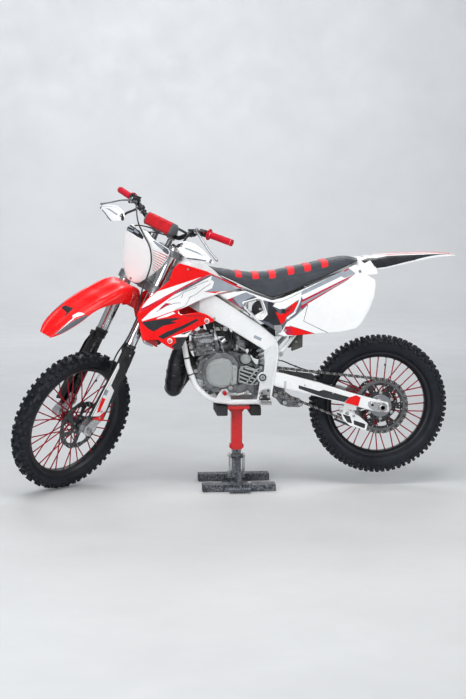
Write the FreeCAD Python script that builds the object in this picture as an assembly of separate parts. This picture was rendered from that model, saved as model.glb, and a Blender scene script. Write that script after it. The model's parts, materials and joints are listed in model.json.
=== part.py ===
import FreeCAD, Part
import os
import math

# Off-road motorcycle on a lift stand.  Millimetres, +X towards the front of
# the motorcycle, +Y towards its left side, +Z up.  Origin on the floor under
# the stand, in the motorcycle's centre plane.

# ---------------------------------------------------------------- dimensions
RAKE = 24.9              # steering axis from the vertical, degrees
STEER = 45.0             # steering stands on its left stop
AXLE_F = (795.0, 344.0)  # front axle, steering straight ahead (x, z)
AXLE_R = (-677.0, 391.7)  # rear axle (x, z)
OFFSET = 62.7            # front axle ahead of the steering axis
AXLE_T = 3.63            # and above the foot of that axis
R_TYRE_F = 343.0
W_TYRE_F = 88.0
R_TYRE_R = 332.4
W_TYRE_R = 104.0
R_RIM_F = 251.6          # inner face of the rim
R_RIM_R = 225.4
LEG_P = 28.0             # fork legs ahead of the steering axis
LEG_Y = 98.0             # fork legs from the centre plane
R_LEG = 28.5             # outer tubes
R_SLIDER = 22.5
T_LEG = (432.0, 940.0)   # outer tubes, along the steering axis
T_LOW = (705.0, 743.0)   # lower clamp
T_UP = (893.0, 923.0)    # upper clamp
T_HEAD = (747.0, 889.0)  # steering head
DISC_F = (50.5, 53.5, 120.0)
DISC_R = (-69.5, -66.0, 110.0)
Y_CHAIN = 66.0
R_CHAIN_R = 127.0        # rear chain line radius
R_CHAIN_F = 35.0
SPROCKET_F = (-47.0, 560.0)
PIVOT = (-107.0, 540.0)
STAND_Y = -22.0
BAR_HALF = 375.0

os.makedirs("parts", exist_ok=True)
V = FreeCAD.Vector
NODES = {}

# ------------------------------------------------------------------- helpers
se, ce = math.sin(math.radians(RAKE)), math.cos(math.radians(RAKE))
S_AX = V(-se, 0, ce)                 # steering axis
P_AX = V(ce, 0, se)                  # ahead of it, square to it
A0 = V(AXLE_F[0], 0, AXLE_F[1]) - P_AX * OFFSET - S_AX * AXLE_T


def L(t, p, y=0.0):
    """Point by distance along the axis, ahead of it and across."""
    return A0 + S_AX * t + P_AX * p + V(0, y, 0)


def steered(shape):
    s = shape.copy()
    s.rotate(A0, S_AX, STEER)
    return s


def wire(pts, closed=True):
    p = [V(*q) if not isinstance(q, FreeCAD.Vector) else q for q in pts]
    if closed:
        p = p + [p[0]]
    return Part.makePolygon(p)


def prism(pts, y0, y1):
    """Outline in x, z drawn out from y0 to y1."""
    f = Part.Face(wire([(x, y0, z) for x, z in pts]))
    return f.extrude(V(0, y1 - y0, 0))


def rounded(pts, r):
    """Closed outline of points with its corners rounded: list of edges."""
    n = len(pts)
    P = [V(*q) for q in pts]
    rr = r if isinstance(r, (list, tuple)) else [r] * n
    edges, ends = [], []
    for i in range(n):
        a, b, c = P[i - 1], P[i], P[(i + 1) % n]
        u, w = (a - b), (c - b)
        lu, lw = u.Length, w.Length
        u, w = u * (1 / lu), w * (1 / lw)
        ang = math.acos(max(-1, min(1, u.dot(w))))
        ri = rr[i]
        if ri <= 0 or ang > math.pi - 0.02:
            ends.append((b, None, b))
            continue
        d = min(ri / math.tan(ang / 2), 0.48 * lu, 0.48 * lw)
        ri = d * math.tan(ang / 2)
        m = (u + w)
        m.normalize()
        mid = b + m * (ri / math.sin(ang / 2) - ri)
        ends.append((b + u * d, mid, b + w * d))
    for i in range(n):
        s, m, e = ends[i]
        if m is not None:
            edges.append(Part.Arc(s, m, e).toShape())
        nx = ends[(i + 1) % n][0]
        if (nx - e).Length > 1e-6:
            edges.append(Part.LineSegment(e, nx).toShape())
    return edges


def rprism(pts, y0, y1, r):
    f = Part.Face(Part.Wire(rounded([(x, y0, z) for x, z in pts], r)))
    return f.extrude(V(0, y1 - y0, 0))


def lprism(pts, y0, y1, r=0):
    """Outline in t, p (along and ahead of the steering axis)."""
    q = [tuple(L(t, p, y0)) for t, p in pts]
    f = Part.Face(Part.Wire(rounded(q, r))) if r else Part.Face(wire(q))
    return f.extrude(V(0, y1 - y0, 0))


def box(x0, x1, y0, y1, z0, z1):
    return Part.makeBox(x1 - x0, y1 - y0, z1 - z0, V(x0, y0, z0))


def cyl(a, b, r):
    a, b = V(*a), V(*b)
    return Part.makeCylinder(r, (b - a).Length, a, b - a)


def route(pts, rmax=None):
    """Straight runs joined by tangent arcs, each as large as its runs allow."""
    P = [V(*q) for q in pts]
    edges, radii, last = [], [], P[0]
    for i in range(1, len(P) - 1):
        u, w = P[i - 1] - P[i], P[i + 1] - P[i]
        lu, lw = u.Length, w.Length
        u, w = u * (1 / lu), w * (1 / lw)
        ang = math.acos(max(-1, min(1, u.dot(w))))
        turn = math.pi - ang
        r = 0.45 * min(lu, lw) / math.tan(turn / 2)
        if rmax:
            r = min(r, rmax)
        d = r * math.tan(turn / 2)
        m = u + w
        m.normalize()
        s, e = P[i] + u * d, P[i] + w * d
        mid = P[i] + m * (r / math.sin(ang / 2) - r)
        edges.append(Part.LineSegment(last, s).toShape())
        edges.append(Part.Arc(s, mid, e).toShape())
        radii.append(round(r, 1))
        last = e
    edges.append(Part.LineSegment(last, P[-1]).toShape())
    return Part.Wire(edges), radii


def tube(pts, r, rmax=None, ri=0.0):
    w, radii = route(pts, rmax)
    d = (V(*pts[1]) - V(*pts[0]))
    c = Part.Wire(Part.makeCircle(r, V(*pts[0]), d))
    out = w.makePipeShell([c], True, False)
    if ri:
        c2 = Part.Wire(Part.makeCircle(ri, V(*pts[0]), d))
        out = out.cut(w.makePipeShell([c2], True, False))
    return out


def hose(name, pts, r):
    w, radii = route(pts)
    c = Part.Wire(Part.makeCircle(r, V(*pts[0]), V(*pts[1]) - V(*pts[0])))
    out = w.makePipeShell([c], True, False)
    want = math.pi * r * r * w.Length
    print("%s length %.0f radii %s volume/section %.4f" % (
        name, w.Length, radii, out.Volume / want))
    return out


def revolve(prof, c, n=(0, 1, 0)):
    """Closed profile of (across, radius) turned about the wheel's axis."""
    pts = [V(c[0], a, c[1] + r) for a, r in prof]
    f = Part.Face(wire(pts))
    return f.revolve(V(c[0], 0, c[1]), V(0, 1, 0), 360)


def loft(sections, ruled=True):
    return Part.makeLoft([wire(s) for s in sections], True, ruled)


def mirror(shape):
    return shape.mirror(V(0, 0, 0), V(0, 1, 0))


def fuse(shapes, refine=False):
    out = shapes[0]
    if len(shapes) > 1:
        out = out.multiFuse(shapes[1:])
    return out.removeSplitter() if refine else out


def add(name, shape):
    sols = shape.Solids
    NODES[name] = sols[0] if len(sols) == 1 else Part.makeCompound(sols)


# --------------------------------------------------------------------- stand
def stand():
    y = STAND_Y
    near = rprism([(-172, 0), (173, 0), (173, 36), (-172, 36)], y + 95, y + 152, 3)
    far = rprism([(-172, 0), (173, 0), (173, 36), (-172, 36)], y - 152, y - 95, 3)
    plate = box(-62, 62, y - 95, y + 95, 0, 8)
    web = box(-34, 34, y - 95, y + 95, 8, 34)
    foot = box(-40, 40, y - 36, y + 36, 34, 44)
    post = box(-21, 21, y - 21, y + 21, 44, 215)
    ears = [box(s - 3, s + 3, y - 12, y + 34, 44, 165) for s in (-31, 31)]
    bolt = cyl((-44, y + 8, 150), (44, y + 8, 150), 6)
    bolt2 = cyl((-44, y + 8, 70), (44, y + 8, 70), 6)
    base = fuse([near, far, plate, web, foot, post] + ears + [bolt, bolt2])
    add("stand_base", base)

    col = box(-26, 26, y - 26, y + 26, 178, 386)
    col = col.cut(box(-21.3, 21.3, y - 21.3, y + 21.3, 170, 386))
    collar = [box(s * 26 - (0 if s > 0 else 7), s * 26 + (7 if s > 0 else 0),
                  y - 20, y + 20, 182, 204) for s in (-1, 1)]
    top = rprism([(-52, 386), (52, 386), (52, 400), (-52, 400)], -92, 92, 0)
    arms = [box(44, 104, -70, 70, 386, 392), box(-104, -44, -70, 70, 386, 392)]
    add("stand_column", fuse([col, top] + collar + arms))

    pads = []
    for x0, x1 in ((53, 105), (-104, -54)):
        b = box(x0, x1, -98, 98, 356, 409)
        pads.append(b)
    add("stand_pads", Part.makeCompound(pads))

    arm = []
    prof = [(y + 36, 158), (y + 78, 132), (y + 128, 92), (y + 160, 55), (y + 176, 22)]
    prof2 = [(y + 166, 20), (y + 150, 48), (y + 120, 80), (y + 72, 119), (y + 36, 144)]
    f = Part.Face(wire([(-11, a, b) for a, b in prof + prof2]))
    arm = f.extrude(V(22, 0, 0))
    pedal = rprism([(-50, 6), (52, 6), (52, 24), (-50, 24)], y + 166, y + 196, 2)
    lug = cyl((-28, y + 40, 150), (28, y + 40, 150), 11)
    add("stand_pedal", fuse([arm, pedal, lug]))


# --------------------------------------------------------------------- frame
SPAR_TOP = [(300, 1042), (190, 971), (94.4, 909.0), (-92.8, 788.2), (-142.3, 748.1), (-169.7, 724.5),
            (-183.7, 681.7), (-180.5, 619.2), (-171.1, 560.9), (-159.8, 502.0), (-148, 418)]
SPAR_BOT = [(-84.0, 409), (-93.8, 463.5), (-101.3, 522.4), (-120.2, 568.9), (-123.7, 607.9),
            (-119.5, 662.5), (-107.7, 672), (49.6, 769.6), (192.6, 847.7), (300, 906)]


def frame():
    outline = SPAR_TOP[1:] + SPAR_BOT[:-1]
    spar = rprism(outline, 86, 116, [0, 8, 8, 30, 30, 30, 20, 20, 20, 6, 6, 10, 12, 12, 12, 25, 25, 8, 0])
    front = loft([[(190, 86, 971), (190, 116, 971), (192.6, 116, 847.7), (192.6, 86, 847.7)],
                  [(250, 54, 1008), (250, 84, 1008), (250, 84, 880), (250, 54, 880)],
                  [(312, 24, 1046), (312, 48, 1046), (312, 48, 918), (312, 24, 918)],
                  [(370, 8, 1078), (370, 27, 1078), (392, 27, 982), (392, 8, 982)]])
    left = spar.fuse(front)
    head = Part.makeCylinder(32, T_HEAD[1] - T_HEAD[0], L(T_HEAD[0], 0), S_AX)
    bore = Part.makeCylinder(17, T_HEAD[1] - T_HEAD[0] + 40, L(T_HEAD[0] - 20, 0), S_AX)
    x1 = cyl((PIVOT[0], -86, PIVOT[1]), (PIVOT[0], 86, PIVOT[1]), 21)
    x2 = cyl((-78, -86, 768), (-78, 86, 768), 15)
    x3 = cyl((-118, -86, 452), (-118, 86, 452), 13)
    gus = loft([[(322, -40, 1040), (322, 40, 1040), (322, 40, 950), (322, -40, 950)],
                [(372, -24, 1070), (372, 24, 1070), (392, 24, 990), (392, -24, 990)]])
    f = fuse([left, mirror(left), head, x1, x2, x3, gus])
    f = f.cut(bore)
    pb = cyl((PIVOT[0], -130, PIVOT[1]), (PIVOT[0], 130, PIVOT[1]), 9.0)
    f = f.cut(pb)
    global MAIN
    MAIN = f
    add("left_spar", spar.cut(pb))
    add("right_spar", mirror(spar).cut(pb))
    add("steering_head", fuse([front, mirror(front), head, gus]).cut(bore))
    add("frame_crossmembers", Part.makeCompound([x1.cut(pb), x2, x3]))

    tubes = []
    for s in (1, -1):
        tubes.append(tube([(372, s * 14, 1008), (300, s * 34, 815), (256, s * 66, 690), (238, s * 76, 590),
                           (200, s * 76, 490), (134, s * 76, 432), (40, s * 76, 419), (-130, s * 76, 419)], 13, 140))
    web = box(302, 326, -30, 30, 838, 868)
    sk = cyl((100, -70, 430), (100, 70, 430), 11)
    cr = fuse(tubes + [sk])
    cr = cr.cut(f)
    add("frame_cradle", cr)

    sub = []
    for s in (1, -1):
        sub.append(tube([(-64, s * 100, 815), (-130, s * 88, 852), (-240, s * 78, 905), (-420, s * 74, 985),
                         (-590, s * 62, 1040)], 10, 120))
        sub.append(tube([(-186, s * 99, 645), (-262, s * 84, 738), (-380, s * 76, 860), (-520, s * 70, 1000)], 10, 120))
    sub.append(cyl((-580, -66, 1037), (-580, 66, 1037), 9))
    sub.append(cyl((-330, -80, 945), (-330, 80, 945), 8))
    sb = fuse(sub).cut(f)
    add("subframe", sb)


def chain_loop(ra, rb, y0, y1):
    """Solid bounded by a line round the rear and the front sprocket."""
    cr, cf = V(AXLE_R[0], y0, AXLE_R[1]), V(SPROCKET_F[0], y0, SPROCKET_F[1])
    d = cf - cr
    base = math.atan2(d.z, d.x)
    off = math.acos((ra - rb) / d.Length)

    def at(c, ang, r):
        return c + V(math.cos(ang), 0, math.sin(ang)) * r
    pa = [at(cr, base + off, ra), at(cf, base + off, rb), at(cf, base, rb), at(cf, base - off, rb),
          at(cr, base - off, ra), at(cr, base, -ra)]
    e = [Part.LineSegment(pa[0], pa[1]).toShape(), Part.Arc(pa[1], pa[2], pa[3]).toShape(),
         Part.LineSegment(pa[3], pa[4]).toShape(), Part.Arc(pa[4], pa[5], pa[0]).toShape()]
    return Part.Face(Part.Wire(e)).extrude(V(0, y1 - y0, 0))


# -------------------------------------------------------------------- engine
def engine():
    low = fuse([rprism([(-78, 470), (-78, 604), (-50, 636), (40, 662), (92, 658), (92, 458), (-60, 458)], -84, 84, 10),
                rprism([(60, 458), (60, 660), (120, 655), (190, 612), (208, 545), (184, 488), (130, 458)], -58, 58, 14)])
    ign = cyl((94, 50, 563), (94, 120, 563), 64)
    ignc = cyl((94, 120, 563), (94, 125, 563), 55)
    spc = rprism([(22, 515), (22, 592), (-24, 604), (-80, 596), (-92, 560), (-78, 530), (-40, 508)], 84, 108, 12)
    clutch = cyl((30, -111, 540), (30, -84, 540), 82)
    kick = cyl((-52, -112, 590), (-52, -84, 590), 30)
    wp = cyl((136, -100, 540), (136, -50, 540), 30)
    e = fuse([low, ign, ignc, clutch, kick, wp])
    # the final-drive sprocket turns in a pocket behind its cover
    e = e.fuse(spc)
    e = e.cut(chain_loop(R_CHAIN_R + 11, R_CHAIN_F + 11, Y_CHAIN - 11, Y_CHAIN + 11))
    add("engine_cases", e)

    cylr = loft([[(100, -52, 655), (208, -52, 640), (208, 52, 640), (100, 52, 655)],
                 [(112, -52, 722), (222, -52, 706), (222, 52, 706), (112, 52, 722)]])
    head = loft([[(112, -50, 722), (222, -50, 706), (222, 50, 706), (112, 50, 722)],
                 [(128, -38, 762), (216, -38, 748), (216, 38, 748), (128, 38, 762)]])
    port = cyl((210, 0, 680), (232, 0, 676), 26)
    add("cylinder", fuse([cylr, head, port]).cut(NODES["engine_cases"]))

    body = cyl((98, 0, 668), (-58, 0, 689), 30)
    bowl = cyl((-12, 0, 585), (-12, 0, 662), 34)
    top = cyl((-4, 0, 690), (6, 0, 764), 23)
    ca = fuse([body, bowl, top]).cut(NODES["cylinder"])
    ca = ca.cut(NODES["engine_cases"])
    add("carburettor", ca)

    box_ = loft([[(-58.5, -30, 659), (-58.5, 30, 659), (-58.5, 30, 719), (-58.5, -30, 719)],
                 [(-84, 40, 668), (-84, 76, 668), (-84, 76, 728), (-84, 40, 728)],
                 [(-160, 42, 700), (-160, 78, 700), (-160, 78, 780), (-160, 42, 780)],
                 [(-176, -70, 752), (-176, 70, 752), (-176, 70, 880), (-176, -70, 880)],
                 [(-345, -64, 790), (-345, 64, 790), (-345, 58, 925), (-345, -58, 925)]])
    cheek = [(-246, 652), (-300, 672), (-304, 792), (-262, 792)]
    flap = prism([(-296, 671), (-300, 672), (-304, 792), (-300, 792)], -58, 58)
    flap = fuse([flap, prism(cheek, 54, 58), prism(cheek, -58, -54)])
    ab = box_.cut(MAIN).cut(NODES["carburettor"]).cut(NODES["subframe"])
    add("airbox", ab)
    fl = flap.cut(ab).cut(MAIN).cut(NODES["subframe"])
    add("mud_flap", max(fl.Solids, key=lambda q: q.Volume))


def radiators():
    out = []
    for s in (1, -1):
        y0, y1 = (46, 160) if s > 0 else (-160, -46)
        out.append(lprism([(480, -124), (700, -124), (700, -92), (480, -92)], y0, y1, 4))
    add("radiators", Part.makeCompound(out))


# ---------------------------------------------------------------- exhaust
def lerp(a, b, t):
    return a + (b - a) * t


def pipe_loft(stations):
    """Round sections along a path: (x, y, z, radius)."""
    n = len(stations)
    wires = []
    for i in range(n):
        a = V(*stations[max(0, i - 1)][:3])
        b = V(*stations[min(n - 1, i + 1)][:3])
        c = V(*stations[i][:3])
        wires.append(Part.Wire(Part.makeCircle(stations[i][3], c, b - a)))
    return Part.makeLoft(wires, True, True)


def exhaust():
    p = pipe_loft([(233, 0, 676, 25), (258, -6, 668, 27), (276, -18, 640, 32), (281, -32, 598, 42),
                   (283, -48, 548, 49), (290, -65, 500, 47), (296, -88, 466, 42), (290, -113, 461, 37),
                   (270, -132, 480, 34), (238, -141, 518, 32), (198, -143, 562, 31), (158, -143, 602, 30),
                   (112, -142, 640, 28), (62, -142, 670, 26),
                   (10, -141, 698, 23), (-40, -138, 722, 19), (-90, -136, 738, 16), (-140, -134, 750, 14),
                   (-200, -132, 762, 14), (-245, -131, 772, 14)])
    add("exhaust_pipe", p.cut(NODES["cylinder"]))
    a, b = V(-245, -131, 772), V(-600, -130, 862)
    d = (b - a)
    d.normalize()
    body = Part.makeCylinder(37, (b - a).Length, a, d)
    tail = Part.makeCylinder(16, 26, b, d)
    sil = fuse([body, tail]).cut(Part.makeCylinder(11, 24, b + d * 3, d)).cut(NODES["exhaust_pipe"])
    add("silencer", max(sil.Solids, key=lambda q: q.Volume))


# ---------------------------------------------------------------- bodywork
TANK = [  # x, bottom, spar top, top, half width low, half width high, half width of the flat top
    (300, 900, 1046, 1092, 22, 66, 40), (232, 880, 1002, 1104, 42, 116, 62),
    (150, 870, 948, 1062, 60, 112, 70), (70, 850, 896, 1000, 66, 82, 66), (-40, 840, 850, 925, 60, 62, 55)]


def tank():
    low = loft([[(x, -a, zb), (x, a, zb), (x, a, zs + 40), (x, -a, zs + 40)] for x, zb, zs, zt, a, b, c in TANK[:4]])
    tail = loft([[(x, -a, zb), (x, a, zb), (x, a, zt - 8), (x, -a, zt - 8)] for x, zb, zs, zt, a, b, c in TANK[3:]])
    high = loft([[(x, -b, zs + 14), (x, b, zs + 14), (x, b, zt - 26), (x, c, zt), (x, -c, zt), (x, -b, zt - 26)]
                 for x, zb, zs, zt, a, b, c in TANK[:4]])
    cap = cyl((232, 0, 1085), (228, 0, 1120), 30)
    # sump of the tank, hanging between the spars behind the cylinder head
    sump = prism([(34, 866), (40, 770), (58, 757), (108, 750), (116, 764), (120, 800), (150, 884)], -60, 60)
    t = fuse([low, tail, high, cap, sump])
    t = t.cut(MAIN).cut(NODES["frame_cradle"])
    add("fuel_tank", max(t.Solids, key=lambda q: q.Volume))


SHROUD = [(286.7, 1076.6), (154.4, 1036.6), (135.6, 1027.0), (-13.5, 956.4), (97.2, 934.0), (173.2, 913.2),
          (249.1, 879.7), (290.7, 858.9), (282.9, 845.5), (264.1, 841.7), (229.8, 849.3), (191.8, 851.0),
          (161.5, 841.1), (119.6, 814.2), (127.0, 806.5), (191.7, 788.0), (237.4, 757.9), (248.9, 742.4),
          (279.1, 689.1), (286.4, 685.5), (317.1, 685.8), (351.0, 704.9), (388.9, 731.9), (457.3, 728.7),
          (472.2, 793.5), (481.6, 843.0), (467.9, 880.9), (437.8, 914.5), (388.7, 952.2), (332.2, 997.5),
          (313.1, 1050.3)]


def sheared(shape, m):
    """Y moved by a linear rule in x and z: (x slope, z slope, shift)."""
    M = FreeCAD.Matrix()
    M.A21, M.A23, M.A24 = m
    return shape.transformGeometry(M)


def shrouds():
    sh = prism(SHROUD, 0, 4)
    # flares outwards to the front
    sh = sheared(sh, (0.20, -0.12, 216.0))
    add("shrouds", Part.makeCompound([sh, mirror(sh)]))


PLATE_F = [  # t, face half width, centre and side of the face ahead, wing half width, its edge ahead
    (712, 22, 104, 101, 30, 98), (735, 52, 112, 106, 62, 94), (779, 82, 131, 121, 94, 90), (828, 90, 155, 143, 112, 74),
    (872, 92, 176, 163, 124, 72), (915, 86, 196, 183, 129, 77), (931, 80, 202, 191, 126, 88), (938, 70, 204, 195, 82, 184),
    (955, 46, 209, 205, 50, 203)]
SEAT = [  # x, top, half width of the top, bottom edge, half width below
    (153, 1061, 30, 1040, 44), (106, 1050, 48, 1023, 74), (21, 1031, 62, 984, 98), (-65, 1022, 68, 942, 112),
    (-150, 1026, 72, 911, 118), (-236, 1044, 76, 938, 118), (-322, 1060, 80, 980, 114),
    (-408, 1080, 84, 1014, 108), (-524, 1104, 82, 1066, 98), (-556, 1096, 74, 1080, 90)]


def seat():
    secs = []
    for x, zt, wt, zb, wb in SEAT:
        secs.append([(x, -wb, zb), (x, wb, zb), (x, (wt + wb) / 2 + 6, lerp(zb, zt, 0.6)), (x, wt, zt - 5),
                     (x, wt * 0.6, zt), (x, -wt * 0.6, zt), (x, -wt, zt - 5),
                     (x, -(wt + wb) / 2 - 6, lerp(zb, zt, 0.6))])
    s = loft(secs)
    s = s.cut(NODES["fuel_tank"])
    add("seat", s)


PANEL = [(-21.4, 946), (-75, 926), (-148.4, 900.8), (-200, 914), (-281.1, 948), (-416.4, 1008), (-537.7, 1068),
         (-566.6, 1032.8), (-629.5, 996.2), (-631.9, 967.8), (-623.8, 914.0), (-599.3, 853.3), (-564.2, 795.8),
         (-539.1, 771.1), (-467.0, 753.7), (-407.1, 749.9), (-348.3, 746.1), (-243.5, 738.4), (-201.8, 734.5),
         (-178.0, 745), (-160, 765), (-100, 801), (98.2, 930)]
VENT = [(-12.9, 890.9), (-80.7, 910.0), (-99.4, 904.4), (-121.4, 839.1), (-100.1, 816.0), (-72.1, 818.5),
        (-25.2, 862.9)]


def panels():
    p = prism(PANEL, 0, 4)
    v = prism(VENT, -5, 10)
    p = p.cut(v)
    p = sheared(p, (-0.035, -0.06, 174.0))
    room = prism([(-150, 690), (-150, 800), (-245, 818), (-600, 908), (-700, 934), (-700, 690)], -300, 0)
    add("side_panels", Part.makeCompound([p] + mirror(p).cut(room).Solids))


REAR_FENDER = [  # x, crown, half width, edge
    (-556, 1094, 70, 1052), (-640, 1106, 78, 1040), (-730, 1112, 74, 1054),
    (-839, 1114, 66, 1078), (-949, 1114, 56, 1098), (-1034, 1104, 34, 1100)]


def shell(rows, th):
    """Crowned shell: rows of (x, crown z, half width, edge z)."""
    secs = []
    for x, zc, w, ze in rows:
        up = [(x, -w, ze), (x, -w * 0.93, lerp(ze, zc, 0.62)), (x, -w * 0.62, lerp(ze, zc, 0.93)), (x, 0, zc),
              (x, w * 0.62, lerp(ze, zc, 0.93)), (x, w * 0.93, lerp(ze, zc, 0.62)), (x, w, ze)]
        lo = [(x, y * (1 - th / max(w, 1)), z - th * (1.0 if abs(y) < w * 0.9 else 0.0)) for x, y, z in up]
        secs.append(up + lo[::-1])
    return loft(secs)


def fenders():
    add("rear_fender", shell(REAR_FENDER, 4))
    rows = [  # along the steering axis t, ahead p, half width, skirt
        (600, 10, 44, 22), (682, 60, 60, 34), (697, 118, 78, 58), (694, 158, 87, 70), (676, 196, 90, 64),
        (650, 230, 90, 50), (621, 264, 88, 36), (592, 300, 86, 26), (562, 330, 84, 19), (530, 360, 83, 17),
        (496, 390, 82, 21), (458, 420, 77, 22), (418, 446, 69, 17), (386, 463, 58, 11), (354, 480, 34, 6)]
    secs = []
    n = len(rows)
    for i, (t, p, w, k) in enumerate(rows):
        a = rows[max(0, i - 1)]
        b = rows[min(n - 1, i + 1)]
        d = V(b[0] - a[0], b[1] - a[1], 0)
        d.normalize()
        nt, np_ = -d.y, d.x            # inward normal in (t, p)
        if nt > 0:
            nt, np_ = -nt, -np_
        th = 3.5
        up = [(w, k), (w * 0.94, k * 0.45), (w * 0.66, k * 0.1), (0, 0), (-w * 0.66, k * 0.1),
              (-w * 0.94, k * 0.45), (-w, k)]
        up_pts = [L(t + nt * q, p + np_ * q, y) for y, q in up]
        lo_pts = [L(t + nt * (q + (th if abs(y) < w * 0.9 else 0)), p + np_ * (q + (th if abs(y) < w * 0.9 else 0)),
                    y * (1 - th / w)) for y, q in up]
        secs.append(up_pts + lo_pts[::-1])
    fe = loft(secs)
    add("front_fender", steered(fe))


# ------------------------------------------------------------------ front end
def front_end():
    # clamps and stem
    def clamp(t0, t1, stem_r):
        legs = [Part.makeCylinder(R_LEG + 11, t1 - t0, L(t0, LEG_P, s * LEG_Y), S_AX) for s in (1, -1)]
        web = lprism([(t0, -22), (t1, -22), (t1, 46), (t0, 46)], -LEG_Y, LEG_Y, 0)
        c = Part.makeCylinder(34, t1 - t0, L(t0, 0, 0), S_AX)
        return fuse(legs + [web, c])
    low = clamp(T_LOW[0], T_LOW[1], 16)
    up = clamp(T_UP[0], T_UP[1], 16)
    stem = Part.makeCylinder(14, T_UP[1] + 8 - T_LOW[0], L(T_LOW[0], 0), S_AX)
    nut = Part.makeCylinder(19, 8, L(T_UP[1], 0), S_AX)
    mounts = []
    for s in (1, -1):
        mounts.append(Part.makeCylinder(13, 50, L(T_UP[1], 24, s * 48), S_AX))
    tc = fuse([low, up, stem, nut] + mounts)
    holes = [Part.makeCylinder(R_LEG, 400, L(600, LEG_P, s * LEG_Y), S_AX) for s in (1, -1)]
    tc = tc.cut(Part.makeCompound(holes))
    tc = tc.cut(Part.makeCylinder(9.5, 60, L(T_UP[1] + 8 - 42, 0), S_AX))
    bar_pts = [(T_UP[1] + 62, 26)]
    bar_c = (T_UP[1] + 60, 26)
    bores = Part.makeCylinder(11.1, 200, L(bar_c[0], bar_c[1], -100), V(0, 1, 0))
    for s in (1, -1):
        blk = lprism([(bar_c[0] - 20, bar_c[1] - 17), (bar_c[0] + 18, bar_c[1] - 17), (bar_c[0] + 18, bar_c[1] + 17),
                      (bar_c[0] - 20, bar_c[1] + 17)], s * 48 - 14, s * 48 + 14, 4)
        tc = tc.fuse(blk)
    tc = tc.cut(bores)
    add("triple_clamps", steered(tc))

    # legs
    outs, slid = [], []
    for s in (1, -1):
        o = Part.makeCylinder(R_LEG, T_LEG[1] - T_LEG[0], L(T_LEG[0], LEG_P, s * LEG_Y), S_AX)
        ring = Part.makeCylinder(R_LEG + 2, 12, L(T_LEG[0], LEG_P, s * LEG_Y), S_AX)
        cap = Part.makeCylinder(20, 10, L(T_LEG[1], LEG_P, s * LEG_Y), S_AX)
        bore = Part.makeCylinder(R_SLIDER + 0.3, 300, L(T_LEG[0] - 1, LEG_P, s * LEG_Y), S_AX)
        outs.append(fuse([o, ring, cap]).cut(bore))
        sl = Part.makeCylinder(R_SLIDER, 560 - 60, L(60, LEG_P, s * LEG_Y), S_AX)
        y0, y1 = (78, 118) if s > 0 else (-118, -78)
        foot = lprism([(-26, 50), (-14, 84), (20, 88), (60, 66), (98, 52), (98, 2), (70, 0), (20, 32), (-20, 38)],
                      y0, y1, 8)
        bore = Part.makeCylinder(10.0, 60, L(AXLE_T, OFFSET, s * LEG_Y - 30), V(0, 1, 0))
        slid.append(fuse([sl, foot]).cut(bore))
    add("fork_tubes", steered(Part.makeCompound(outs)))
    add("fork_sliders", steered(Part.makeCompound(slid)))

    g = []
    for s in (1, -1):
        side = lprism([(64, 6), (60, 96), (200, 90), (362, 78), (400, 62), (424, 58), (424, 0), (345, -4), (250, 6)],
                      122 if s > 0 else -126, 126 if s > 0 else -122, 6)
        fr = loft([[tuple(L(100, 72, s * 92)), tuple(L(100, 94, s * 122)), tuple(L(100, 92, s * 126)), tuple(L(100, 67, s * 93))],
                   [tuple(L(400, 52, s * 92)), tuple(L(400, 62, s * 122)), tuple(L(400, 60, s * 126)), tuple(L(400, 48, s * 93))]])
        tabs = [cyl(tuple(L(t, 34, s * 118.5)), tuple(L(t, 34, s * 122)), 8) for t in (80,)]
        ring = Part.makeCylinder(28, 20, L(404, LEG_P, s * LEG_Y), S_AX).cut(
            Part.makeCylinder(R_SLIDER, 20, L(404, LEG_P, s * LEG_Y), S_AX))
        g.append(fuse([side, fr, ring] + tabs))
    add("fork_guards", steered(Part.makeCompound([q.cut(slid[i]) for i, q in enumerate(g)])))

    ax = cyl(tuple(L(AXLE_T, OFFSET, -124)), tuple(L(AXLE_T, OFFSET, 120)), 10)
    nut = cyl(tuple(L(AXLE_T, OFFSET, 118)), tuple(L(AXLE_T, OFFSET, 130)), 15)
    hd = cyl(tuple(L(AXLE_T, OFFSET, -130)), tuple(L(AXLE_T, OFFSET, -118)), 15)
    add("front_axle", steered(fuse([ax, nut, hd])))

    # brake caliper behind the left leg, round the disc's edge
    cal = lprism([(44, -34), (112, -44), (134, -10), (104, 22), (60, 2)], 38, 72, 8)
    lug = lprism([(70, -20), (110, -20), (110, 20), (70, 20)], 70, 78, 4)
    slot = cyl(tuple(L(AXLE_T, OFFSET, DISC_F[0] - 5.5)), tuple(L(AXLE_T, OFFSET, DISC_F[1] + 5.5)), DISC_F[2] + 5.5)
    add("front_caliper", steered(fuse([cal, lug]).cut(slot).cut(slid[0])))

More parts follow.
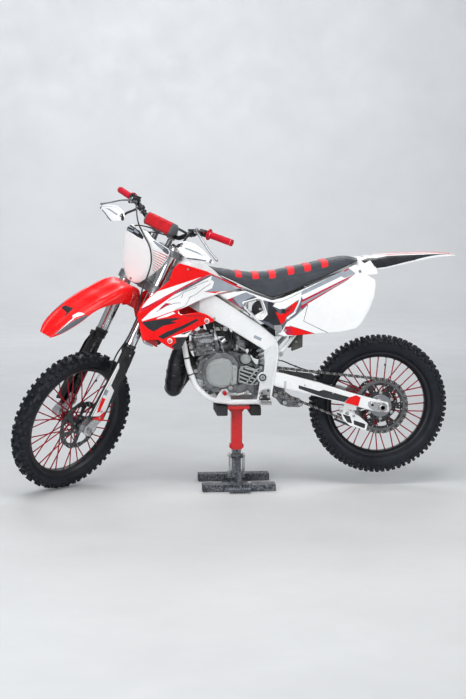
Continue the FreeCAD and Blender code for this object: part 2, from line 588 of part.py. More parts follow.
    # handlebar
    b = [L(bar_c[0], bar_c[1], 0)]
    half = [(bar_c[0], 26, 0), (bar_c[0], 26, 92), (T_UP[1] + 122, 52, 190), (T_UP[1] + 136, 44, 250),
            (T_UP[1] + 146, 14, BAR_HALF)]
    pts = [tuple(L(t, p, -y)) for t, p, y in half[:0:-1]] + [tuple(L(t, p, y)) for t, p, y in half[1:]]
    bar = tube(pts, 11.0, 60)
    cross = tube([tuple(L(T_UP[1] + 98, 43, -160)), tuple(L(T_UP[1] + 100, 48, -60)), tuple(L(T_UP[1] + 100, 48, 60)),
                  tuple(L(T_UP[1] + 98, 43, 160))], 6, 60)
    add("handlebar", steered(fuse([bar, cross])))
    pad = ((-26, -8), (-8, -22), (16, -20), (26, -8), (27, 22), (18, 31), (-24, 32), (-33, 24))
    add("bar_pad", steered(loft([
        [tuple(L(T_UP[1] + 86 + a, 66 + c, -94)) for a, c in pad], [tuple(L(T_UP[1] + 86 + a, 66 + c, 94)) for a, c in pad]]).cut(
            fuse([cross, bar]))))
    grips = []
    for s in (1, -1):
        a, c = L(T_UP[1] + 136.4, 42.0, s * 256), L(T_UP[1] + 146.3, 13, s * (BAR_HALF + 3))
        d = c - a
        gl = d.Length
        gg = Part.makeCylinder(16, gl, a, d).fuse(Part.makeCylinder(27, 5, a, d))
        grips.append(gg.cut(bar))
    add("grips", steered(Part.makeCompound(grips)))
    ctl = []
    for s in (1, -1):
        p0, p1 = L(T_UP[1] + 129, 47, s * 212), L(T_UP[1] + 133.5, 44, s * 240)
        d = p1 - p0
        ring = Part.makeCylinder(17, d.Length, p0, d)
        arm = fuse([lprism([(T_UP[1] + 118, 58), (T_UP[1] + 140, 58), (T_UP[1] + 140, 92), (T_UP[1] + 118, 92)],
                           206 if s > 0 else -238, 238 if s > 0 else -206, 4)])
        lev = tube([tuple(L(T_UP[1] + 126, 86, s * 216)), tuple(L(1032, 93, s * 262)),
                    tuple(L(998, 88, s * 328)), tuple(L(968, 76, s * 397))], 5.5, 80)
        ctl.append(fuse([ring, arm, lev]).cut(bar))
    add("hand_controls", steered(Part.makeCompound(ctl)))
    hg = []
    for s in (1, -1):
        # |y|, lower edge, upper edge, distance ahead
        q = [(178, 945, 955, 119.0), (200, 934, 980, 118.6), (230, 924, 991, 116.7), (265, 919, 995, 112.7),
             (300, 925, 990, 106.6), (335, 935, 980, 98.5), (365, 945, 967, 89.9), (386, 951, 957, 83.0)]
        pl = loft([[tuple(L(a, p, s * y)), tuple(L(c, p, s * y)), tuple(L(c, p + 4, s * y)), tuple(L(a, p + 4, s * y))]
                   for y, a, c, p in q])
        st = tube([tuple(L(T_UP[1] + 112, 62, s * 176)), tuple(L(T_UP[1] + 75, 92, s * 186)), tuple(L(962, 119, s * 204))], 6, 30)
        hg.append(fuse([pl, st]).cut(bar))
    add("hand_guards", steered(Part.makeCompound(hg)))

    # number plate, bent about its upright middle
    # front plate: upright face with wings wrapped back round the legs
    def np_sec(t, wf, pc, pf, wo, pe):
        front = [(-wo, pe), (-wf, pf), (-wf * 0.5, pc - 2), (0, pc), (wf * 0.5, pc - 2), (wf, pf), (wo, pe)]
        back = [(-wo + 3, pe), (-wf + 2.4, pf - 3), (-wf * 0.5, pc - 5), (0, pc - 3), (wf * 0.5, pc - 5), (wf - 2.4, pf - 3), (wo - 3, pe)]
        return [L(t, p, y) for y, p in front + back[::-1]]
    npl = loft([np_sec(*q) for q in PLATE_F])
    add("number_plate", steered(npl))


# ---------------------------------------------------------------------- wheels
def wheel(c, r_tyre, w_tyre, r_rim, flange_w, hub_w, prefix, steer):
    h = w_tyre / 2
    fl = r_rim + 27
    prof_o = [(flange_w + 1, fl - 6), (h - 4, fl + 14), (h, fl + 36), (h, r_tyre - 16), (h * 0.72, r_tyre - 4),
              (0, r_tyre)]
    prof_i = [(0, r_tyre - 22), (h * 0.62, r_tyre - 26), (h - 11, r_tyre - 40), (h - 11, fl + 34), (h - 15, fl + 14),
              (flange_w - 4, fl - 6)]
    prof = prof_o + prof_i
    tyre_pts = prof_o + [(-a, r) for a, r in prof_o[-2::-1]] + [(-a, r) for a, r in prof_i[::-1]] + prof_i[1:]
    tyre = revolve(tyre_pts, c)
    fw = flange_w
    rim_pts = [(-fw, fl), (-fw + 3, fl), (-fw + 5, fl - 11), (-fw + 14, fl - 13), (-8, fl - 19), (8, fl - 19),
               (fw - 14, fl - 13), (fw - 5, fl - 11), (fw - 3, fl), (fw, fl), (fw, fl - 12), (fw - 9, r_rim + 8), (10, r_rim),
               (-10, r_rim), (-fw + 9, r_rim + 8), (-fw, fl - 12)]
    rim = revolve(rim_pts, c)
    tyre = tyre.cut(rim)
    core = cyl((c[0], -hub_w[0], c[1]), (c[0], hub_w[1], c[1]), 20)
    flg = [cyl((c[0], s * 34 - 3, c[1]), (c[0], s * 34 + 3, c[1]), 34) for s in (1, -1)]
    spokes = []
    n = 36
    for k in range(n):
        side = 1 if k % 2 else -1
        lead = 1 if (k // 2) % 2 else -1
        a0 = 2 * math.pi * k / n
        a1 = a0 + lead * math.radians(62)
        p0 = (c[0] + 29 * math.cos(a1), side * 34, c[1] + 29 * math.sin(a1))
        p1 = (c[0] + (r_rim + 3) * math.cos(a0), side * 3, c[1] + (r_rim + 3) * math.sin(a0))
        spokes.append(cyl(p0, p1, 1.8))
    hub = fuse([core] + flg + spokes)
    hub = hub.cut(rim)
    bore = cyl((c[0], -200, c[1]), (c[0], 200, c[1]), (10.3 if steer else 12.8))
    hub = hub.cut(bore)
    for nm, sh in (("tyre", tyre), ("rim", rim), ("hub", hub)):
        add(prefix + "_" + nm, steered(sh) if steer else sh)


def ring_plate(c, y0, y1, r_out, r_in, r_c, r_hub, arms, turn=0.35, w=12):
    """Brake disc or sprocket blank: outer ring, arms and hub ring."""
    def ring(a, b):
        return cyl((c[0], y0, c[1]), (c[0], y1, c[1]), a).cut(cyl((c[0], y0 - 1, c[1]), (c[0], y1 + 1, c[1]), b))
    parts = [ring(r_out, r_in), ring(r_c, r_hub)]
    for k in range(arms):
        a = 2 * math.pi * k / arms
        r0, r1 = r_c - 3, r_in + 3
        a2 = a + turn
        p0 = V(c[0] + r0 * math.cos(a), 0, c[1] + r0 * math.sin(a))
        p1 = V(c[0] + r1 * math.cos(a2), 0, c[1] + r1 * math.sin(a2))
        d = p1 - p0
        d.normalize()
        nrm = V(-d.z, 0, d.x) * (w / 2)
        parts.append(prism([((p0 + nrm).x, (p0 + nrm).z), ((p1 + nrm).x, (p1 + nrm).z), ((p1 - nrm).x, (p1 - nrm).z),
                            ((p0 - nrm).x, (p0 - nrm).z)], y0, y1))
    return fuse(parts)


def wheels():
    wheel(AXLE_F, R_TYRE_F, W_TYRE_F, R_RIM_F, 24, (60, 60), "front", True)
    # disc carrier ring is bolted to the hub's left flange
    d = ring_plate(AXLE_F, DISC_F[0], DISC_F[1], DISC_F[2], 96, 44, 20, 6)
    add("front_disc", steered(d.cut(cyl((AXLE_F[0], 0, AXLE_F[1]), (AXLE_F[0], 90, AXLE_F[1]), 20))))
    wheel(AXLE_R, R_TYRE_R, W_TYRE_R, R_RIM_R, 30, (72, 74), "rear", False)
    d = ring_plate(AXLE_R, DISC_R[0], DISC_R[1], DISC_R[2], 86, 44, 20, 6)
    add("rear_disc", d)
    d = ring_plate(AXLE_R, Y_CHAIN - 3.5, Y_CHAIN + 3.5, R_CHAIN_R - 4.5, 100, 62, 20, 6, 0.2, 16)
    add("rear_sprocket", d)


# ------------------------------------------------------------------ rear end
SW_TOP = [(-130, 572), (-212.4, 554.6), (-377.9, 509.8), (-528.4, 460.7), (-647.4, 427.9), (-707.7, 412)]
SW_BOT = [(-712, 370), (-696.3, 366.1), (-628.6, 374.6), (-560.9, 394), (-497.2, 411), (-378.8, 442.9),
          (-201.2, 488.0), (-130, 505)]


def rear_end():
    arm = rprism(SW_TOP + SW_BOT, 80, 110, 8)
    arm = arm.fuse(cyl((PIVOT[0], 62, PIVOT[1]), (PIVOT[0], 84, PIVOT[1]), 26))
    arm2 = rprism([(-135, 566), (-212, 552), (-212, 492), (-135, 510)], 62, 84, 4)
    left = fuse([arm, arm2])
    # the frame's pivot plates stand outside the arm
    left = left.cut(box(-160, -60, 84, 130, 440, 640))
    left = left.cut(cyl((PIVOT[0], -130, PIVOT[1]), (PIVOT[0], 130, PIVOT[1]), 21.5))
    slot = rprism([(AXLE_R[0] - 16, AXLE_R[1] - 13), (AXLE_R[0] + 16, AXLE_R[1] - 13), (AXLE_R[0] + 16, AXLE_R[1] + 13),
                   (AXLE_R[0] - 16, AXLE_R[1] + 13)], -130, 130, 12)
    left = left.cut(slot).cut(MAIN)
    right = mirror(left)
    bridge = box(-250, -196, -62, 62, 500, 546)
    add("left_swingarm", left)
    add("right_swingarm", right)
    add("swingarm_bridge", bridge)
    global SWING
    SWING = fuse([left, right, bridge])
    ax = cyl((AXLE_R[0], -126, AXLE_R[1]), (AXLE_R[0], 126, AXLE_R[1]), 12.4)
    blocks = [rprism([(AXLE_R[0] - 22, AXLE_R[1] - 16), (AXLE_R[0] + 22, AXLE_R[1] - 16),
                      (AXLE_R[0] + 22, AXLE_R[1] + 16), (AXLE_R[0] - 22, AXLE_R[1] + 16)], y, y + 8, 3)
              for y in (110, -118)]
    nuts = [cyl((AXLE_R[0], 118, AXLE_R[1]), (AXLE_R[0], 134, AXLE_R[1]), 19),
            cyl((AXLE_R[0], -132, AXLE_R[1]), (AXLE_R[0], -118, AXLE_R[1]), 19)]
    add("rear_axle", fuse([ax] + blocks + nuts))

    # chain: a fixed loop round both sprockets
    def loop(ra, rb):
        return chain_loop(ra, rb, Y_CHAIN - 8, Y_CHAIN + 8)
    ch = loop(R_CHAIN_R + 7, R_CHAIN_F + 7).cut(loop(R_CHAIN_R - 3.5, R_CHAIN_F - 3.5))
    add("chain", ch)

    g = rprism([(-481.1, 387.5), (-528.7, 379.3), (-564.9, 366.8), (-589.1, 326.6), (-617.3, 306.5),
                (-609, 260), (-503, 296.0), (-486, 322)], Y_CHAIN - 15, Y_CHAIN + 15, 6)
    lug = rprism([(-500, 412), (-560, 396), (-560, 366), (-500, 376)], Y_CHAIN + 10, Y_CHAIN + 14, 3)
    g = g.fuse(lug)
    g = g.cut(chain_loop(R_CHAIN_R + 9, R_CHAIN_F + 9, Y_CHAIN - 9.5, Y_CHAIN + 9.5).cut(
        chain_loop(R_CHAIN_R - 6, R_CHAIN_F - 6, Y_CHAIN - 9.5, Y_CHAIN + 9.5)))
    g = g.cut(cyl((AXLE_R[0], 40, AXLE_R[1]), (AXLE_R[0], Y_CHAIN + 9, AXLE_R[1]), R_CHAIN_R + 8))
    add("chain_guide", g)

    cal = prism([(-590, 400), (-545, 412), (-535, 452), (-560, 476), (-596, 462)], -92, -50)
    cal = cal.cut(cyl((AXLE_R[0], DISC_R[0] - 5.5, AXLE_R[1]), (AXLE_R[0], DISC_R[1] + 5.5, AXLE_R[1]), DISC_R[2] + 5.5))
    cal = cal.cut(SWING)
    add("rear_caliper", cal)

    # shock absorber and linkage
    a, b = V(-78, 0, 768), V(-180, 0, 535)
    d = b - a
    n = d.Length
    d.normalize()
    sh = [Part.makeCylinder(26, 100, a + d * 10, d), Part.makeCylinder(38, 150, a + d * 62, d),
          Part.makeCylinder(12, n - 190, a + d * 190, d), cyl((a.x, -24, a.z), (a.x, 24, a.z), 22),
          cyl((b.x, -18, b.z), (b.x, 18, b.z), 13)]
    shock = fuse(sh).cut(MAIN).cut(SWING).cut(NODES["engine_cases"])
    add("rear_shock", shock)
    NODES["airbox"] = NODES["airbox"].cut(Part.makeCylinder(41, n + 60, a - d * 30, d))
    link = rprism([(-194, 540), (-166, 540), (-160, 470), (-158, 440), (-184, 424), (-206, 396), (-240, 384), (-296, 382),
                   (-313, 396), (-304, 416), (-262, 430), (-232, 452), (-214, 486)], -26, 26, 6)
    pins = [cyl((x, -44, z), (x, 44, z), 8) for x, z in ((-178, 444), (-223, 407), (-296, 400))]
    add("suspension_linkage", fuse([link] + pins).cut(SWING).cut(shock).cut(NODES["frame_cradle"]).cut(MAIN))


def controls():
    pegs = []
    for s in (1, -1):
        y0, y1 = (116, 196) if s > 0 else (-196, -116)
        peg = rprism([(-142, 420), (-90, 420), (-90, 436), (-142, 436)], y0, y1, 3)
        pegs.append(peg)
    add("footpegs", Part.makeCompound(pegs))
    lever = tube([(-36, 116, 470), (0, 120, 462), (40, 124, 462), (72, 128, 470)], 6, 40)
    shaft = cyl((-36, 84, 470), (-36, 124, 470), 8)
    tip = cyl((72, 120, 470), (72, 152, 470), 9)
    levers = [fuse([lever, shaft, tip]).cut(NODES["engine_cases"])]
    ped = tube([(-118, -123, 457), (-60, -128, 450), (10, -128, 436), (70, -128, 452)], 7, 60)
    bosp = cyl((-118, -130, 457), (-118, -116, 457), 14)
    tip = rprism([(52, 450), (92, 450), (92, 466), (52, 466)], -146, -112, 3)
    levers.append(fuse([ped, bosp, tip]).cut(MAIN).cut(NODES["engine_cases"]))
    ks = tube([(-52, -120, 590), (-88, -132, 636), (-134, -136, 700)], 8, 60)
    b = cyl((-52, -130, 590), (-52, -112, 590), 14)
    kt = cyl((-134, -136, 700), (-84, -140, 704), 8.5)
    levers.append(fuse([ks, b, kt]).cut(NODES["engine_cases"]))
    # rear brake master cylinder, on the right pivot plate
    mc = fuse([cyl((-197, -101, 562), (-197, -101, 624), 9), box(-192, -176, -107, -95, 572, 606)])
    levers.append(mc.cut(MAIN))
    add("foot_levers", Part.makeCompound([max(q.Solids, key=lambda w: w.Volume) for q in levers]))


HOSE_F = [(1049, 79.5, -203.5), (1038, 100, -165), (1020, 138, -118), (994, 180, -60), (969, 206, -12), (947, 216, 32),
          (925, 213, 68), (900, 196, 97), (868, 172, 107), (836, 153, 111), (798, 140, 110), (753, 133, 109),
          (709, 130, 109), (665, 116, 109), (618, 92, 108), (580, 76, 107), (548, 70, 105), (480, 67, 101),
          (430, 66, 92), (386, 59, 74), (320, 46, 63), (248, 25, 61), (186, -2, 62), (131, -24, 66)]
HOSE_R = [(-206.5, -101, 592), (-236, -102, 585), (-290, -100, 562), (-362, -98, 537), (-430, -95, 514),
          (-492, -92, 497), (-534, -88, 486), (-559, -86, 479)]


def hoses():
    add("front_brake_hose", steered(hose("front_brake_hose", [tuple(L(*q)) for q in HOSE_F], 3.5)))
    add("rear_brake_hose", hose("rear_brake_hose", HOSE_R, 3.0))


MAIN = SWING = None
stand()
frame()
engine()
radiators()
exhaust()
tank()
shrouds()
seat()
panels()
fenders()
front_end()
wheels()
rear_end()
controls()
hoses()
NODES["stand_pads"] = Part.makeCompound([s for s in NODES["stand_pads"].cut(NODES["frame_cradle"]).cut(NODES["stand_column"]).Solids])

for name, shape in NODES.items():
    if not shape.isValid():
        print("INVALID", name)
    print("%-20s solids %d volume %.1f cm3" % (name, len(shape.Solids), shape.Volume / 1000.0))
    shape.exportStep("parts/%s.step" % name)
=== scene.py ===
import bpy, bmesh
import json
import math
import random
import numpy as np
from mathutils import Vector, Matrix, geometry
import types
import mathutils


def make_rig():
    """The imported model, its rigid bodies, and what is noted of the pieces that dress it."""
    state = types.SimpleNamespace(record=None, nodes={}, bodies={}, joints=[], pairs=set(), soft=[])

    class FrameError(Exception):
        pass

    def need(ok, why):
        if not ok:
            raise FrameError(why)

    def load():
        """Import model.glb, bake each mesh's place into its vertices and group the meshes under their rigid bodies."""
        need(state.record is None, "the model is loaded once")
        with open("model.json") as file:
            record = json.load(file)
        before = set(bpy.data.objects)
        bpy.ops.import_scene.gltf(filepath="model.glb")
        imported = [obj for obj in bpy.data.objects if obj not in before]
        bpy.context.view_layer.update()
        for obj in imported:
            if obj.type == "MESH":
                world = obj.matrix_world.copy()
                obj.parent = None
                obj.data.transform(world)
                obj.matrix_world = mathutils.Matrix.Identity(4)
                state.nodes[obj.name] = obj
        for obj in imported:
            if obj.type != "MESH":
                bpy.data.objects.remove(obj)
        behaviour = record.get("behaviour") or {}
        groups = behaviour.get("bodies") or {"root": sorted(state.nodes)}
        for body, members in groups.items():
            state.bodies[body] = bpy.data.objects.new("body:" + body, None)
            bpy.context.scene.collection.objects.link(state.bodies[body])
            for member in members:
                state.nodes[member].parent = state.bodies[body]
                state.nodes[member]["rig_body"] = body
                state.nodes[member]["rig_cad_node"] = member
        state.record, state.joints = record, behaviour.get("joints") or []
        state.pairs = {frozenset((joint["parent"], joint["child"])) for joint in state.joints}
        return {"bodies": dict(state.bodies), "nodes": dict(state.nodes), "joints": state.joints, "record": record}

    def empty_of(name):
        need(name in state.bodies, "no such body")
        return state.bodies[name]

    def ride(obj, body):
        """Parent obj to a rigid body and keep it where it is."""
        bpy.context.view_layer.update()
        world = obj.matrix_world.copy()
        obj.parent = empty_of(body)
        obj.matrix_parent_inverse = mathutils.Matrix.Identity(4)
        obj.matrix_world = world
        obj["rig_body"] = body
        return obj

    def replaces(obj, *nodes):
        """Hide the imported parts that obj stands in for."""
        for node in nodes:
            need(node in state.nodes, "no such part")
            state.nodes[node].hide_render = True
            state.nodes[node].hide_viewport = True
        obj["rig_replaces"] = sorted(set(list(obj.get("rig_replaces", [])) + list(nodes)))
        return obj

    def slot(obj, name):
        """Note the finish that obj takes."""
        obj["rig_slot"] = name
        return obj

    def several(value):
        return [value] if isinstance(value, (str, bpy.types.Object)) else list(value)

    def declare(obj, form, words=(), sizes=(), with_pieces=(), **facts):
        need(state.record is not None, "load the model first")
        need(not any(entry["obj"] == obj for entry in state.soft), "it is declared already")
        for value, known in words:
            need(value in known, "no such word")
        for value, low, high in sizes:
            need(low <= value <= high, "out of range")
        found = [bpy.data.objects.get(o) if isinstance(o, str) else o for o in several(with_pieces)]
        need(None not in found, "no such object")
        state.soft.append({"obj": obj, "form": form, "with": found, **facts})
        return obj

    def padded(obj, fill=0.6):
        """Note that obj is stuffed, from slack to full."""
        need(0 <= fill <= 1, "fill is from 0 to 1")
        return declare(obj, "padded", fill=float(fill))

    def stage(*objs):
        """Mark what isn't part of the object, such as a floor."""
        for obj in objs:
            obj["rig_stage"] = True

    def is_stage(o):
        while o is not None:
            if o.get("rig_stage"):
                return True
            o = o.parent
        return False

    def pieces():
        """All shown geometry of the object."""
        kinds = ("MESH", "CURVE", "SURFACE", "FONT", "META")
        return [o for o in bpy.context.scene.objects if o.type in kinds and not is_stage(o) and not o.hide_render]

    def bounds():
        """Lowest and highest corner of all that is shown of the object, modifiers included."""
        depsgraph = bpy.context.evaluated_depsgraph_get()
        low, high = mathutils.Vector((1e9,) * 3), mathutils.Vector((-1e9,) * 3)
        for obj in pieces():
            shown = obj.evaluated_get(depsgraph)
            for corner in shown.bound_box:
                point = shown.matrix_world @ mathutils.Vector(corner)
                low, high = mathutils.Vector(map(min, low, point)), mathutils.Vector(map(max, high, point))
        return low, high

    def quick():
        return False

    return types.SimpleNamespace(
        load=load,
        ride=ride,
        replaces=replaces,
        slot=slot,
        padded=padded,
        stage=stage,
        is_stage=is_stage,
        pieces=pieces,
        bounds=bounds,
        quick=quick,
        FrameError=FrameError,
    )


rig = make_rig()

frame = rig.load()
BOX0 = [list(v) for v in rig.bounds()]
NODES = frame["nodes"]
random.seed(7)
np.random.seed(7)
MM = 0.001

# ---------------------------------------------------------------- frames
RAKE, STEER = math.radians(24.9), math.radians(45.0)
S_AX = Vector((-math.sin(RAKE), 0, math.cos(RAKE)))
P_AX = Vector((math.cos(RAKE), 0, math.sin(RAKE)))
Y_AX = Vector((0, 1, 0))
AXLE_F, AXLE_T, OFFSET = (795.0, 344.0), 3.63, 62.7
AXLE_R = (-677.0, 391.7)
A0 = Vector((AXLE_F[0], 0, AXLE_F[1])) - P_AX * OFFSET - S_AX * AXLE_T
I4 = Matrix.Identity(4)


def columns(x, y, z, o):
    m = Matrix.Identity(4)
    for i, c in enumerate((x, y, z, o)):
        for k in range(3):
            m[k][i] = c[k]
    return m


TURN = Matrix.Translation(A0 * MM) @ Matrix.Rotation(STEER, 4, S_AX) @ Matrix.Translation(-A0 * MM)
# steering frame: x ahead of the axis, y across, z up the axis, mm in meshes
M_ST = TURN @ columns(P_AX, Y_AX, S_AX, A0 * MM)
M_FW = M_ST @ Matrix.Translation(Vector((OFFSET, 0, AXLE_T)) * MM)
M_RW = Matrix.Translation(Vector((AXLE_R[0], 0, AXLE_R[1])) * MM)


def tp(t, p, y):
    """Steering-frame point from (along the axis, ahead of it, across)."""
    return (p, y, t)


# ------------------------------------------------------- photograph's camera
CAM_AT = Vector((786.6, 7274.9, 1589.0))
CAM_F = Vector((-0.1039, -0.9865, -0.1263)).normalized()
CAM_R = Vector((-0.9946, 0.1041, 0.0052)).normalized()
CAM_U = CAM_R.cross(CAM_F).normalized()
CAM_R = CAM_F.cross(CAM_U).normalized()
FOCAL = 1562.0


def ray(u, v):
    return CAM_F + CAM_R * ((u - 233.0) / FOCAL) - CAM_U * ((v - 349.5) / FOCAL)


def on_plane(u, v, a, b=0.0, c=0.0):
    """Pixel to the plane y = a + b x + c z, mm: returns (x, z)."""
    d = ray(u, v)
    k = (a + b * CAM_AT.x + c * CAM_AT.z - CAM_AT.y) / (d.y - b * d.x - c * d.z)
    q = CAM_AT + d * k
    return (q.x, q.z)


ST_INV = M_ST.inverted()
CAM_ST = ST_INV @ (CAM_AT * MM) * 1000.0


def on_steer(u, v, y=None, p=None):
    """Pixel to a plane of the steering frame (y = or p =): returns (p, y, t)."""
    d = (ST_INV.to_3x3() @ ray(u, v))
    k = (y - CAM_ST.y) / d.y if y is not None else (p - CAM_ST.x) / d.x
    q = CAM_ST + d * k
    return (q.x, q.y, q.z)


# ------------------------------------------------------------ mesh building
class Mesh:
    def __init__(self):
        self.v, self.f, self.m, self.s = [], [], [], []

    def add(self, verts, faces, mat=0, T=None, sharp=False):
        n = len(self.v)
        if T is not None:
            verts = [T @ Vector(p) for p in verts]
        self.v.extend([tuple(p) for p in verts])
        self.f.extend([tuple(i + n for i in f) for f in faces])
        if isinstance(mat, (list, tuple)):
            self.m.extend(mat)
        else:
            self.m.extend([mat] * len(faces))
        return self

    def mirrored(self):
        """Adds the mirror image across the centre plane."""
        n = len(self.v)
        k = len(self.f)
        self.v.extend([(x, -y, z) for x, y, z in self.v[:n]])
        self.f.extend([tuple(i + n for i in f[::-1]) for f in self.f[:k]])
        self.m.extend(self.m[:k])
        return self

    # --- primitives
    def rbox(self, c, s, r=1.5, mat=0, R=None, seg=2):
        bm = bmesh.new()
        bmesh.ops.create_cube(bm, size=1.0)
        for v in bm.verts:
            v.co = Vector((v.co.x * s[0], v.co.y * s[1], v.co.z * s[2]))
        if r > 0:
            r = min(r, 0.45 * min(s))
            bmesh.ops.bevel(bm, geom=bm.edges[:], offset=r, segments=seg, affect="EDGES", profile=0.5)
        T = Matrix.Translation(Vector(c))
        if R is not None:
            T = T @ R.to_4x4()
        vs = [v.co.copy() for v in bm.verts]
        fs = [[v.index for v in f.verts] for f in bm.faces]
        bm.free()
        return self.add(vs, fs, mat, T)

    def ring_loft(self, rings, mat=0, cap=(True, True), closed=False):
        """Rings of equal length, joined in order."""
        n = len(rings[0])
        vs = [p for r in rings for p in r]
        fs = []
        k = len(rings)
        for i in range(k if closed else k - 1):
            a, b = i * n, ((i + 1) % k) * n
            for j in range(n):
                j2 = (j + 1) % n
                fs.append((a + j, a + j2, b + j2, b + j))
        ms = [mat] * len(fs)
        if not closed:
            if cap[0]:
                fs.append(tuple(range(n))[::-1])
                ms.append(mat)
            if cap[1]:
                fs.append(tuple(range((k - 1) * n, k * n)))
                ms.append(mat)
        return self.add(vs, fs, ms)

    def cyl(self, a, b, r, r2=None, seg=24, ch=0.6, mat=0, cap=(True, True)):
        a, b = Vector(a), Vector(b)
        r2 = r if r2 is None else r2
        d = (b - a)
        n = d.length
        d = d / n
        u = d.orthogonal().normalized()
        w = d.cross(u)
        ch = min(ch, 0.45 * n, 0.45 * min(r, r2))

        def ring(c, q):
            return [c + (u * math.cos(2 * math.pi * i / seg) + w * math.sin(2 * math.pi * i / seg)) * q for i in range(seg)]
        rings = [ring(a, r - ch), ring(a + d * ch, r), ring(b - d * ch, r2), ring(b, r2 - ch)] if ch > 0 else \
            [ring(a, r), ring(b, r2)]
        return self.ring_loft(rings, mat, cap)

    def pipe(self, a, b, r, ri, seg=32, ch=0.5, mat=0):
        """Hollow cylinder."""
        a, b = Vector(a), Vector(b)
        d = (b - a).normalized()
        u = d.orthogonal().normalized()
        w = d.cross(u)

        def ring(c, q):
            return [c + (u * math.cos(2 * math.pi * i / seg) + w * math.sin(2 * math.pi * i / seg)) * q for i in range(seg)]
        return self.ring_loft([ring(a, ri + ch), ring(a, r - ch), ring(a + d * ch, r), ring(b - d * ch, r), ring(b, r - ch),
                               ring(b, ri + ch), ring(b - d * ch, ri), ring(a + d * ch, ri)], mat, closed=True)

    def tube(self, pts, r, seg=12, mat=0, sub=6, cap=(True, True), smooth=True, squash=None):
        """Tube along a smooth line through the points; r may be a list."""
        P = [Vector(p) for p in pts]
        rr = list(r) if isinstance(r, (list, tuple)) else [r] * len(P)
        if smooth and len(P) > 2:
            Q, RR = [], []
            for i in range(len(P) - 1):
                p0, p1, p2, p3 = P[max(0, i - 1)], P[i], P[i + 1], P[min(len(P) - 1, i + 2)]
                for k in range(sub):
                    t = k / sub
                    t2, t3 = t * t, t * t * t
                    Q.append(0.5 * ((2 * p1) + (p2 - p0) * t + (2 * p0 - 5 * p1 + 4 * p2 - p3) * t2 +
                                    (3 * p1 - p0 - 3 * p2 + p3) * t3))
                    RR.append(rr[i] + (rr[i + 1] - rr[i]) * t)
            Q.append(P[-1])
            RR.append(rr[-1])
        else:
            Q, RR = P, rr
        tang = []
        for i in range(len(Q)):
            a, b = Q[max(0, i - 1)], Q[min(len(Q) - 1, i + 1)]
            tang.append((b - a).normalized())
        u = tang[0].orthogonal().normalized()
        rings = []
        for i, (c, t) in enumerate(zip(Q, tang)):
            if i:
                u = (u - t * u.dot(t)).normalized()
            w = t.cross(u)
            if squash:
                k1, k2 = squash
            else:
                k1 = k2 = 1.0
            rings.append([c + (u * math.cos(2 * math.pi * j / seg) * k1 + w * math.sin(2 * math.pi * j / seg) * k2) * RR[i]
                          for j in range(seg)])
        return self.ring_loft(rings, mat, cap)

    def rev(self, prof, seg=96, mat=0, c=(0, 0, 0), closed=False, mats=None, arc=None):
        """Profile of (across, radius) turned about the y axis through c."""
        n = len(prof)
        vs, fs, ms = [], [], []
        full = arc is None
        k = seg if full else seg + 1
        for i in range(k):
            a = 2 * math.pi * i / seg if full else arc[0] + (arc[1] - arc[0]) * i / seg
            ca, sa = math.cos(a), math.sin(a)
            for y, r in prof:
                vs.append((c[0] + r * ca, c[1] + y, c[2] + r * sa))
        last = n if closed else n - 1
        for i in range(seg):
            i2 = (i + 1) % k
            for j in range(last):
                j2 = (j + 1) % n
                fs.append((i * n + j, i * n + j2, i2 * n + j2, i2 * n + j))
                ms.append(mats[j] if mats else mat)
        return self.add(vs, fs, ms)

    def bolt(self, p, d, r=5.0, h=4.0, kind="cap", mat=0, washer=0.0):
        """Bolt head standing on p, pointing along d."""
        p, d = Vector(p), Vector(d).normalized()
        if washer:
            self.cyl(p - d * 0.2, p + d * 1.4, r + washer, seg=20, ch=0.4, mat=mat)
            p = p + d * 1.4
        u = d.orthogonal().normalized()
        w = d.cross(u)

        def ring(c, q, n, ph=0.0):
            return [c + (u * math.cos(2 * math.pi * (i + ph) / n) + w * math.sin(2 * math.pi * (i + ph) / n)) * q
                    for i in range(n)]
        if kind == "hex":
            self.cyl(p, p + d * h * 0.3, r * 1.25, seg=18, ch=0.4, mat=mat)
            q = p + d * h * 0.3
            e = h * 0.7
            self.ring_loft([ring(q, r, 6), ring(q + d * (e - 0.6), r, 6), ring(q + d * e, r * 0.86, 6)], mat)
        else:
            n = 12
            top = p + d * h
            self.ring_loft([ring(p, r, n), ring(p + d * (h - 0.8), r, n), ring(top, r - 0.7, n), ring(top, r * 0.55, n),
                            ring(top - d * h * 0.5, r * 0.5, n)], mat, cap=(True, True))
        return self

    def prism(self, poly, y0, y1, mat=0, ch=0.8, holes=(), cap_mats=None, frame2=None):
        """Outline in (x, z) drawn from y0 to y1 with chamfered edges; holes are outlines."""
        V2, T2, loops = cdt(poly, holes)
        up = 1 if y1 > y0 else -1
        sign = 1 if y1 > y0 else -1
        n = len(V2)
        off = edge_offsets(V2, T2, ch)
        vs = []
        for y, o in ((y0, ch), (y0 + sign * ch, 0.0), (y1 - sign * ch, 0.0), (y1, ch)):
            for i, (x, z) in enumerate(V2):
                dx, dz = off[i]
                vs.append((x + dx * o, y, z + dz * o))
        fs = []
        for a, b, c in T2:
            fs.append((a, b, c) if sign < 0 else (a, c, b))
        for a, b, c in T2:
            t = (a + 3 * n, b + 3 * n, c + 3 * n)
            fs.append((t[0], t[2], t[1]) if sign < 0 else t)
        for a, b in boundary(T2):
            for k in range(3):
                q = (a + k * n, b + k * n, b + (k + 1) * n, a + (k + 1) * n)
                fs.append(q if sign < 0 else q[::-1])
        used = sorted(set(i for f in fs for i in f))
        m = {i: j for j, i in enumerate(used)}
        return self.add([vs[i] for i in used], [tuple(m[i] for i in f) for f in fs], mat)

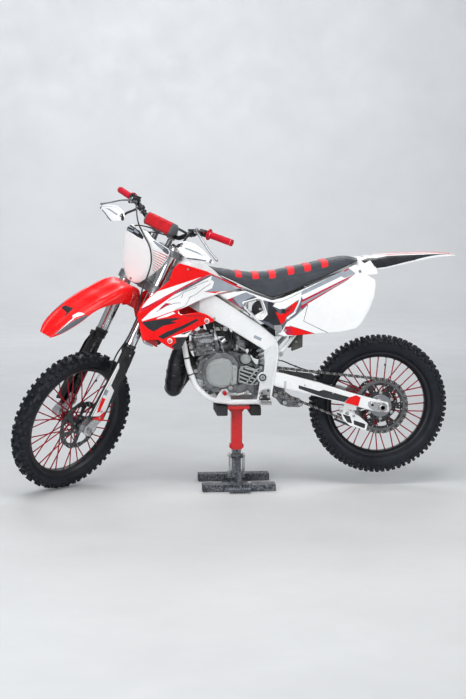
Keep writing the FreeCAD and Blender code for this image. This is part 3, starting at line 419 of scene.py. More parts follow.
    # --- turn into an object
    def make(self, name, body, mats, M=None, angle=38, replaces=(), slot=None, smooth=True, weld=True, sub=0,
             merge=0.02, wn=True, fixn=True):
        me = bpy.data.meshes.new(name)
        me.from_pydata([(x * MM, y * MM, z * MM) for x, y, z in self.v], [], self.f)
        for m in mats if isinstance(mats, (list, tuple)) else [mats]:
            me.materials.append(m)
        me.polygons.foreach_set("material_index", self.m)
        bm = bmesh.new()
        bm.from_mesh(me)
        if weld:
            bmesh.ops.remove_doubles(bm, verts=bm.verts[:], dist=merge * MM)
            bmesh.ops.dissolve_degenerate(bm, dist=0.001 * MM, edges=bm.edges[:])
        if fixn:
            bmesh.ops.recalc_face_normals(bm, faces=bm.faces[:])
        lim = math.radians(angle)
        for e in bm.edges:
            e.smooth = not (len(e.link_faces) == 2 and e.calc_face_angle(0.0) > lim)
        for f in bm.faces:
            f.smooth = smooth
        bm.to_mesh(me)
        bm.free()
        ob = bpy.data.objects.new(name, me)
        bpy.context.scene.collection.objects.link(ob)
        if M is not None:
            me.transform(M)
        if sub:
            md = ob.modifiers.new("sub", "SUBSURF")
            md.levels = md.render_levels = sub
        if wn and smooth and not sub:
            md = ob.modifiers.new("wn", "WEIGHTED_NORMAL")
            md.keep_sharp = True
        if body:
            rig.ride(ob, body)
        if replaces:
            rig.replaces(ob, *([replaces] if isinstance(replaces, str) else replaces))
        if slot:
            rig.slot(ob, slot)
        return ob


def inside(p, poly):
    x, y = p
    c = False
    n = len(poly)
    j = n - 1
    for i in range(n):
        xi, yi = poly[i]
        xj, yj = poly[j]
        if (yi > y) != (yj > y) and x < (xj - xi) * (y - yi) / (yj - yi) + xi:
            c = not c
        j = i
    return c


def cdt(outline, holes=(), layers=(), step=0.0, extra=()):
    """Triangles of an outline with holes.  layers are outlines whose borders
    the triangles keep.  Returns points, triangles, and each triangle's layer."""
    pts, edges = [], []

    def ring(poly):
        k = len(pts)
        pts.extend([Vector((float(a), float(b))) for a, b in poly])
        edges.extend([(k + i, k + (i + 1) % len(poly)) for i in range(len(poly))])
    ring(outline)
    for h in holes:
        ring(h)
    for l in layers:
        ring(l)
    for l in extra:
        k = len(pts)
        pts.extend([Vector((float(a), float(b))) for a, b in l])
        edges.extend([(k + i, k + i + 1) for i in range(len(l) - 1)])
    if step:
        xs = [p[0] for p in outline]
        zs = [p[1] for p in outline]
        nx = int((max(xs) - min(xs)) / step) + 1
        nz = int((max(zs) - min(zs)) / step) + 1
        for i in range(nx):
            for j in range(nz):
                q = (min(xs) + (i + 0.5 + (0.25 if j % 2 else -0.25)) * step, min(zs) + (j + 0.5) * step)
                if inside(q, outline):
                    pts.append(Vector(q))
    vo, eo, fo, _a, _b, _c = geometry.delaunay_2d_cdt(pts, edges, [], 0, 1e-4)
    vs = [(v.x, v.y) for v in vo]
    tris, lay = [], []
    for f in fo:
        c = (sum(vs[i][0] for i in f) / len(f), sum(vs[i][1] for i in f) / len(f))
        if not inside(c, outline) or any(inside(c, h) for h in holes):
            continue
        k = -1
        for i, l in enumerate(layers):
            if inside(c, l):
                k = i
        for i in range(1, len(f) - 1):
            t = (f[0], f[i], f[i + 1])
            ar = (vs[t[1]][0] - vs[t[0]][0]) * (vs[t[2]][1] - vs[t[0]][1]) - (vs[t[2]][0] - vs[t[0]][0]) * (vs[t[1]][1] - vs[t[0]][1])
            if abs(ar) < 1e-6:
                continue
            tris.append(t if ar > 0 else (t[0], t[2], t[1]))
            lay.append(k)
    return vs, tris, lay


def boundary(tris):
    seen = {}
    for t in tris:
        for i in range(3):
            e = (t[i], t[(i + 1) % 3])
            seen[e] = 1
    return [e for e in seen if (e[1], e[0]) not in seen]


def edge_offsets(vs, tris, ch):
    """Unit step inwards from the border for each point (zero inside)."""
    acc = {}
    for a, b in boundary(tris):
        dx, dz = vs[b][0] - vs[a][0], vs[b][1] - vs[a][1]
        n = math.hypot(dx, dz) or 1.0
        q = (-dz / n, dx / n)
        for i in (a, b):
            acc.setdefault(i, []).append(q)
    out = [(0.0, 0.0)] * len(vs)
    for i, qs in acc.items():
        sx, sz = sum(q[0] for q in qs), sum(q[1] for q in qs)
        n = math.hypot(sx, sz)
        if n < 0.2:
            continue
        k = min(2.2, 2.0 / n)
        out[i] = (sx / n * k * 0.9, sz / n * k * 0.9)
    return out


def rnd(poly, r, seg=5):
    """Rounds an outline's corners; r is one radius or one per corner."""
    n = len(poly)
    rr = r if isinstance(r, (list, tuple)) else [r] * n
    out = []
    for i in range(n):
        a, b, c = Vector(poly[i - 1]), Vector(poly[i]), Vector(poly[(i + 1) % n])
        if rr[i] <= 0:
            out.append((b.x, b.y))
            continue
        u, w = a - b, c - b
        lu, lw = u.length, w.length
        if lu < 1e-6 or lw < 1e-6:
            continue
        u, w = u / lu, w / lw
        ang = math.acos(max(-1, min(1, u.dot(w))))
        if ang > math.pi - 0.03:
            out.append((b.x, b.y))
            continue
        d = min(rr[i] / math.tan(ang / 2), 0.48 * lu, 0.48 * lw)
        p0, p2 = b + u * d, b + w * d
        for k in range(seg + 1):
            t = k / seg
            q = p0 * (1 - t) ** 2 + b * 2 * t * (1 - t) + p2 * t * t
            out.append((q.x, q.y))
    return out


def spline2(pts, sub=5, closed=True):
    """Smooth closed outline through points."""
    n = len(pts)
    P = [Vector(p) for p in pts]
    out = []
    for i in range(n if closed else n - 1):
        p0 = P[(i - 1) % n] if closed else P[max(0, i - 1)]
        p1, p2 = P[i], P[(i + 1) % n]
        p3 = P[(i + 2) % n] if closed else P[min(n - 1, i + 2)]
        for k in range(sub):
            t = k / sub
            q = 0.5 * ((2 * p1) + (p2 - p0) * t + (2 * p0 - 5 * p1 + 4 * p2 - p3) * t * t + (3 * p1 - p0 - 3 * p2 + p3) * t ** 3)
            out.append((q.x, q.y))
    if not closed:
        out.append((P[-1].x, P[-1].y))
    return out


def dist_to(p, poly):
    x, z = p
    best = 1e9
    n = len(poly)
    for i in range(n):
        ax, az = poly[i]
        bx, bz = poly[(i + 1) % n]
        dx, dz = bx - ax, bz - az
        l2 = dx * dx + dz * dz
        t = 0 if l2 < 1e-12 else max(0, min(1, ((x - ax) * dx + (z - az) * dz) / l2))
        d = math.hypot(x - ax - t * dx, z - az - t * dz)
        best = min(best, d)
    return best


def inset(poly, d):
    vs = [tuple(p) for p in poly]
    n = len(vs)
    area = sum(vs[i][0] * vs[(i + 1) % n][1] - vs[(i + 1) % n][0] * vs[i][1] for i in range(n))
    sg = 1 if area > 0 else -1
    out = []
    for i in range(n):
        a, b, c = vs[i - 1], vs[i], vs[(i + 1) % n]
        e1 = Vector((b[0] - a[0], b[1] - a[1]))
        e2 = Vector((c[0] - b[0], c[1] - b[1]))
        if e1.length < 1e-9 or e2.length < 1e-9:
            continue
        e1.normalize()
        e2.normalize()
        nn = Vector((-e1.y - e2.y, e1.x + e2.x)) * sg
        if nn.length < 0.3:
            continue
        nn.normalize()
        k = min(2.0, 1.0 / max(0.35, nn.dot(Vector((-e1.y, e1.x)) * sg)))
        out.append((b[0] + nn.x * d * k, b[1] + nn.y * d * k))
    return out


def panel(mesh, outline, surf, th=3.0, layers=(), holes=(), step=14.0, roll=(2.2, 1.6), base=0, back=0, T=None, flip=False,
          extra=()):
    """Moulded panel: outline and coloured layers [(outline, material)] in a
    plane, carried to space by surf(x, z, depth), depth measured behind it."""
    ins = inset(outline, roll[0])
    ins = [p for p in ins if inside(p, outline) and dist_to(p, outline) > roll[0] * 0.55]
    vs, tris, lay = cdt(outline, holes, [l[0] for l in layers], step, list(extra) + ([ins + [ins[0]]] if len(ins) > 2 else []))
    n = len(vs)
    bd = boundary(tris)
    rim = set(i for e in bd for i in e)
    borders = [outline] + list(holes)
    front, backv = [], []
    for i, p in enumerate(vs):
        d = min(dist_to(p, b) for b in borders)
        drop = 0.0
        if d < roll[0]:
            k = 1 - d / roll[0]
            drop = roll[1] * (1 - math.sqrt(max(0.0, 1 - k * k)))
        front.append(surf(p[0], p[1], drop))
        backv.append(surf(p[0], p[1], max(th, roll[1] + 0.4)))
    verts = front + backv
    mats = [m for _l, m in layers]
    fs, ms = [], []
    for t, k in zip(tris, lay):
        fs.append(t if not flip else (t[0], t[2], t[1]))
        ms.append(mats[k] if k >= 0 else base)
    for t in tris:
        q = (t[0] + n, t[2] + n, t[1] + n)
        fs.append(q if not flip else (q[0], q[2], q[1]))
        ms.append(back)
    for a, b in bd:
        q = (b, a, a + n, b + n)
        fs.append(q if not flip else q[::-1])
        ms.append(base)
    used = sorted(set(i for f in fs for i in f))
    mp = {i: j for j, i in enumerate(used)}
    mesh.add([verts[i] for i in used], [tuple(mp[i] for i in f) for f in fs], ms, T)
    return mesh


def grid_surf(mesh, rows, mat=0, closed=False, flip=False):
    """Surface from rows of points of equal length."""
    n = len(rows[0])
    vs = [p for r in rows for p in r]
    fs = []
    for i in range(len(rows) - 1):
        for j in range(n if closed else n - 1):
            j2 = (j + 1) % n
            q = (i * n + j, i * n + j2, (i + 1) * n + j2, (i + 1) * n + j)
            fs.append(q[::-1] if flip else q)
    mesh.add(vs, fs, mat)
    return mesh


# --------------------------------------------------------------- materials
def material(name, col, rough=0.4, metal=0.0, coat=0.0, coat_rough=0.08, var=0.10, vs=9.0, rv=0.25, bump=0.15, bs=260.0,
             bd=0.4, wear=0.0, wear_col=(0.6, 0.6, 0.6), dirt=0.0, dirt_col=(0.16, 0.13, 0.10), streak=None, sheen=0.0,
             spec=0.5, second=None, pattern=None, trans=0.0, sss=0.0, aniso=0.0):
    """Node material: colour clouding, dirt, worn edges, uneven roughness and
    a fine bump, all from object coordinates."""
    mt = bpy.data.materials.new(name)
    mt.use_nodes = True
    nt = mt.node_tree
    ns, ln = nt.nodes, nt.links
    bs_ = ns["Principled BSDF"]
    tc = ns.new("ShaderNodeTexCoord")
    co = tc.outputs["Object"]
    if streak:
        mp = ns.new("ShaderNodeMapping")
        mp.inputs["Scale"].default_value = streak
        ln.new(co, mp.inputs["Vector"])
        sco = mp.outputs["Vector"]
    else:
        sco = co

    def noise(scale, det=3.0, src=None, rgh=0.55):
        t = ns.new("ShaderNodeTexNoise")
        t.inputs["Scale"].default_value = scale
        t.inputs["Detail"].default_value = det
        t.inputs["Roughness"].default_value = rgh
        ln.new(src or co, t.inputs["Vector"])
        return t.outputs["Fac"]

    def remap(src, a, b, c, d):
        t = ns.new("ShaderNodeMapRange")
        t.inputs["From Min"].default_value = a
        t.inputs["From Max"].default_value = b
        t.inputs["To Min"].default_value = c
        t.inputs["To Max"].default_value = d
        ln.new(src, t.inputs["Value"])
        return t.outputs["Result"]

    def mix(fac, a, b):
        t = ns.new("ShaderNodeMix")
        t.data_type = "RGBA"
        if isinstance(fac, float):
            t.inputs["Factor"].default_value = fac
        else:
            ln.new(fac, t.inputs["Factor"])
        for sock, q in ((t.inputs["A"], a), (t.inputs["B"], b)):
            if isinstance(q, (tuple, list)):
                sock.default_value = (*q[:3], 1.0)
            else:
                ln.new(q, sock)
        return t.outputs["Result"]

    lo = tuple(c * (1 - var) for c in col)
    hi = tuple(min(1.0, c * (1 + var * 0.6) + var * 0.012) for c in col)
    c = mix(remap(noise(vs, 4.0, sco), 0.32, 0.68, 0.0, 1.0), lo, hi)
    if second:  # second colour in blotches: (colour, scale, from, to)
        c = mix(remap(noise(second[1], 5.0), second[2], second[3], 0.0, 1.0), c, second[0])
    if dirt > 0:
        d = remap(noise(vs * 2.7, 6.0, rgh=0.7), 0.50, 0.78, 0.0, dirt)
        c = mix(d, c, dirt_col)
    if wear > 0:
        g = ns.new("ShaderNodeNewGeometry")
        w0 = remap(g.outputs["Pointiness"], 0.53, 0.60, 0.0, 1.0)
        w1 = remap(noise(120.0, 4.0), 0.42, 0.62, 0.0, wear)
        mm = ns.new("ShaderNodeMath")
        mm.operation = "MULTIPLY"
        ln.new(w0, mm.inputs[0])
        ln.new(w1, mm.inputs[1])
        c = mix(mm.outputs[0], c, wear_col)
    ln.new(c, bs_.inputs["Base Color"])
    ln.new(remap(noise(vs * 3.1, 4.0, sco), 0.3, 0.7, rough * (1 - rv), min(1.0, rough * (1 + rv))), bs_.inputs["Roughness"])
    bs_.inputs["Metallic"].default_value = metal
    bs_.inputs["Coat Weight"].default_value = coat
    bs_.inputs["Coat Roughness"].default_value = coat_rough
    bs_.inputs["Specular IOR Level"].default_value = spec
    if aniso:
        bs_.inputs["Anisotropic"].default_value = aniso
    if sheen:
        bs_.inputs["Sheen Weight"].default_value = sheen
        bs_.inputs["Sheen Roughness"].default_value = 0.5
    if sss:
        bs_.inputs["Subsurface Weight"].default_value = sss
        bs_.inputs["Subsurface Radius"].default_value = (0.02, 0.015, 0.01)
        bs_.inputs["Subsurface Scale"].default_value = 0.3
    h = noise(bs, 5.0, sco)
    if pattern == "weave":
        hs = []
        for ax in (0, 1):
            wv = ns.new("ShaderNodeTexWave")
            wv.wave_type = "BANDS"
            wv.bands_direction = "X" if ax == 0 else "Y"
            wv.inputs["Scale"].default_value = 260.0
            wv.inputs["Distortion"].default_value = 0.6
            ln.new(co, wv.inputs["Vector"])
            hs.append(wv.outputs["Fac"])
        m2 = ns.new("ShaderNodeMath")
        m2.operation = "ADD"
        ln.new(hs[0], m2.inputs[0])
        ln.new(hs[1], m2.inputs[1])
        m3 = ns.new("ShaderNodeMath")
        m3.operation = "ADD"
        ln.new(m2.outputs[0], m3.inputs[0])
        ln.new(h, m3.inputs[1])
        h = m3.outputs[0]
    elif pattern == "dots":
        vo = ns.new("ShaderNodeTexVoronoi")
        vo.inputs["Scale"].default_value = 420.0
        vo.inputs["Randomness"].default_value = 0.35
        ln.new(co, vo.inputs["Vector"])
        h = remap(vo.outputs["Distance"], 0.1, 0.55, 1.0, 0.0)
    elif pattern == "cast":
        vo = ns.new("ShaderNodeTexVoronoi")
        vo.inputs["Scale"].default_value = 900.0
        ln.new(co, vo.inputs["Vector"])
        m3 = ns.new("ShaderNodeMath")
        m3.operation = "ADD"
        ln.new(h, m3.inputs[0])
        ln.new(vo.outputs["Distance"], m3.inputs[1])
        h = m3.outputs[0]
    b = ns.new("ShaderNodeBump")
    b.inputs["Strength"].default_value = bump
    b.inputs["Distance"].default_value = bd * MM
    ln.new(h, b.inputs["Height"])
    ln.new(b.outputs["Normal"], bs_.inputs["Normal"])
    mt.diffuse_color = (*col, 1.0)
    return mt


RED = material("red_shell", (0.80, 0.003, 0.004), spec=0.28, rough=0.30, coat=0.16, var=0.07, vs=5, bump=0.05, bs=90, bd=0.3, dirt=0.05)
CRIMSON = material("crimson_film", (0.50, 0.004, 0.040), rough=0.25, coat=0.5, var=0.08, vs=6, bump=0.05, bs=90, dirt=0.04)
# dark red, used in the graphics and as painted shade: the shrouds' lower scoop is drawn in it as a shaded copy of the
# red shell
DARKRED = material("dark_red_shell", (0.33, 0.006, 0.010), rough=0.3, coat=0.3, var=0.12, vs=7, bump=0.06, bs=90, dirt=0.06)
WHITE = material("white_shell", (0.86, 0.87, 0.88), rough=0.26, coat=0.4, var=0.035, vs=5, bump=0.04, bs=80, bd=0.3, dirt=0.04,
                 dirt_col=(0.42, 0.40, 0.37))
WFILM = material("white_film", (0.88, 0.885, 0.89), rough=0.22, coat=0.5, var=0.03, vs=6, bump=0.04, bs=80, bd=0.3, dirt=0.03,
                 dirt_col=(0.45, 0.42, 0.40))
GREYFILM = material("grey_film", (0.098, 0.108, 0.135), rough=0.30, coat=0.4, var=0.14, vs=9, bump=0.05, bs=90, dirt=0.06)
LGREY = material("light_grey_film", (0.30, 0.34, 0.385), rough=0.3, coat=0.4, var=0.12, vs=9, bump=0.05, bs=90, dirt=0.05)
BLKFILM = material("black_film", (0.014, 0.016, 0.021), rough=0.28, coat=0.4, var=0.25, vs=9, bump=0.05, bs=90, dirt=0.05)
BLACKP = material("black_moulding", (0.020, 0.021, 0.024), spec=0.35, rough=0.52, var=0.3, vs=14, bump=0.35, bs=700, bd=0.25, dirt=0.12,
                  wear=0.3, wear_col=(0.10, 0.10, 0.10))
RUBBER = material("rubber", (0.022, 0.023, 0.026), spec=0.30, rough=0.68, var=0.3, vs=18, bump=0.35, bs=500, bd=0.3, dirt=0.14,
                  dirt_col=(0.10, 0.09, 0.08))
TYRE = material("tyre_rubber", (0.0115, 0.0135, 0.0190), spec=0.15, rough=0.58, var=0.35, vs=22, bump=0.6, bs=330, bd=0.5, dirt=0.28,
                dirt_col=(0.055, 0.055, 0.058), wear=0.35, wear_col=(0.07, 0.072, 0.078))
SIDEWALL = material("tyre_sidewall", (0.0100, 0.0125, 0.0180), spec=0.19, rough=0.46, var=0.3, vs=10, bump=0.3, bs=260, bd=0.3, dirt=0.16,
                    dirt_col=(0.05, 0.05, 0.055))
FRAMEW = material("white_enamel", (0.84, 0.85, 0.86), rough=0.24, coat=0.45, var=0.04, vs=6, bump=0.06, bs=60, bd=0.3,
                  dirt=0.10, dirt_col=(0.36, 0.34, 0.31), wear=0.25, wear_col=(0.55, 0.55, 0.56))
FRAMEC = material("casting_enamel", (0.70, 0.715, 0.73), rough=0.30, coat=0.35, var=0.08, vs=9, bump=0.2, bs=240, bd=0.4,
                  dirt=0.22, dirt_col=(0.36, 0.35, 0.34), wear=0.3, wear_col=(0.6, 0.6, 0.6))
FRAMEG = material("cast_frame_enamel", (0.56, 0.58, 0.60), rough=0.36, coat=0.3, var=0.14, vs=10, bump=0.25, bs=240, bd=0.4,
                  dirt=0.30, dirt_col=(0.22, 0.21, 0.20), wear=0.3, wear_col=(0.5, 0.5, 0.5))
CAST = material("cast_alloy", (0.22, 0.228, 0.238), rough=0.40, metal=0.85, var=0.35, vs=16, bump=0.5, bs=420, bd=0.5, dirt=0.75,
                dirt_col=(0.022, 0.021, 0.021), pattern="cast", wear=0.3, wear_col=(0.75, 0.75, 0.76))
COVER = material("painted_cover", (0.35, 0.375, 0.375), rough=0.46, metal=0.25, var=0.10, vs=14, bump=0.35, bs=380, bd=0.4,
                 dirt=0.16, dirt_col=(0.14, 0.14, 0.13), pattern="cast", wear=0.4, wear_col=(0.65, 0.66, 0.67))
ALLOY = material("machined_alloy", (0.66, 0.67, 0.69), rough=0.26, metal=1.0, var=0.08, vs=20, bump=0.12, bs=500, bd=0.2,
                 dirt=0.16, dirt_col=(0.20, 0.19, 0.18))
FORKAL = material("polished_tube", (0.74, 0.75, 0.76), rough=0.13, metal=1.0, var=0.05, vs=3, bump=0.12, bs=30, bd=0.15,
                  streak=(60.0, 60.0, 0.8), rv=0.5)
STEEL = material("zinc_steel", (0.56, 0.56, 0.56), rough=0.32, metal=1.0, var=0.15, vs=30, bump=0.2, bs=600, bd=0.2, dirt=0.30,
                 dirt_col=(0.14, 0.12, 0.10))
CHAINM = material("chain_steel", (0.10, 0.095, 0.09), rough=0.36, metal=1.0, var=0.3, vs=60, bump=0.2, bs=700, bd=0.2, dirt=0.5,
                  dirt_col=(0.055, 0.048, 0.042))
DARKMET = material("dark_steel", (0.055, 0.057, 0.062), rough=0.40, metal=0.7, var=0.3, vs=30, bump=0.25, bs=500, bd=0.25,
                   dirt=0.2, wear=0.4, wear_col=(0.3, 0.3, 0.3))
BLKALU = material("black_anodised", (0.020, 0.021, 0.025), rough=0.34, metal=0.55, var=0.2, vs=18, bump=0.12, bs=400, bd=0.2,
                  dirt=0.10, wear=0.35, wear_col=(0.35, 0.35, 0.36))
RIMBLK = material("rim_anodised", (0.0155, 0.017, 0.022), rough=0.36, metal=0.45, var=0.2, vs=14, bump=0.10, bs=260, bd=0.2,
                  dirt=0.12, dirt_col=(0.06, 0.06, 0.06), wear=0.3, wear_col=(0.25, 0.25, 0.26))
SPOKER = material("red_spoke", (0.34, 0.002, 0.014), spec=0.2, rough=0.38, metal=0.0, coat=0.1, var=0.10, vs=40, bump=0.08, bs=500,
                  bd=0.1, dirt=0.08)
GRIPR = material("grip_rubber", (0.56, 0.002, 0.020), spec=0.12, rough=0.42, var=0.10, vs=20, bump=0.35, bs=700, bd=0.25, dirt=0.08,
                 sheen=0.15)
PADR = material("pad_cloth_red", (0.54, 0.003, 0.010), spec=0.08, rough=0.55, var=0.10, vs=20, bump=0.5, bs=500, bd=0.25, dirt=0.05,
                pattern="weave", sheen=0.3)
PADG = material("pad_cloth_grey", (0.075, 0.08, 0.09), rough=0.6, var=0.15, vs=20, bump=0.5, bs=500, bd=0.25, pattern="weave",
                sheen=0.3)
PIPEB = material("pipe_black", (0.016, 0.018, 0.023), rough=0.30, metal=0.6, coat=0.2, var=0.35, vs=12, bump=0.2, bs=160, bd=0.3,
                 dirt=0.25, dirt_col=(0.06, 0.055, 0.05), second=((0.05, 0.052, 0.06), 9.0, 0.55, 0.75))
SEATC = material("seat_gripper", (0.034, 0.040, 0.052), spec=0.30, rough=0.64, var=0.14, vs=11, bump=0.75, bs=300, bd=0.35, dirt=0.05,
                 pattern="dots", sheen=0.25)
SEATR = material("seat_rib_red", (0.72, 0.008, 0.016), spec=0.20, rough=0.5, var=0.10, vs=14, bump=0.6, bs=300, bd=0.3, pattern="dots",
                 sheen=0.2)
STANDR = material("stand_red", (0.72, 0.004, 0.006), rough=0.36, coat=0.35, var=0.10, vs=7, bump=0.12, bs=70, bd=0.4, dirt=0.05,
                  wear=0.5, wear_col=(0.12, 0.03, 0.03))
STANDB = material("stand_dark", (0.017, 0.022, 0.032), spec=0.22, rough=0.46, coat=0.05, var=0.16, vs=8, bump=0.25, bs=120, bd=0.4,
                  dirt=0.3, dirt_col=(0.11, 0.11, 0.11), wear=0.7, wear_col=(0.28, 0.29, 0.31))
POSTG = material("stand_post", (0.12, 0.15, 0.18), rough=0.38, metal=0.4, coat=0.2, var=0.25, vs=9, bump=0.2, bs=140, bd=0.3,
                 dirt=0.3, dirt_col=(0.05, 0.05, 0.055), wear=0.4)
NATURAL = material("natural_plastic", (0.60, 0.565, 0.49), rough=0.42, var=0.12, vs=9, bump=0.25, bs=200, bd=0.3, dirt=0.25,
                   dirt_col=(0.30, 0.26, 0.20), sss=0.15)
HOSE = material("hose_rubber", (0.018, 0.019, 0.022), rough=0.5, var=0.2, vs=30, bump=0.2, bs=500, bd=0.15, dirt=0.1)
FLAP = material("flap_rubber", (0.085, 0.088, 0.078), rough=0.75, var=0.25, vs=16, bump=0.4, bs=400, bd=0.3, dirt=0.5,
                dirt_col=(0.16, 0.15, 0.12))
FOAM = material("filter_foam", (0.42, 0.41, 0.33), rough=0.85, var=0.25, vs=60, bump=0.9, bs=700, bd=0.6)
BRASS = material("brass", (0.55, 0.38, 0.12), rough=0.35, metal=1.0, var=0.2, vs=40, bump=0.2, bs=400, bd=0.2, dirt=0.2)
RADAL = material("radiator_alloy", (0.50, 0.51, 0.52), rough=0.40, metal=0.9, var=0.15, vs=20, bump=0.3, bs=300, bd=0.3, dirt=0.3)
# number-plate white: a brighter, faintly cyan copy of the white shell, painted light standing in for the strong lamp on
# the plate and cancelling the pink bounce off the red fender
PLATE_LIT_WHITE = material("plate_white_painted_light", (0.93, 0.955, 0.955), spec=0.35, rough=0.34, var=0.02, vs=5, bump=0.04, bs=80, bd=0.3, dirt=0.02)
BRKT = material("footpeg_casting", (0.44, 0.45, 0.46), rough=0.42, metal=0.8, var=0.3, vs=22, bump=0.4, bs=380, bd=0.4, dirt=0.5)
LEVERM = material("lever_alloy", (0.34, 0.35, 0.37), rough=0.34, metal=0.9, var=0.12, vs=20, bump=0.15, bs=400, bd=0.2, dirt=0.2)
SPRKM = material("sprocket_steel", (0.20, 0.20, 0.205), rough=0.38, metal=0.95, var=0.25, vs=34, bump=0.25, bs=500, bd=0.25, dirt=0.5)
REDAN = material("red_anodised", (0.60, 0.008, 0.014), rough=0.25, metal=0.6, var=0.08, vs=20, bump=0.05, bs=300)
BLUEG = material("blue_grey_film", (0.30, 0.36, 0.43), rough=0.3, coat=0.4, var=0.15, vs=12, bump=0.05, bs=90)


def paint(node, *mats):
    """Material for a CAD node that is kept."""
    ob = NODES[node]
    ob.data.materials.clear()
    for m in mats:
        ob.data.materials.append(m)
    return ob


# ------------------------------------------------------------------ wheels
def section_curve(pts, n=80):
    """Evenly spaced (y, r) points along a smooth line, with outward normals."""
    q = spline2(pts, 8, closed=False)
    d = [0.0]
    for i in range(1, len(q)):
        d.append(d[-1] + math.hypot(q[i][0] - q[i - 1][0], q[i][1] - q[i - 1][1]))

    def at(w):
        s = abs(w)
        i = 1
        while i < len(q) - 1 and d[i] < s:
            i += 1
        t = (s - d[i - 1]) / max(1e-6, d[i] - d[i - 1])
        y = q[i - 1][0] + (q[i][0] - q[i - 1][0]) * t
        r = q[i - 1][1] + (q[i][1] - q[i - 1][1]) * t
        ty, tr = q[i][0] - q[i - 1][0], q[i][1] - q[i - 1][1]
        k = math.hypot(ty, tr)
        ny, nr = -tr / k, ty / k
        sg = 1 if w >= 0 else -1
        return (y * sg, r, ny * sg, nr)
    return at


def knob(m, at, R, s0, w0, ls, lw, h, skew=0.0, mat=0, lean=0.0, cut=0.0):
    """Block standing on the tread: s along the rim, w across it."""
    foot = [(-0.5, -0.5 + 0.14), (-0.5 + 0.12, -0.5), (0.5 - 0.12, -0.5), (0.5, -0.5 + 0.14), (0.5, 0.5 - 0.14), (0.5 - 0.12, 0.5),
            (-0.5 + 0.12, 0.5), (-0.5, 0.5 - 0.14)]
    rings = []
    for hh, k in ((-1.5, 1.12), (1.2, 1.02), (h - 0.9, 0.93), (h, 0.85)):
        ring = []
        for a, b in foot:
            w = w0 + b * lw * k
            s = s0 + a * ls * k * (1 - cut * (b + 0.5) * (1 if w0 >= 0 else 0) - cut * (0.5 - b) * (0 if w0 >= 0 else 1)) + skew * (w - w0)
            y, r, ny, nr = at(w)
            y += ny * hh
            r += nr * hh
            an = s / R
            ring.append((r * math.cos(an), y, r * math.sin(an)))
        rings.append(ring)
    m.ring_loft(rings, mat)


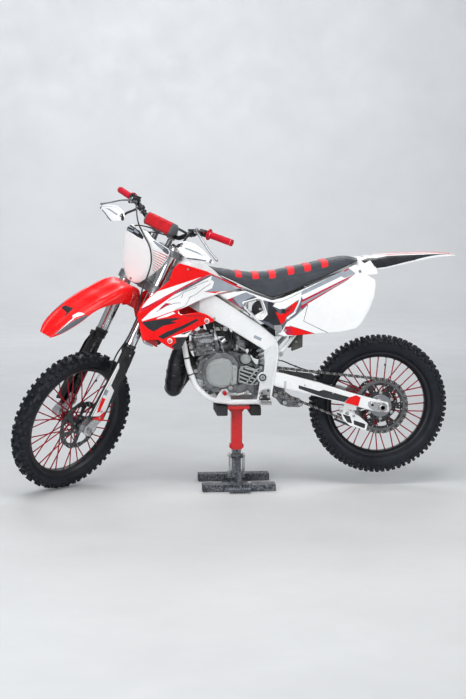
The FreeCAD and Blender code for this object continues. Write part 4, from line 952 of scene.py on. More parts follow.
def tyre(name, body, M, R, half, fl, fw, rows, seedn, front):
    rs = random.Random(seedn)
    d = 12.5 if front else 14.5
    if front:
        pts = [(0, R - d), (16, R - d - 0.8), (29, R - d - 5.5), (37, R - d - 14), (40, R - d - 25), (39.6, R - d - 36),
               (36, fl + 14), (30, fl + 6), (25.6, fl + 1.2), (22.4, fl - 3), (20.4, fl - 8)]
    else:
        pts = [(0, R - d), (18, R - d - 0.8), (33, R - d - 5.5), (43, R - d - 15), (47.2, R - d - 27), (47.5, R - d - 40),
               (44, fl + 15), (37, fl + 6), (31.6, fl + 1.2), (28.4, fl - 3), (26.4, fl - 8)]
    at = section_curve(pts)
    half_prof = spline2(pts, 4, closed=False)
    # thin raised rings on the sidewall
    n0 = len(half_prof)
    prof = []
    for i, (y, r) in enumerate(half_prof):
        prof.append((y, r))
    m = Mesh()
    full = [(-y, r) for y, r in prof[::-1]][:-1] + prof
    m.rev(full, seg=180, mat=1)
    # inner side of the casing, so that it isn't paper thin at the bead
    inner = [(half - 15, fl + 30), (fw - 6, fl - 8)]
    m.rev([(fw - 3.6, fl - 8), (fw - 8, fl - 8), (fw - 8, fl + 10), (half * 0.4, R - d - 8), (0, R - d - 6),
           (-half * 0.4, R - d - 8), (-fw + 8, fl + 10), (-fw + 8, fl - 8), (-fw + 3.6, fl - 8)], seg=120, mat=1)
    for sg in (1, -1):
        for w_, hh, ww in ((0.66, 1.0, 1.3), (0.80, 0.8, 1.0), (0.86, 0.8, 1.0), (0.93, 0.9, 1.6)):
            idx = int(w_ * (n0 - 1))
            y, r = half_prof[idx]
            y2, r2 = half_prof[idx + 1]
            ty, tr = (y2 - y), (r2 - r)
            k = math.hypot(ty, tr)
            ty, tr = ty / k, tr / k
            ny, nr = -tr, ty
            q = [(y - ty * ww - ny * 0.6, r - tr * ww - nr * 0.6), (y - ty * ww * 0.6 + ny * hh, r - tr * ww * 0.6 + nr * hh),
                 (y + ty * ww * 0.6 + ny * hh, r + tr * ww * 0.6 + nr * hh), (y + ty * ww - ny * 0.6, r + tr * ww - nr * 0.6)]
            m.rev([(a * sg, b) for a, b in q], seg=150, mat=1, closed=True)
    circ = 2 * math.pi * R
    pitch = circ / rows
    for i in range(rows):
        s = i * pitch
        j = rs.uniform(-0.3, 0.3)
        if front:
            if i % 2 == 0:
                for sg in (1, -1):
                    knob(m, at, R, s + j, sg * 8.6, 15.5, 14.5, d - 0.2)
                    knob(m, at, R, s + pitch * 0.08, sg * 36.5, 21, 15.0, 9.8, 0.10 * sg, cut=0.2)
            else:
                for sg in (1, -1):
                    knob(m, at, R, s + j, sg * 22.4, 17.5, 14.5, d - 1.0, 0.12 * sg)
                    knob(m, at, R, s - pitch * 0.04, sg * 43.5, 15, 11.0, 6.0, 0.05 * sg)
        else:
            if i % 2 == 0:
                knob(m, at, R, s + j, 0, 13.5, 27, d - 0.2)
                for sg in (1, -1):
                    knob(m, at, R, s + 1.0, sg * 27.5, 16.0, 16.0, d - 1.4, 0.10 * sg)
                    knob(m, at, R, s + pitch * 0.06, sg * 50.0, 13.0, 13.0, 6.2, 0.05 * sg)
            else:
                for sg in (1, -1):
                    knob(m, at, R, s + j, sg * 11.5, 14.0, 17.0, d - 0.4, -0.06 * sg)
                    knob(m, at, R, s - pitch * 0.02, sg * 43.0, 24.0, 21.0, 9.6, 0.08 * sg, cut=0.16)
    # moulding ribs running down the sidewall below the side blocks
    for i in range(0, rows, 2):
        s = (i + (0 if front else 1)) * pitch
        for sg in (1, -1):
            a = s / R
            w0 = 52 if front else 62
            ring = []
            for hh, k in ((-0.5, 1.0), (1.1, 0.55)):
                rr = []
                for ds, dw in ((-3.0, -6), (3.0, -6), (1.8, 7), (-1.8, 7)):
                    y, r, ny, nr = at(sg * (w0 + dw))
                    an = (s + ds * k) / R
                    rr.append(((r + nr * hh) * math.cos(an), y + ny * hh, (r + nr * hh) * math.sin(an)))
                ring.append(rr)
            m.ring_loft(ring, 1)
    return m.make(name + "_tread", body, [TYRE, SIDEWALL], M, replaces=name, angle=32, slot="tyre", wn=False)


def rim_and_spokes(pre, body, M, r_rim, fw, hub_w, steel_side):
    fl = r_rim + 27
    prof = [(-fw, fl - 1.2), (-fw + 0.8, fl), (-fw + 2.4, fl), (-fw + 3.2, fl - 1.5), (-fw + 4.2, fl - 10), (-fw + 13, fl - 12.6),
            (-8, fl - 19), (8, fl - 19), (fw - 13, fl - 12.6), (fw - 4.2, fl - 10), (fw - 3.2, fl - 1.5), (fw - 2.4, fl),
            (fw - 0.8, fl), (fw, fl - 1.2), (fw, fl - 8), (fw - 1.2, fl - 11.5), (fw - 6.5, r_rim + 9), (14, r_rim + 2.2),
            (10, r_rim + 0.4), (4, r_rim), (-4, r_rim), (-10, r_rim + 0.4), (-14, r_rim + 2.2), (-fw + 6.5, r_rim + 9),
            (-fw + 1.2, fl - 11.5), (-fw, fl - 8)]
    m = Mesh()
    m.rev(prof, seg=180, closed=True)
    # dimples round the nipples, valve stem and rim lock
    n = 36
    for k in range(n):
        a = 2 * math.pi * k / n
        side = 1 if k % 2 else -1
        c = Vector((math.cos(a), 0, math.sin(a)))
        y = side * 3.0
        m.cyl(c * (r_rim + 1.5) + Vector((0, y, 0)), c * (r_rim - 1.6) + Vector((0, y, 0)), 6.2, 5.0, seg=12, ch=0.5)
    a = math.radians(95 + 5)
    c = Vector((math.cos(a), 0, math.sin(a)))
    m.cyl(c * (r_rim + 2), c * (r_rim - 3), 6, 6, seg=12, mat=1)
    m.cyl(c * (r_rim - 2), c * (r_rim - 38), 3.0, seg=12, mat=1)
    m.cyl(c * (r_rim - 30), c * (r_rim - 42), 4.0, seg=12, mat=2)
    a = math.radians(95 - 35)
    c = Vector((math.cos(a), 0, math.sin(a)))
    m.cyl(c * (r_rim + 2), c * (r_rim - 12), 4.0, seg=12, mat=1)
    m.bolt(c * (r_rim + 0.5), -c, 7.2, 6.5, "hex", mat=1)
    m.make(pre + "_rim_hoop", body, [RIMBLK, STEEL, BLACKP], M, replaces=pre + "_rim", angle=30)
    # spokes and nipples
    s = Mesh()
    for k in range(n):
        side = 1 if k % 2 else -1
        lead = 1 if (k // 2) % 2 else -1
        a0 = 2 * math.pi * k / n
        a1 = a0 + lead * math.radians(62)
        out = 1.6 if (k // 2) % 2 else -1.6
        p0 = Vector((29 * math.cos(a1), side * 34 + out * side * 2.2, 29 * math.sin(a1)))
        p1 = Vector(((r_rim + 1) * math.cos(a0), side * 3, (r_rim + 1) * math.sin(a0)))
        d = (p1 - p0).normalized()
        e = p0 + d * 3
        s.tube([(p0.x, side * 34 - out * side * 1.6, p0.z), tuple(p0), tuple(e), tuple(p0 + d * 14)], 2.9, seg=8, sub=3)
        s.cyl(p0 + d * 13, p1, 2.9, seg=8, ch=0.2)
        s.cyl(p1 - d * 17, p1 + d * 1.0, 2.9, 3.3, seg=8, ch=0.5, mat=1)
        s.cyl((p0.x, side * 34 - out * side * 3.2, p0.z), (p0.x, side * 34 - out * side * 1.4, p0.z), 2.9, seg=8, ch=0.3)
    # hub body with flanges
    a, b = hub_w
    prof = [(-a, 13.2), (-a, 19.0), (-a + 1, 20.0), (-40, 20.0), (-38, 24), (-37, 33), (-36, 34), (-32, 34), (-31, 33), (-29, 27), (-22, 21.5),
            (-8, 19.2), (8, 19.2), (22, 21.5), (29, 27), (31, 33), (32, 34), (36, 34), (37, 33), (38, 24), (40, 20.0), (b - 1, 20.0),
            (b, 19.0), (b, 13.2)]
    s.rev(prof, seg=72, mat=2, closed=True)
    for sg in (1, -1):
        for k in range(6):
            an = 2 * math.pi * (k + 0.5) / 6
            s.rbox((24.5 * math.cos(an), sg * 42, 24.5 * math.sin(an)), (9, 9, 7), 1.4, mat=2,
                   R=Matrix.Rotation(-an, 3, "Y"))
    s.make(pre + "_spoked_hub", body, [SPOKER, SPOKER, BLKALU], M, replaces=pre + "_hub", angle=35)


def circle2(cx, cz, r, n=10, ph=0.0):
    return [(cx + r * math.cos(2 * math.pi * (i + ph) / n), cz + r * math.sin(2 * math.pi * (i + ph) / n)) for i in range(n)]


def disc(name, body, M, y0, y1, R, waves, arms, mats, piece):
    out = []
    nn = waves * 14
    for i in range(nn):
        a = 2 * math.pi * i / nn
        out.append(((R - 1.7 + 1.7 * math.cos(waves * a)) * math.cos(a), (R - 1.7 + 1.7 * math.cos(waves * a)) * math.sin(a)))
    holes = []
    inner = R - 24
    for k in range(arms):
        a0 = 2 * math.pi * k / arms
        w = []
        g = 2 * math.pi / arms
        for t in range(9):
            a = a0 + g * (0.14 + 0.72 * t / 8) + 0.30
            w.append(((inner - 2.2 * math.cos(waves * a)) * math.cos(a), (inner - 2.2 * math.cos(waves * a)) * math.sin(a)))
        for t in range(9):
            a = a0 + g * (0.84 - 0.68 * t / 8)
            w.append((46 * math.cos(a), 46 * math.sin(a)))
        holes.append(rnd(w[::-1], [6 if i in (0, 8, 9, 17) else 0 for i in range(18)], 3))
    for k in range(waves * 2):
        a = 2 * math.pi * k / (waves * 2)
        for q, (rr, da) in enumerate(((R - 7.5, 0.0), (R - 13.5, 0.055), (R - 19.0, 0.11))):
            if q == 1 and k % 2:
                continue
            holes.append(circle2(rr * math.cos(a + da), rr * math.sin(a + da), 2.7, 8))
    for k in range(arms):
        a = 2 * math.pi * (k + 0.0) / arms + 0.02
        holes.append(circle2(36 * math.cos(a), 36 * math.sin(a), 3.0, 10))
    holes.append(circle2(0, 0, 21.5, 48))
    m = Mesh()
    m.prism(out, y0, y1, ch=0.5, holes=holes, mat=0)
    sg = 1 if y1 > 0 else -1
    y = y1 if sg > 0 else y0
    for k in range(arms):
        a = 2 * math.pi * k / arms + 0.02
        m.bolt((36 * math.cos(a), y, 36 * math.sin(a)), (0, sg, 0), 5.2, 3.4, "cap", mat=1)
        a += 0.16
    # carrier ring raised on the inside
    m.rev([(y0 + 0.4, 22), (y0 + 0.4, 44), (y0 - 3.0 * sg * 0, 44)], seg=60, mat=0)
    return m.make(piece, body, mats, M, replaces=name, angle=30)


tyre("front_tyre", "front_wheel", M_FW, 343.0, 44, 278.6, 24, 60, 3, True)
tyre("rear_tyre", "rear_wheel", M_RW, 332.4, 52, 252.4, 30, 76, 4, False)
rim_and_spokes("front", "front_wheel", M_FW, 251.6, 24, (60, 60), 1)
rim_and_spokes("rear", "rear_wheel", M_RW, 225.4, 30, (72, 74), 1)
disc("front_disc", "front_wheel", M_FW, 50.5, 53.5, 120.0, 12, 6, [DARKMET, STEEL], "front_brake_disc")
disc("rear_disc", "rear_wheel", M_RW, -69.5, -66.0, 110.0, 12, 6, [DARKMET, STEEL], "rear_brake_disc")

TEETH = 52
R_PITCH = 127.0


def sprocket():
    m = Mesh()
    # toothed silver ring: outline with a rounded gap for each roller
    out = []
    for k in range(TEETH):
        g = 2 * math.pi / TEETH
        a = g * k
        for da, r in ((-0.50, R_PITCH + 4.2), (-0.42, R_PITCH + 3.4), (-0.345, R_PITCH + 0.6), (-0.30, R_PITCH - 2.6), (-0.19, R_PITCH - 4.6),
                      (0.0, R_PITCH - 5.4), (0.19, R_PITCH - 4.6), (0.30, R_PITCH - 2.6), (0.345, R_PITCH + 0.6),
                      (0.42, R_PITCH + 3.4)):
            out.append((r * math.cos(a + g * da), r * math.sin(a + g * da)))
    m.prism(out, 63.0, 69.0, ch=0.9, mat=0, holes=[circle2(0, 0, 107, 90)])
    # black centre with windows
    holes = []
    for k in range(6):
        a0 = 2 * math.pi * k / 6
        w = []
        for t in range(8):
            a = a0 + math.radians(10 + 40 * t / 7)
            w.append((98 * math.cos(a), 98 * math.sin(a)))
        for t in range(8):
            a = a0 + math.radians(50 - 40 * t / 7)
            w.append((70 * math.cos(a), 70 * math.sin(a)))
        holes.append(rnd(w, [9 if i in (0, 7, 8, 15) else 0 for i in range(16)], 3))
    for k in range(6):
        a = 2 * math.pi * k / 6
        for da, rr in ((0.07, 92), (-0.07, 92), (0.0, 84), (0.085, 76), (-0.085, 76)):
            holes.append(circle2(rr * math.cos(a + da), rr * math.sin(a + da), 3.0, 8))
    holes.append(circle2(0, 0, 52, 60))
    m.prism(circle2(0, 0, 109, 120), 62.7, 69.3, ch=0.6, mat=1, holes=holes)
    for k in range(6):
        a = 2 * math.pi * k / 6 + math.pi / 6
        m.bolt((61 * math.cos(a), 69.3, 61 * math.sin(a)), (0, 1, 0), 6.6, 5.0, "hex", mat=2, washer=1.4)
        for da in (-0.17, 0.17):
            a2 = 2 * math.pi * k / 6 + da
            m.bolt((103.5 * math.cos(a2), 69.3, 103.5 * math.sin(a2)), (0, 1, 0), 3.0, 1.6, "cap", mat=2)
    # stepped hub ring
    m.rev([(62.7, 20.6), (62.7, 53), (69.6, 53), (70.4, 52), (70.4, 45), (72.4, 43.5), (72.4, 34), (73.6, 32.5), (73.6, 21.6)], seg=72,
          mat=3)
    m.make("rear_sprocket_toothed", "rear_wheel", [SPRKM, BLKALU, STEEL, LEVERM], M_RW, replaces="rear_sprocket", angle=30)


sprocket()


# --------------------------------------------------------------- front end
T_UP1 = 923.0
LEG_P, LEG_Y = 28.0, 98.0
S3 = Vector((0, 0, 1))


def fork():
    for s, tag in ((1, "left"), (-1, "right")):
        m = Mesh()
        c = lambda t: (LEG_P, s * LEG_Y, t)
        # outer tube: polished, with a step under the lower clamp and a turned foot
        prof = [(432.5, 23.2), (432.0, 24.0), (432.0, 29.8), (432.8, 30.5), (443.2, 30.5), (444, 29.9), (444.6, 28.4), (446, 27.9), (470, 27.6),
                (560, 27.7), (640, 28.0), (700, 28.4), (704, 28.5), (744, 28.5), (748, 28.2), (890, 28.0), (893, 28.5), (924, 28.5),
                (936, 28.5), (939, 27.6), (940, 26.4), (940, 21), (941.5, 20), (948.5, 20), (950, 18.6), (950, 9), (945.5, 8.4), (945.5, 0.5)]
        seg = 56
        rings = []
        for t, r in prof:
            rings.append([(LEG_P + r * math.cos(2 * math.pi * i / seg), s * LEG_Y + r * math.sin(2 * math.pi * i / seg), t)
                          for i in range(seg)])
        ms = []
        n0 = len(m.f)
        m.ring_loft(rings, 0, cap=(False, True))
        for i, f in enumerate(m.f):
            k = i // seg
            if k < 7:
                m.m[i] = 1
            elif k >= 20:
                m.m[i] = 3
        # dust wiper, air bleed and adjuster on the cap
        m.rev([(0, 22.7), (0, 27.6), (2.5, 28.6), (7.5, 28.6), (10, 26.6), (10, 22.7)], seg=48, mat=2, closed=True)
        for i in range(len(m.v) - 48 * 6, len(m.v)):
            x, y, z = m.v[i]
            m.v[i] = (x + LEG_P, z + s * LEG_Y, 423.0 + y)
        m.cyl((LEG_P, s * LEG_Y, 945.0), (LEG_P, s * LEG_Y, 950.2), 6.2, seg=20, mat=4)
        m.bolt((LEG_P - 13, s * LEG_Y + 3, 949.6), (0, 0, 1), 2.4, 1.6, mat=4)
        m.bolt((LEG_P + 2, s * LEG_Y - 13, 949.6), (0, 0, 1), 2.4, 1.6, mat=4)
        m.make(tag + "_fork_outer_tube", "steering", [FORKAL, BLKALU, RUBBER, BLKALU, REDAN], M_ST, replaces="fork_tubes",
               angle=25, wn=False)
        # inner tube and foot
        f = Mesh()
        f.cyl((LEG_P, s * LEG_Y, 62), (LEG_P, s * LEG_Y, 434), 22.5, seg=48, mat=0)
        foot = [(50, -26), (84, -14), (88, 20), (66, 60), (52, 98), (2, 98), (0, 70), (32, 20), (38, -20)]
        y0, y1 = (78, 118) if s > 0 else (-118, -78)
        f.prism(rnd(foot, 9), y0, y1, mat=1, ch=3.0, holes=[circle2(OFFSET, AXLE_T, 10.2, 28)])
        f.cyl((LEG_P, s * LEG_Y, 96), (LEG_P, s * LEG_Y, 112), 27.5, 24.0, seg=40, mat=1, ch=1.5)
        f.cyl((LEG_P - 2, s * LEG_Y, -2), (LEG_P + 2, s * LEG_Y, 60), 16, 21, seg=28, mat=1, ch=2)
        # pinch bolts across the foot
        for t, p in ((-17, 60), (12, 74)):
            f.bolt((p - 18, s * 118.0 - s * 0, t), (0, s, 0), 4.4, 3.6, mat=2)
        f.rbox((70, s * 98, -8), (18, 30, 10), 2.5, mat=1)
        f.make(tag + "_fork_slider", "steering", [BLKALU, ALLOY, STEEL], M_ST, replaces="fork_sliders", angle=32)


def guards():
    """Fork guards: outer plate, front face and top ring in one moulding."""
    side = [(6, 64), (96, 60), (90, 200), (78, 362), (62, 400), (58, 424), (0, 424), (-4, 345), (6, 250)]
    for s, tag in ((1, "left"), (-1, "right")):
        m = Mesh()

        def surf(p, t, d, s=s):
            # bows a little outwards in the middle
            k = (p - 45) / 50.0
            bow = 1.6 * (1 - k * k)
            return (p, s * (124.0 + bow - 1.6 - d + 1.5), t)
        lay = []
        if s > 0:
            def q(X, Y):
                u, v = 5 + X / 10.45, 345 + Y / 10.45
                a = on_steer(u, v, y=126.0)
                return (a[0], a[2])
            white = [q(*a) for a in [(1165, 170), (1195, 195), (1195, 240), (1110, 425), (1140, 478), (1050, 700), (985, 745), (885, 750),
                                     (1010, 490), (1020, 440), (1105, 240)]]
            grey = [q(*a) for a in [(1050, 460), (1085, 480), (1060, 530), (1030, 520)]]
            red = [q(*a) for a in [(1050, 690), (1020, 800), (980, 815), (915, 770), (985, 745)]]
            mark = [q(*a) for a in [(1018, 550), (1052, 566), (992, 700), (962, 712), (972, 668)]]
            o = side
            clip = inset(o, -0.1)
            lay = [([p for p in white], 1), (red, 2), (grey, 3), (mark, 2)]
        else:
            lay = [([(84, 96), (52, 100), (38, 130), (30, 200), (26, 260), (30, 300), (44, 330), (58, 350), (66, 345), (72, 250), (66, 180)], 1),
                   ([(86, 66), (86, 92), (50, 96), (30, 72)], 2)]
        panel(m, rnd(side, 6), surf, th=3.4, layers=lay, base=0, step=18, flip=(s > 0))
        # front face bent inwards
        rows = []
        for i in range(13):
            t = 66 + (404 - 66) * i / 12
            k = (t - 66) / 338.0
            p1 = 95 - 33 * max(0.0, (t - 60) / 340) ** 1.3
            row = []
            for j in range(9):
                a = math.pi / 2 * j / 8
                depth = 30 * (0.55 + 0.45 * min(1, (t - 66) / 60.0))
                row.append((p1 - 12 + 12 * math.cos(math.pi / 2 - a) if False else p1 - 10 * (1 - math.sin(a)) - (0 if j else 0),
                            s * (124.0 - depth * (1 - math.cos(a)) if False else 125.2 - depth * (j / 8.0) ** 1.2), t))
            # outside corner to inner edge
            row = []
            for j in range(10):
                f = j / 9.0
                yy = 125.0 - 32.0 * f
                pp = p1 - 1.5 + 4.5 * math.sin(math.pi * min(1.0, f * 1.15)) - 22 * max(0.0, f - 0.3) ** 1.5
                row.append((pp, s * yy, t))
            rows.append(row)
        back = [[(x - 3.0, y - s * 0.4, z) for x, y, z in r] for r in rows]
        ringrows = [r + b[::-1] for r, b in zip(rows, back)]
        m.ring_loft(ringrows, 0)
        # ring round the leg and lugs
        m.pipe((LEG_P, s * LEG_Y, 404), (LEG_P, s * LEG_Y, 424), 28.4, 23.0, seg=44, mat=0)
        m.rbox((LEG_P + 34, s * 112, 412), (18, 24, 22), 3, mat=0)
        for t in (80, 110):
            m.bolt((40 + (t - 80) * 0.2, s * 126.0, t - 2), (0, s, 0), 5.0, 3.0, mat=4, washer=1.5)
        m.bolt((30, s * 125.6, 398), (0, s, 0), 4.6, 2.6, mat=4, washer=1.5)
        if s > 0:
            # window near the top and one thin raised line
            m.prism(rnd([(18, 352), (32, 352), (46, 384), (26, 384)], 3), 123.8, 126.6, mat=5, ch=0.6)
            m.tube([(2, 126.3, 120), (0, 126.5, 230), (2, 126.4, 330)], 1.1, seg=6, mat=0)
        m.make(tag + "_fork_guard", "steering", [BLACKP, WFILM, RED, BLUEG, STEEL, RUBBER], M_ST, replaces="fork_guards", angle=40)


def clamps():
    m = Mesh()
    for t0, t1, up in ((705, 743, False), (893, 923, True)):
        mid = (t0 + t1) / 2
        h = t1 - t0
        # bridge, hollowed in front
        out = [(-22, -LEG_Y), (-22, LEG_Y)]
        o2 = [(-20, -80), (-30, -40), (-34, 0), (-30, 40), (-20, 80), (2, 96), (46, 88), (50, 62), (40, 44), (44, 20), (44, -20),
              (40, -44), (50, -62), (46, -88), (2, -96)]
        hol = [] if up else []
        hs = [rnd([(8, 44), (28, 40), (30, 58), (10, 62)], 5), rnd([(8, -44), (10, -62), (30, -58), (28, -40)], 5)]
        pr = Mesh()
        pr.prism(rnd([(a, b) for a, b in o2], 9), 0, h, ch=2.2, holes=hs)
        T = columns((1, 0, 0), (0, 0, 1), (0, 1, 0), (0, 0, t0))
        m.add([(x, z, y + t0) for x, y, z in pr.v], [tuple(f[::-1]) for f in pr.f], 0)
        for s in (1, -1):
            m.pipe((LEG_P, s * LEG_Y, t0), (LEG_P, s * LEG_Y, t1), 39.0, 28.7, seg=64, ch=1.6, mat=0)
            # split with two pinch bolts, behind the leg
            m.rbox((-8, s * (LEG_Y + 20), mid), (16, 30, h * 0.94), 3, mat=0)
            for dt in ((-9, 9) if not up else (0,)):
                m.bolt((-8, s * (LEG_Y + 35), mid + dt), (0, s, 0), 5.0, 4.5, mat=1, washer=1.0)
            m.rbox((-8, s * (LEG_Y + 34.2), mid), (3, 1.6, h * 0.8), 0.3, mat=2)
    m.cyl((0, 0, 700), (0, 0, 745), 30, seg=48, mat=0)
    m.cyl((0, 0, 889), (0, 0, 926), 30, seg=48, mat=0)
    # stem with bearing dust cover, locknut
    m.cyl((0, 0, 704), (0, 0, 925), 14, seg=32, mat=1)
    m.cyl((0, 0, 743), (0, 0, 747), 29, seg=40, mat=3)
    m.cyl((0, 0, 889), (0, 0, 893.5), 28, seg=40, mat=3)
    nut = Mesh()
    m.ring_loft([[(q[0], q[1], t) for q in circle2(0, 0, r, 6)] for t, r in ((922.8, 19), (929.5, 19), (931, 16.5))] +
                [[(q[0], q[1], t) for q in circle2(0, 0, r, 6)] for t, r in ((931, 10.5), (915, 9.5))], 1)
    # bar mounts: posts, lower and upper halves
    for s in (1, -1):
        m.cyl((24, s * 48, 921), (24, s * 48, 962), 13.5, 12.0, seg=32, ch=1.0, mat=0)
        for z0, z1 in ((963, 982.2), (983.8, 1002)):
            pts = [(9, z0), (43, z0), (43, z1), (9, z1)]
            prf = rnd(pts, 5)
            m.prism(prf, s * 48 - 14, s * 48 + 14, ch=1.2, mat=0)
        for p in (14.5, 37.5):
            for dy in (-7, 7):
                m.bolt((p, s * 48 + dy, 1001.6), (0, 0, 1), 3.6, 4.0, mat=1)
        m.bolt((24, s * 48, 893), (0, 0, -1), 8.5, 6.0, "hex", mat=1)
    # plate tab on the lower clamp
    m.rbox((62, 0, 735), (44, 26, 4), 1.2, mat=3)
    m.make("fork_clamps", "steering", [CAST, STEEL, BLKALU, DARKMET], M_ST, replaces="triple_clamps", angle=32)


def bars():
    # handlebar with brace
    h = [(983, 26, 0), (983, 26, 92), (1045, 52, 190), (1059, 44, 250), (1069, 14, 375)]

    def arc_route(P, r=55, seg=7):
        P = [Vector(p) for p in P]
        out = [P[0]]
        for i in range(1, len(P) - 1):
            a, b, c = P[i - 1], P[i], P[i + 1]
            u, w = (a - b), (c - b)
            lu, lw = u.length, w.length
            u, w = u / lu, w / lw
            d = min(0.45 * min(lu, lw), r * math.tan((math.pi - math.acos(max(-1, min(1, u.dot(w))))) / 2) + 1e-3)
            p0, p2 = b + u * d, b + w * d
            for k in range(seg + 1):
                t = k / seg
                out.append(p0 * (1 - t) ** 2 + b * 2 * t * (1 - t) + p2 * t * t)
        out.append(P[-1])
        return out
    pts = [tp(t, p, -y) for t, p, y in h[:0:-1]] + [tp(t, p, y) for t, p, y in h[1:]]
    m = Mesh()
    m.tube(arc_route(pts), 11.0, seg=28, smooth=False)
    cr = arc_route([tp(1021, 43, -160), tp(1023, 48, -60), tp(1023, 48, 60), tp(1021, 43, 160)])
    m.tube(cr, 6.0, seg=18, smooth=False, mat=0)
    for s in (1, -1):
        m.cyl(tp(1021.2, 43.3, s * 146), tp(1020.2, 42.8, s * 163), 9.0, 8.0, seg=24, mat=1)
        m.rbox(tp(1024, 43, s * 158), (27, 15, 25), 4, mat=1)
        m.bolt(tp(1024, 57, s * 158), (1, 0, 0), 3.6, 3.5, mat=2)
        m.bolt(tp(1014, 57, s * 158), (1, 0, 0), 3.6, 3.5, mat=2)
        # knurled clamping part of the bar
        for k in range(9):
            y = s * (34.5 + 3.4 * k)
            m.cyl(tp(983, 26, y), tp(983, 26, y + s * 1.6), 11.25, seg=28, ch=0.3, mat=0)
    m.make("handlebar_and_brace", "steering", [BLKALU, BLKALU, STEEL], M_ST, replaces="handlebar", angle=35)

    # grips with half-waffle ribs, flange and end
    g = Mesh()
    for s in (1, -1):
        a, c = Vector(tp(1059.4, 42.0, s * 256)), Vector(tp(1069.3, 13, s * 378))
        d = (c - a)
        n = d.length
        d.normalize()
        u = d.cross(Vector((0, 0, 1))).normalized()
        w = u.cross(d)
        seg = 36

        def ring(x, r, lob=0.0, ph=0.0):
            o = []
            for i in range(seg):
                q = 2 * math.pi * i / seg
                rr = r + lob * (1 if (i + int(ph)) % 3 else -1) * (1 if math.sin(q + 0.6) > -0.35 else 0.15)
                o.append(a + d * x + (u * math.cos(q) + w * math.sin(q)) * rr)
            return o
        rings = [ring(0, 12), ring(0, 25.5), ring(0.8, 26.6), ring(3.6, 26.8), ring(4.6, 25.6), ring(5.2, 19.0), ring(9, 16.3), ring(13, 15.8)]
        x = 13.0
        k = 0
        while x < n - 14:
            rings += [ring(x + 0.3, 15.0), ring(x + 0.9, 15.6, 0.5, k), ring(x + 3.3, 15.6, 0.5, k), ring(x + 3.9, 15.0)]
            x += 4.4
            k += 1
        rings += [ring(n - 11, 15.6), ring(n - 3, 15.8), ring(n - 0.6, 15.2), ring(n, 13.6), ring(n, 11)]
        g.ring_loft(rings, 0)
        for xx in (11.5, n - 6.5):
            g.ring_loft([ring(xx - 0.6, 15.6), ring(xx - 0.5, 16.4), ring(xx + 0.5, 16.4), ring(xx + 0.6, 15.6)], 1)
    g.make("ribbed_grips", "steering", [GRIPR, STEEL], M_ST, replaces="grips", angle=28, wn=False)


def controls_():
    m = Mesh()
    for s in (1, -1):
        a, b = Vector(tp(1052.3, 47, s * 212)), Vector(tp(1056.8, 44, s * 240))
        d = (b - a).normalized()
        m.pipe(a, b, 17, 11.2, seg=40, mat=0)
        m.rbox(tp(1049.5, 70, s * 222), (28, 31, 20), 4, mat=0)
        # clamp half and its bolts
        m.rbox(tp(1054, 33, s * 226), (8, 24, 30), 2.5, mat=0)
        for dt in (-11, 11):
            m.bolt(tp(1054 + dt, 30, s * 226), (-1, 0, 0), 3.2, 3.4, mat=1)
        # lever: flat blade with a round end, on its pivot
        lev = [tp(1049, 86, s * 216), tp(1042.5, 89.5, s * 236), tp(1032, 93, s * 262), tp(1016, 92, s * 294), tp(998, 88, s * 328),
               tp(983, 82.5, s * 362), tp(971, 77.2, s * 390)]
        m.tube(lev, [7.5, 7.0, 5.6, 5.0, 5.0, 5.2, 6.4], seg=14, mat=1, squash=(0.7, 1.0))
        m.cyl(tp(973.5, 78.2, s * 384), tp(969, 76.4, s * 395), 5.8, seg=18, mat=1, ch=2)
        m.cyl(tp(1037, 86, s * 217), tp(1064, 86, s * 217), 6.2, seg=20, mat=1)
        m.rbox(tp(1051, 86, s * 221), (20, 20, 12), 3, mat=1)
    # right: brake reservoir; left: clutch cable adjuster with its rubber boot
    m.rbox(tp(1066, 74, -214), (34, 42, 22), 4, mat=0)
    m.rbox(tp(1078, 74, -214), (36, 44, 4), 1.2, mat=0)
    for dp, dy in ((-14, -17), (14, 17), (-14, 17), (14, -17)):
        m.bolt(tp(1079.5, 74 + dp, -214 + dy), (0, 0, 1), 2.4, 1.6, mat=1)
    m.cyl(tp(1051, 79, -194), tp(1050, 79, -208), 7.4, seg=24, mat=1)
    m.bolt(tp(1050, 79, -193), (0, 1, 0), 6.5, 5, "hex", mat=1)
    m.tube([tp(1049, 78, 208), tp(1047, 79, 198), tp(1043, 82, 186), tp(1038, 86, 172)], [5.5, 6.5, 5.5, 4.2], seg=14, mat=2)
    m.cyl(tp(1049, 78, 201), tp(1048.5, 78.4, 206), 8.4, seg=24, mat=1)
    # throttle housing on the right, kill switch on the left
    a, b = Vector(tp(1058.2, 43.8, -244)), Vector(tp(1059.6, 42.2, -255.3))
    m.pipe(a, b, 20, 11.3, seg=40, mat=2)
    m.rbox(tp(1052, 58, -248), (26, 12, 20), 4, mat=2)
    m.tube([tp(1046, 66, -247), tp(1040, 78, -238), tp(1034, 88, -222)], [5.2, 4.6, 3.6], seg=12, mat=2)
    a, b = Vector(tp(1057.3, 44, 243)), Vector(tp(1058.5, 43, 252))
    m.pipe(a, b, 15.5, 11.2, seg=32, mat=2)
    m.cyl(tp(1058, 56, 247), tp(1058, 67, 247), 7.5, seg=20, mat=2)
    m.cyl(tp(1058, 66, 247), tp(1058, 70, 247), 4.6, seg=18, mat=3)
    m.make("perches_and_levers", "steering", [BLKALU, LEVERM, RUBBER, REDAN], M_ST, replaces="hand_controls", angle=35)


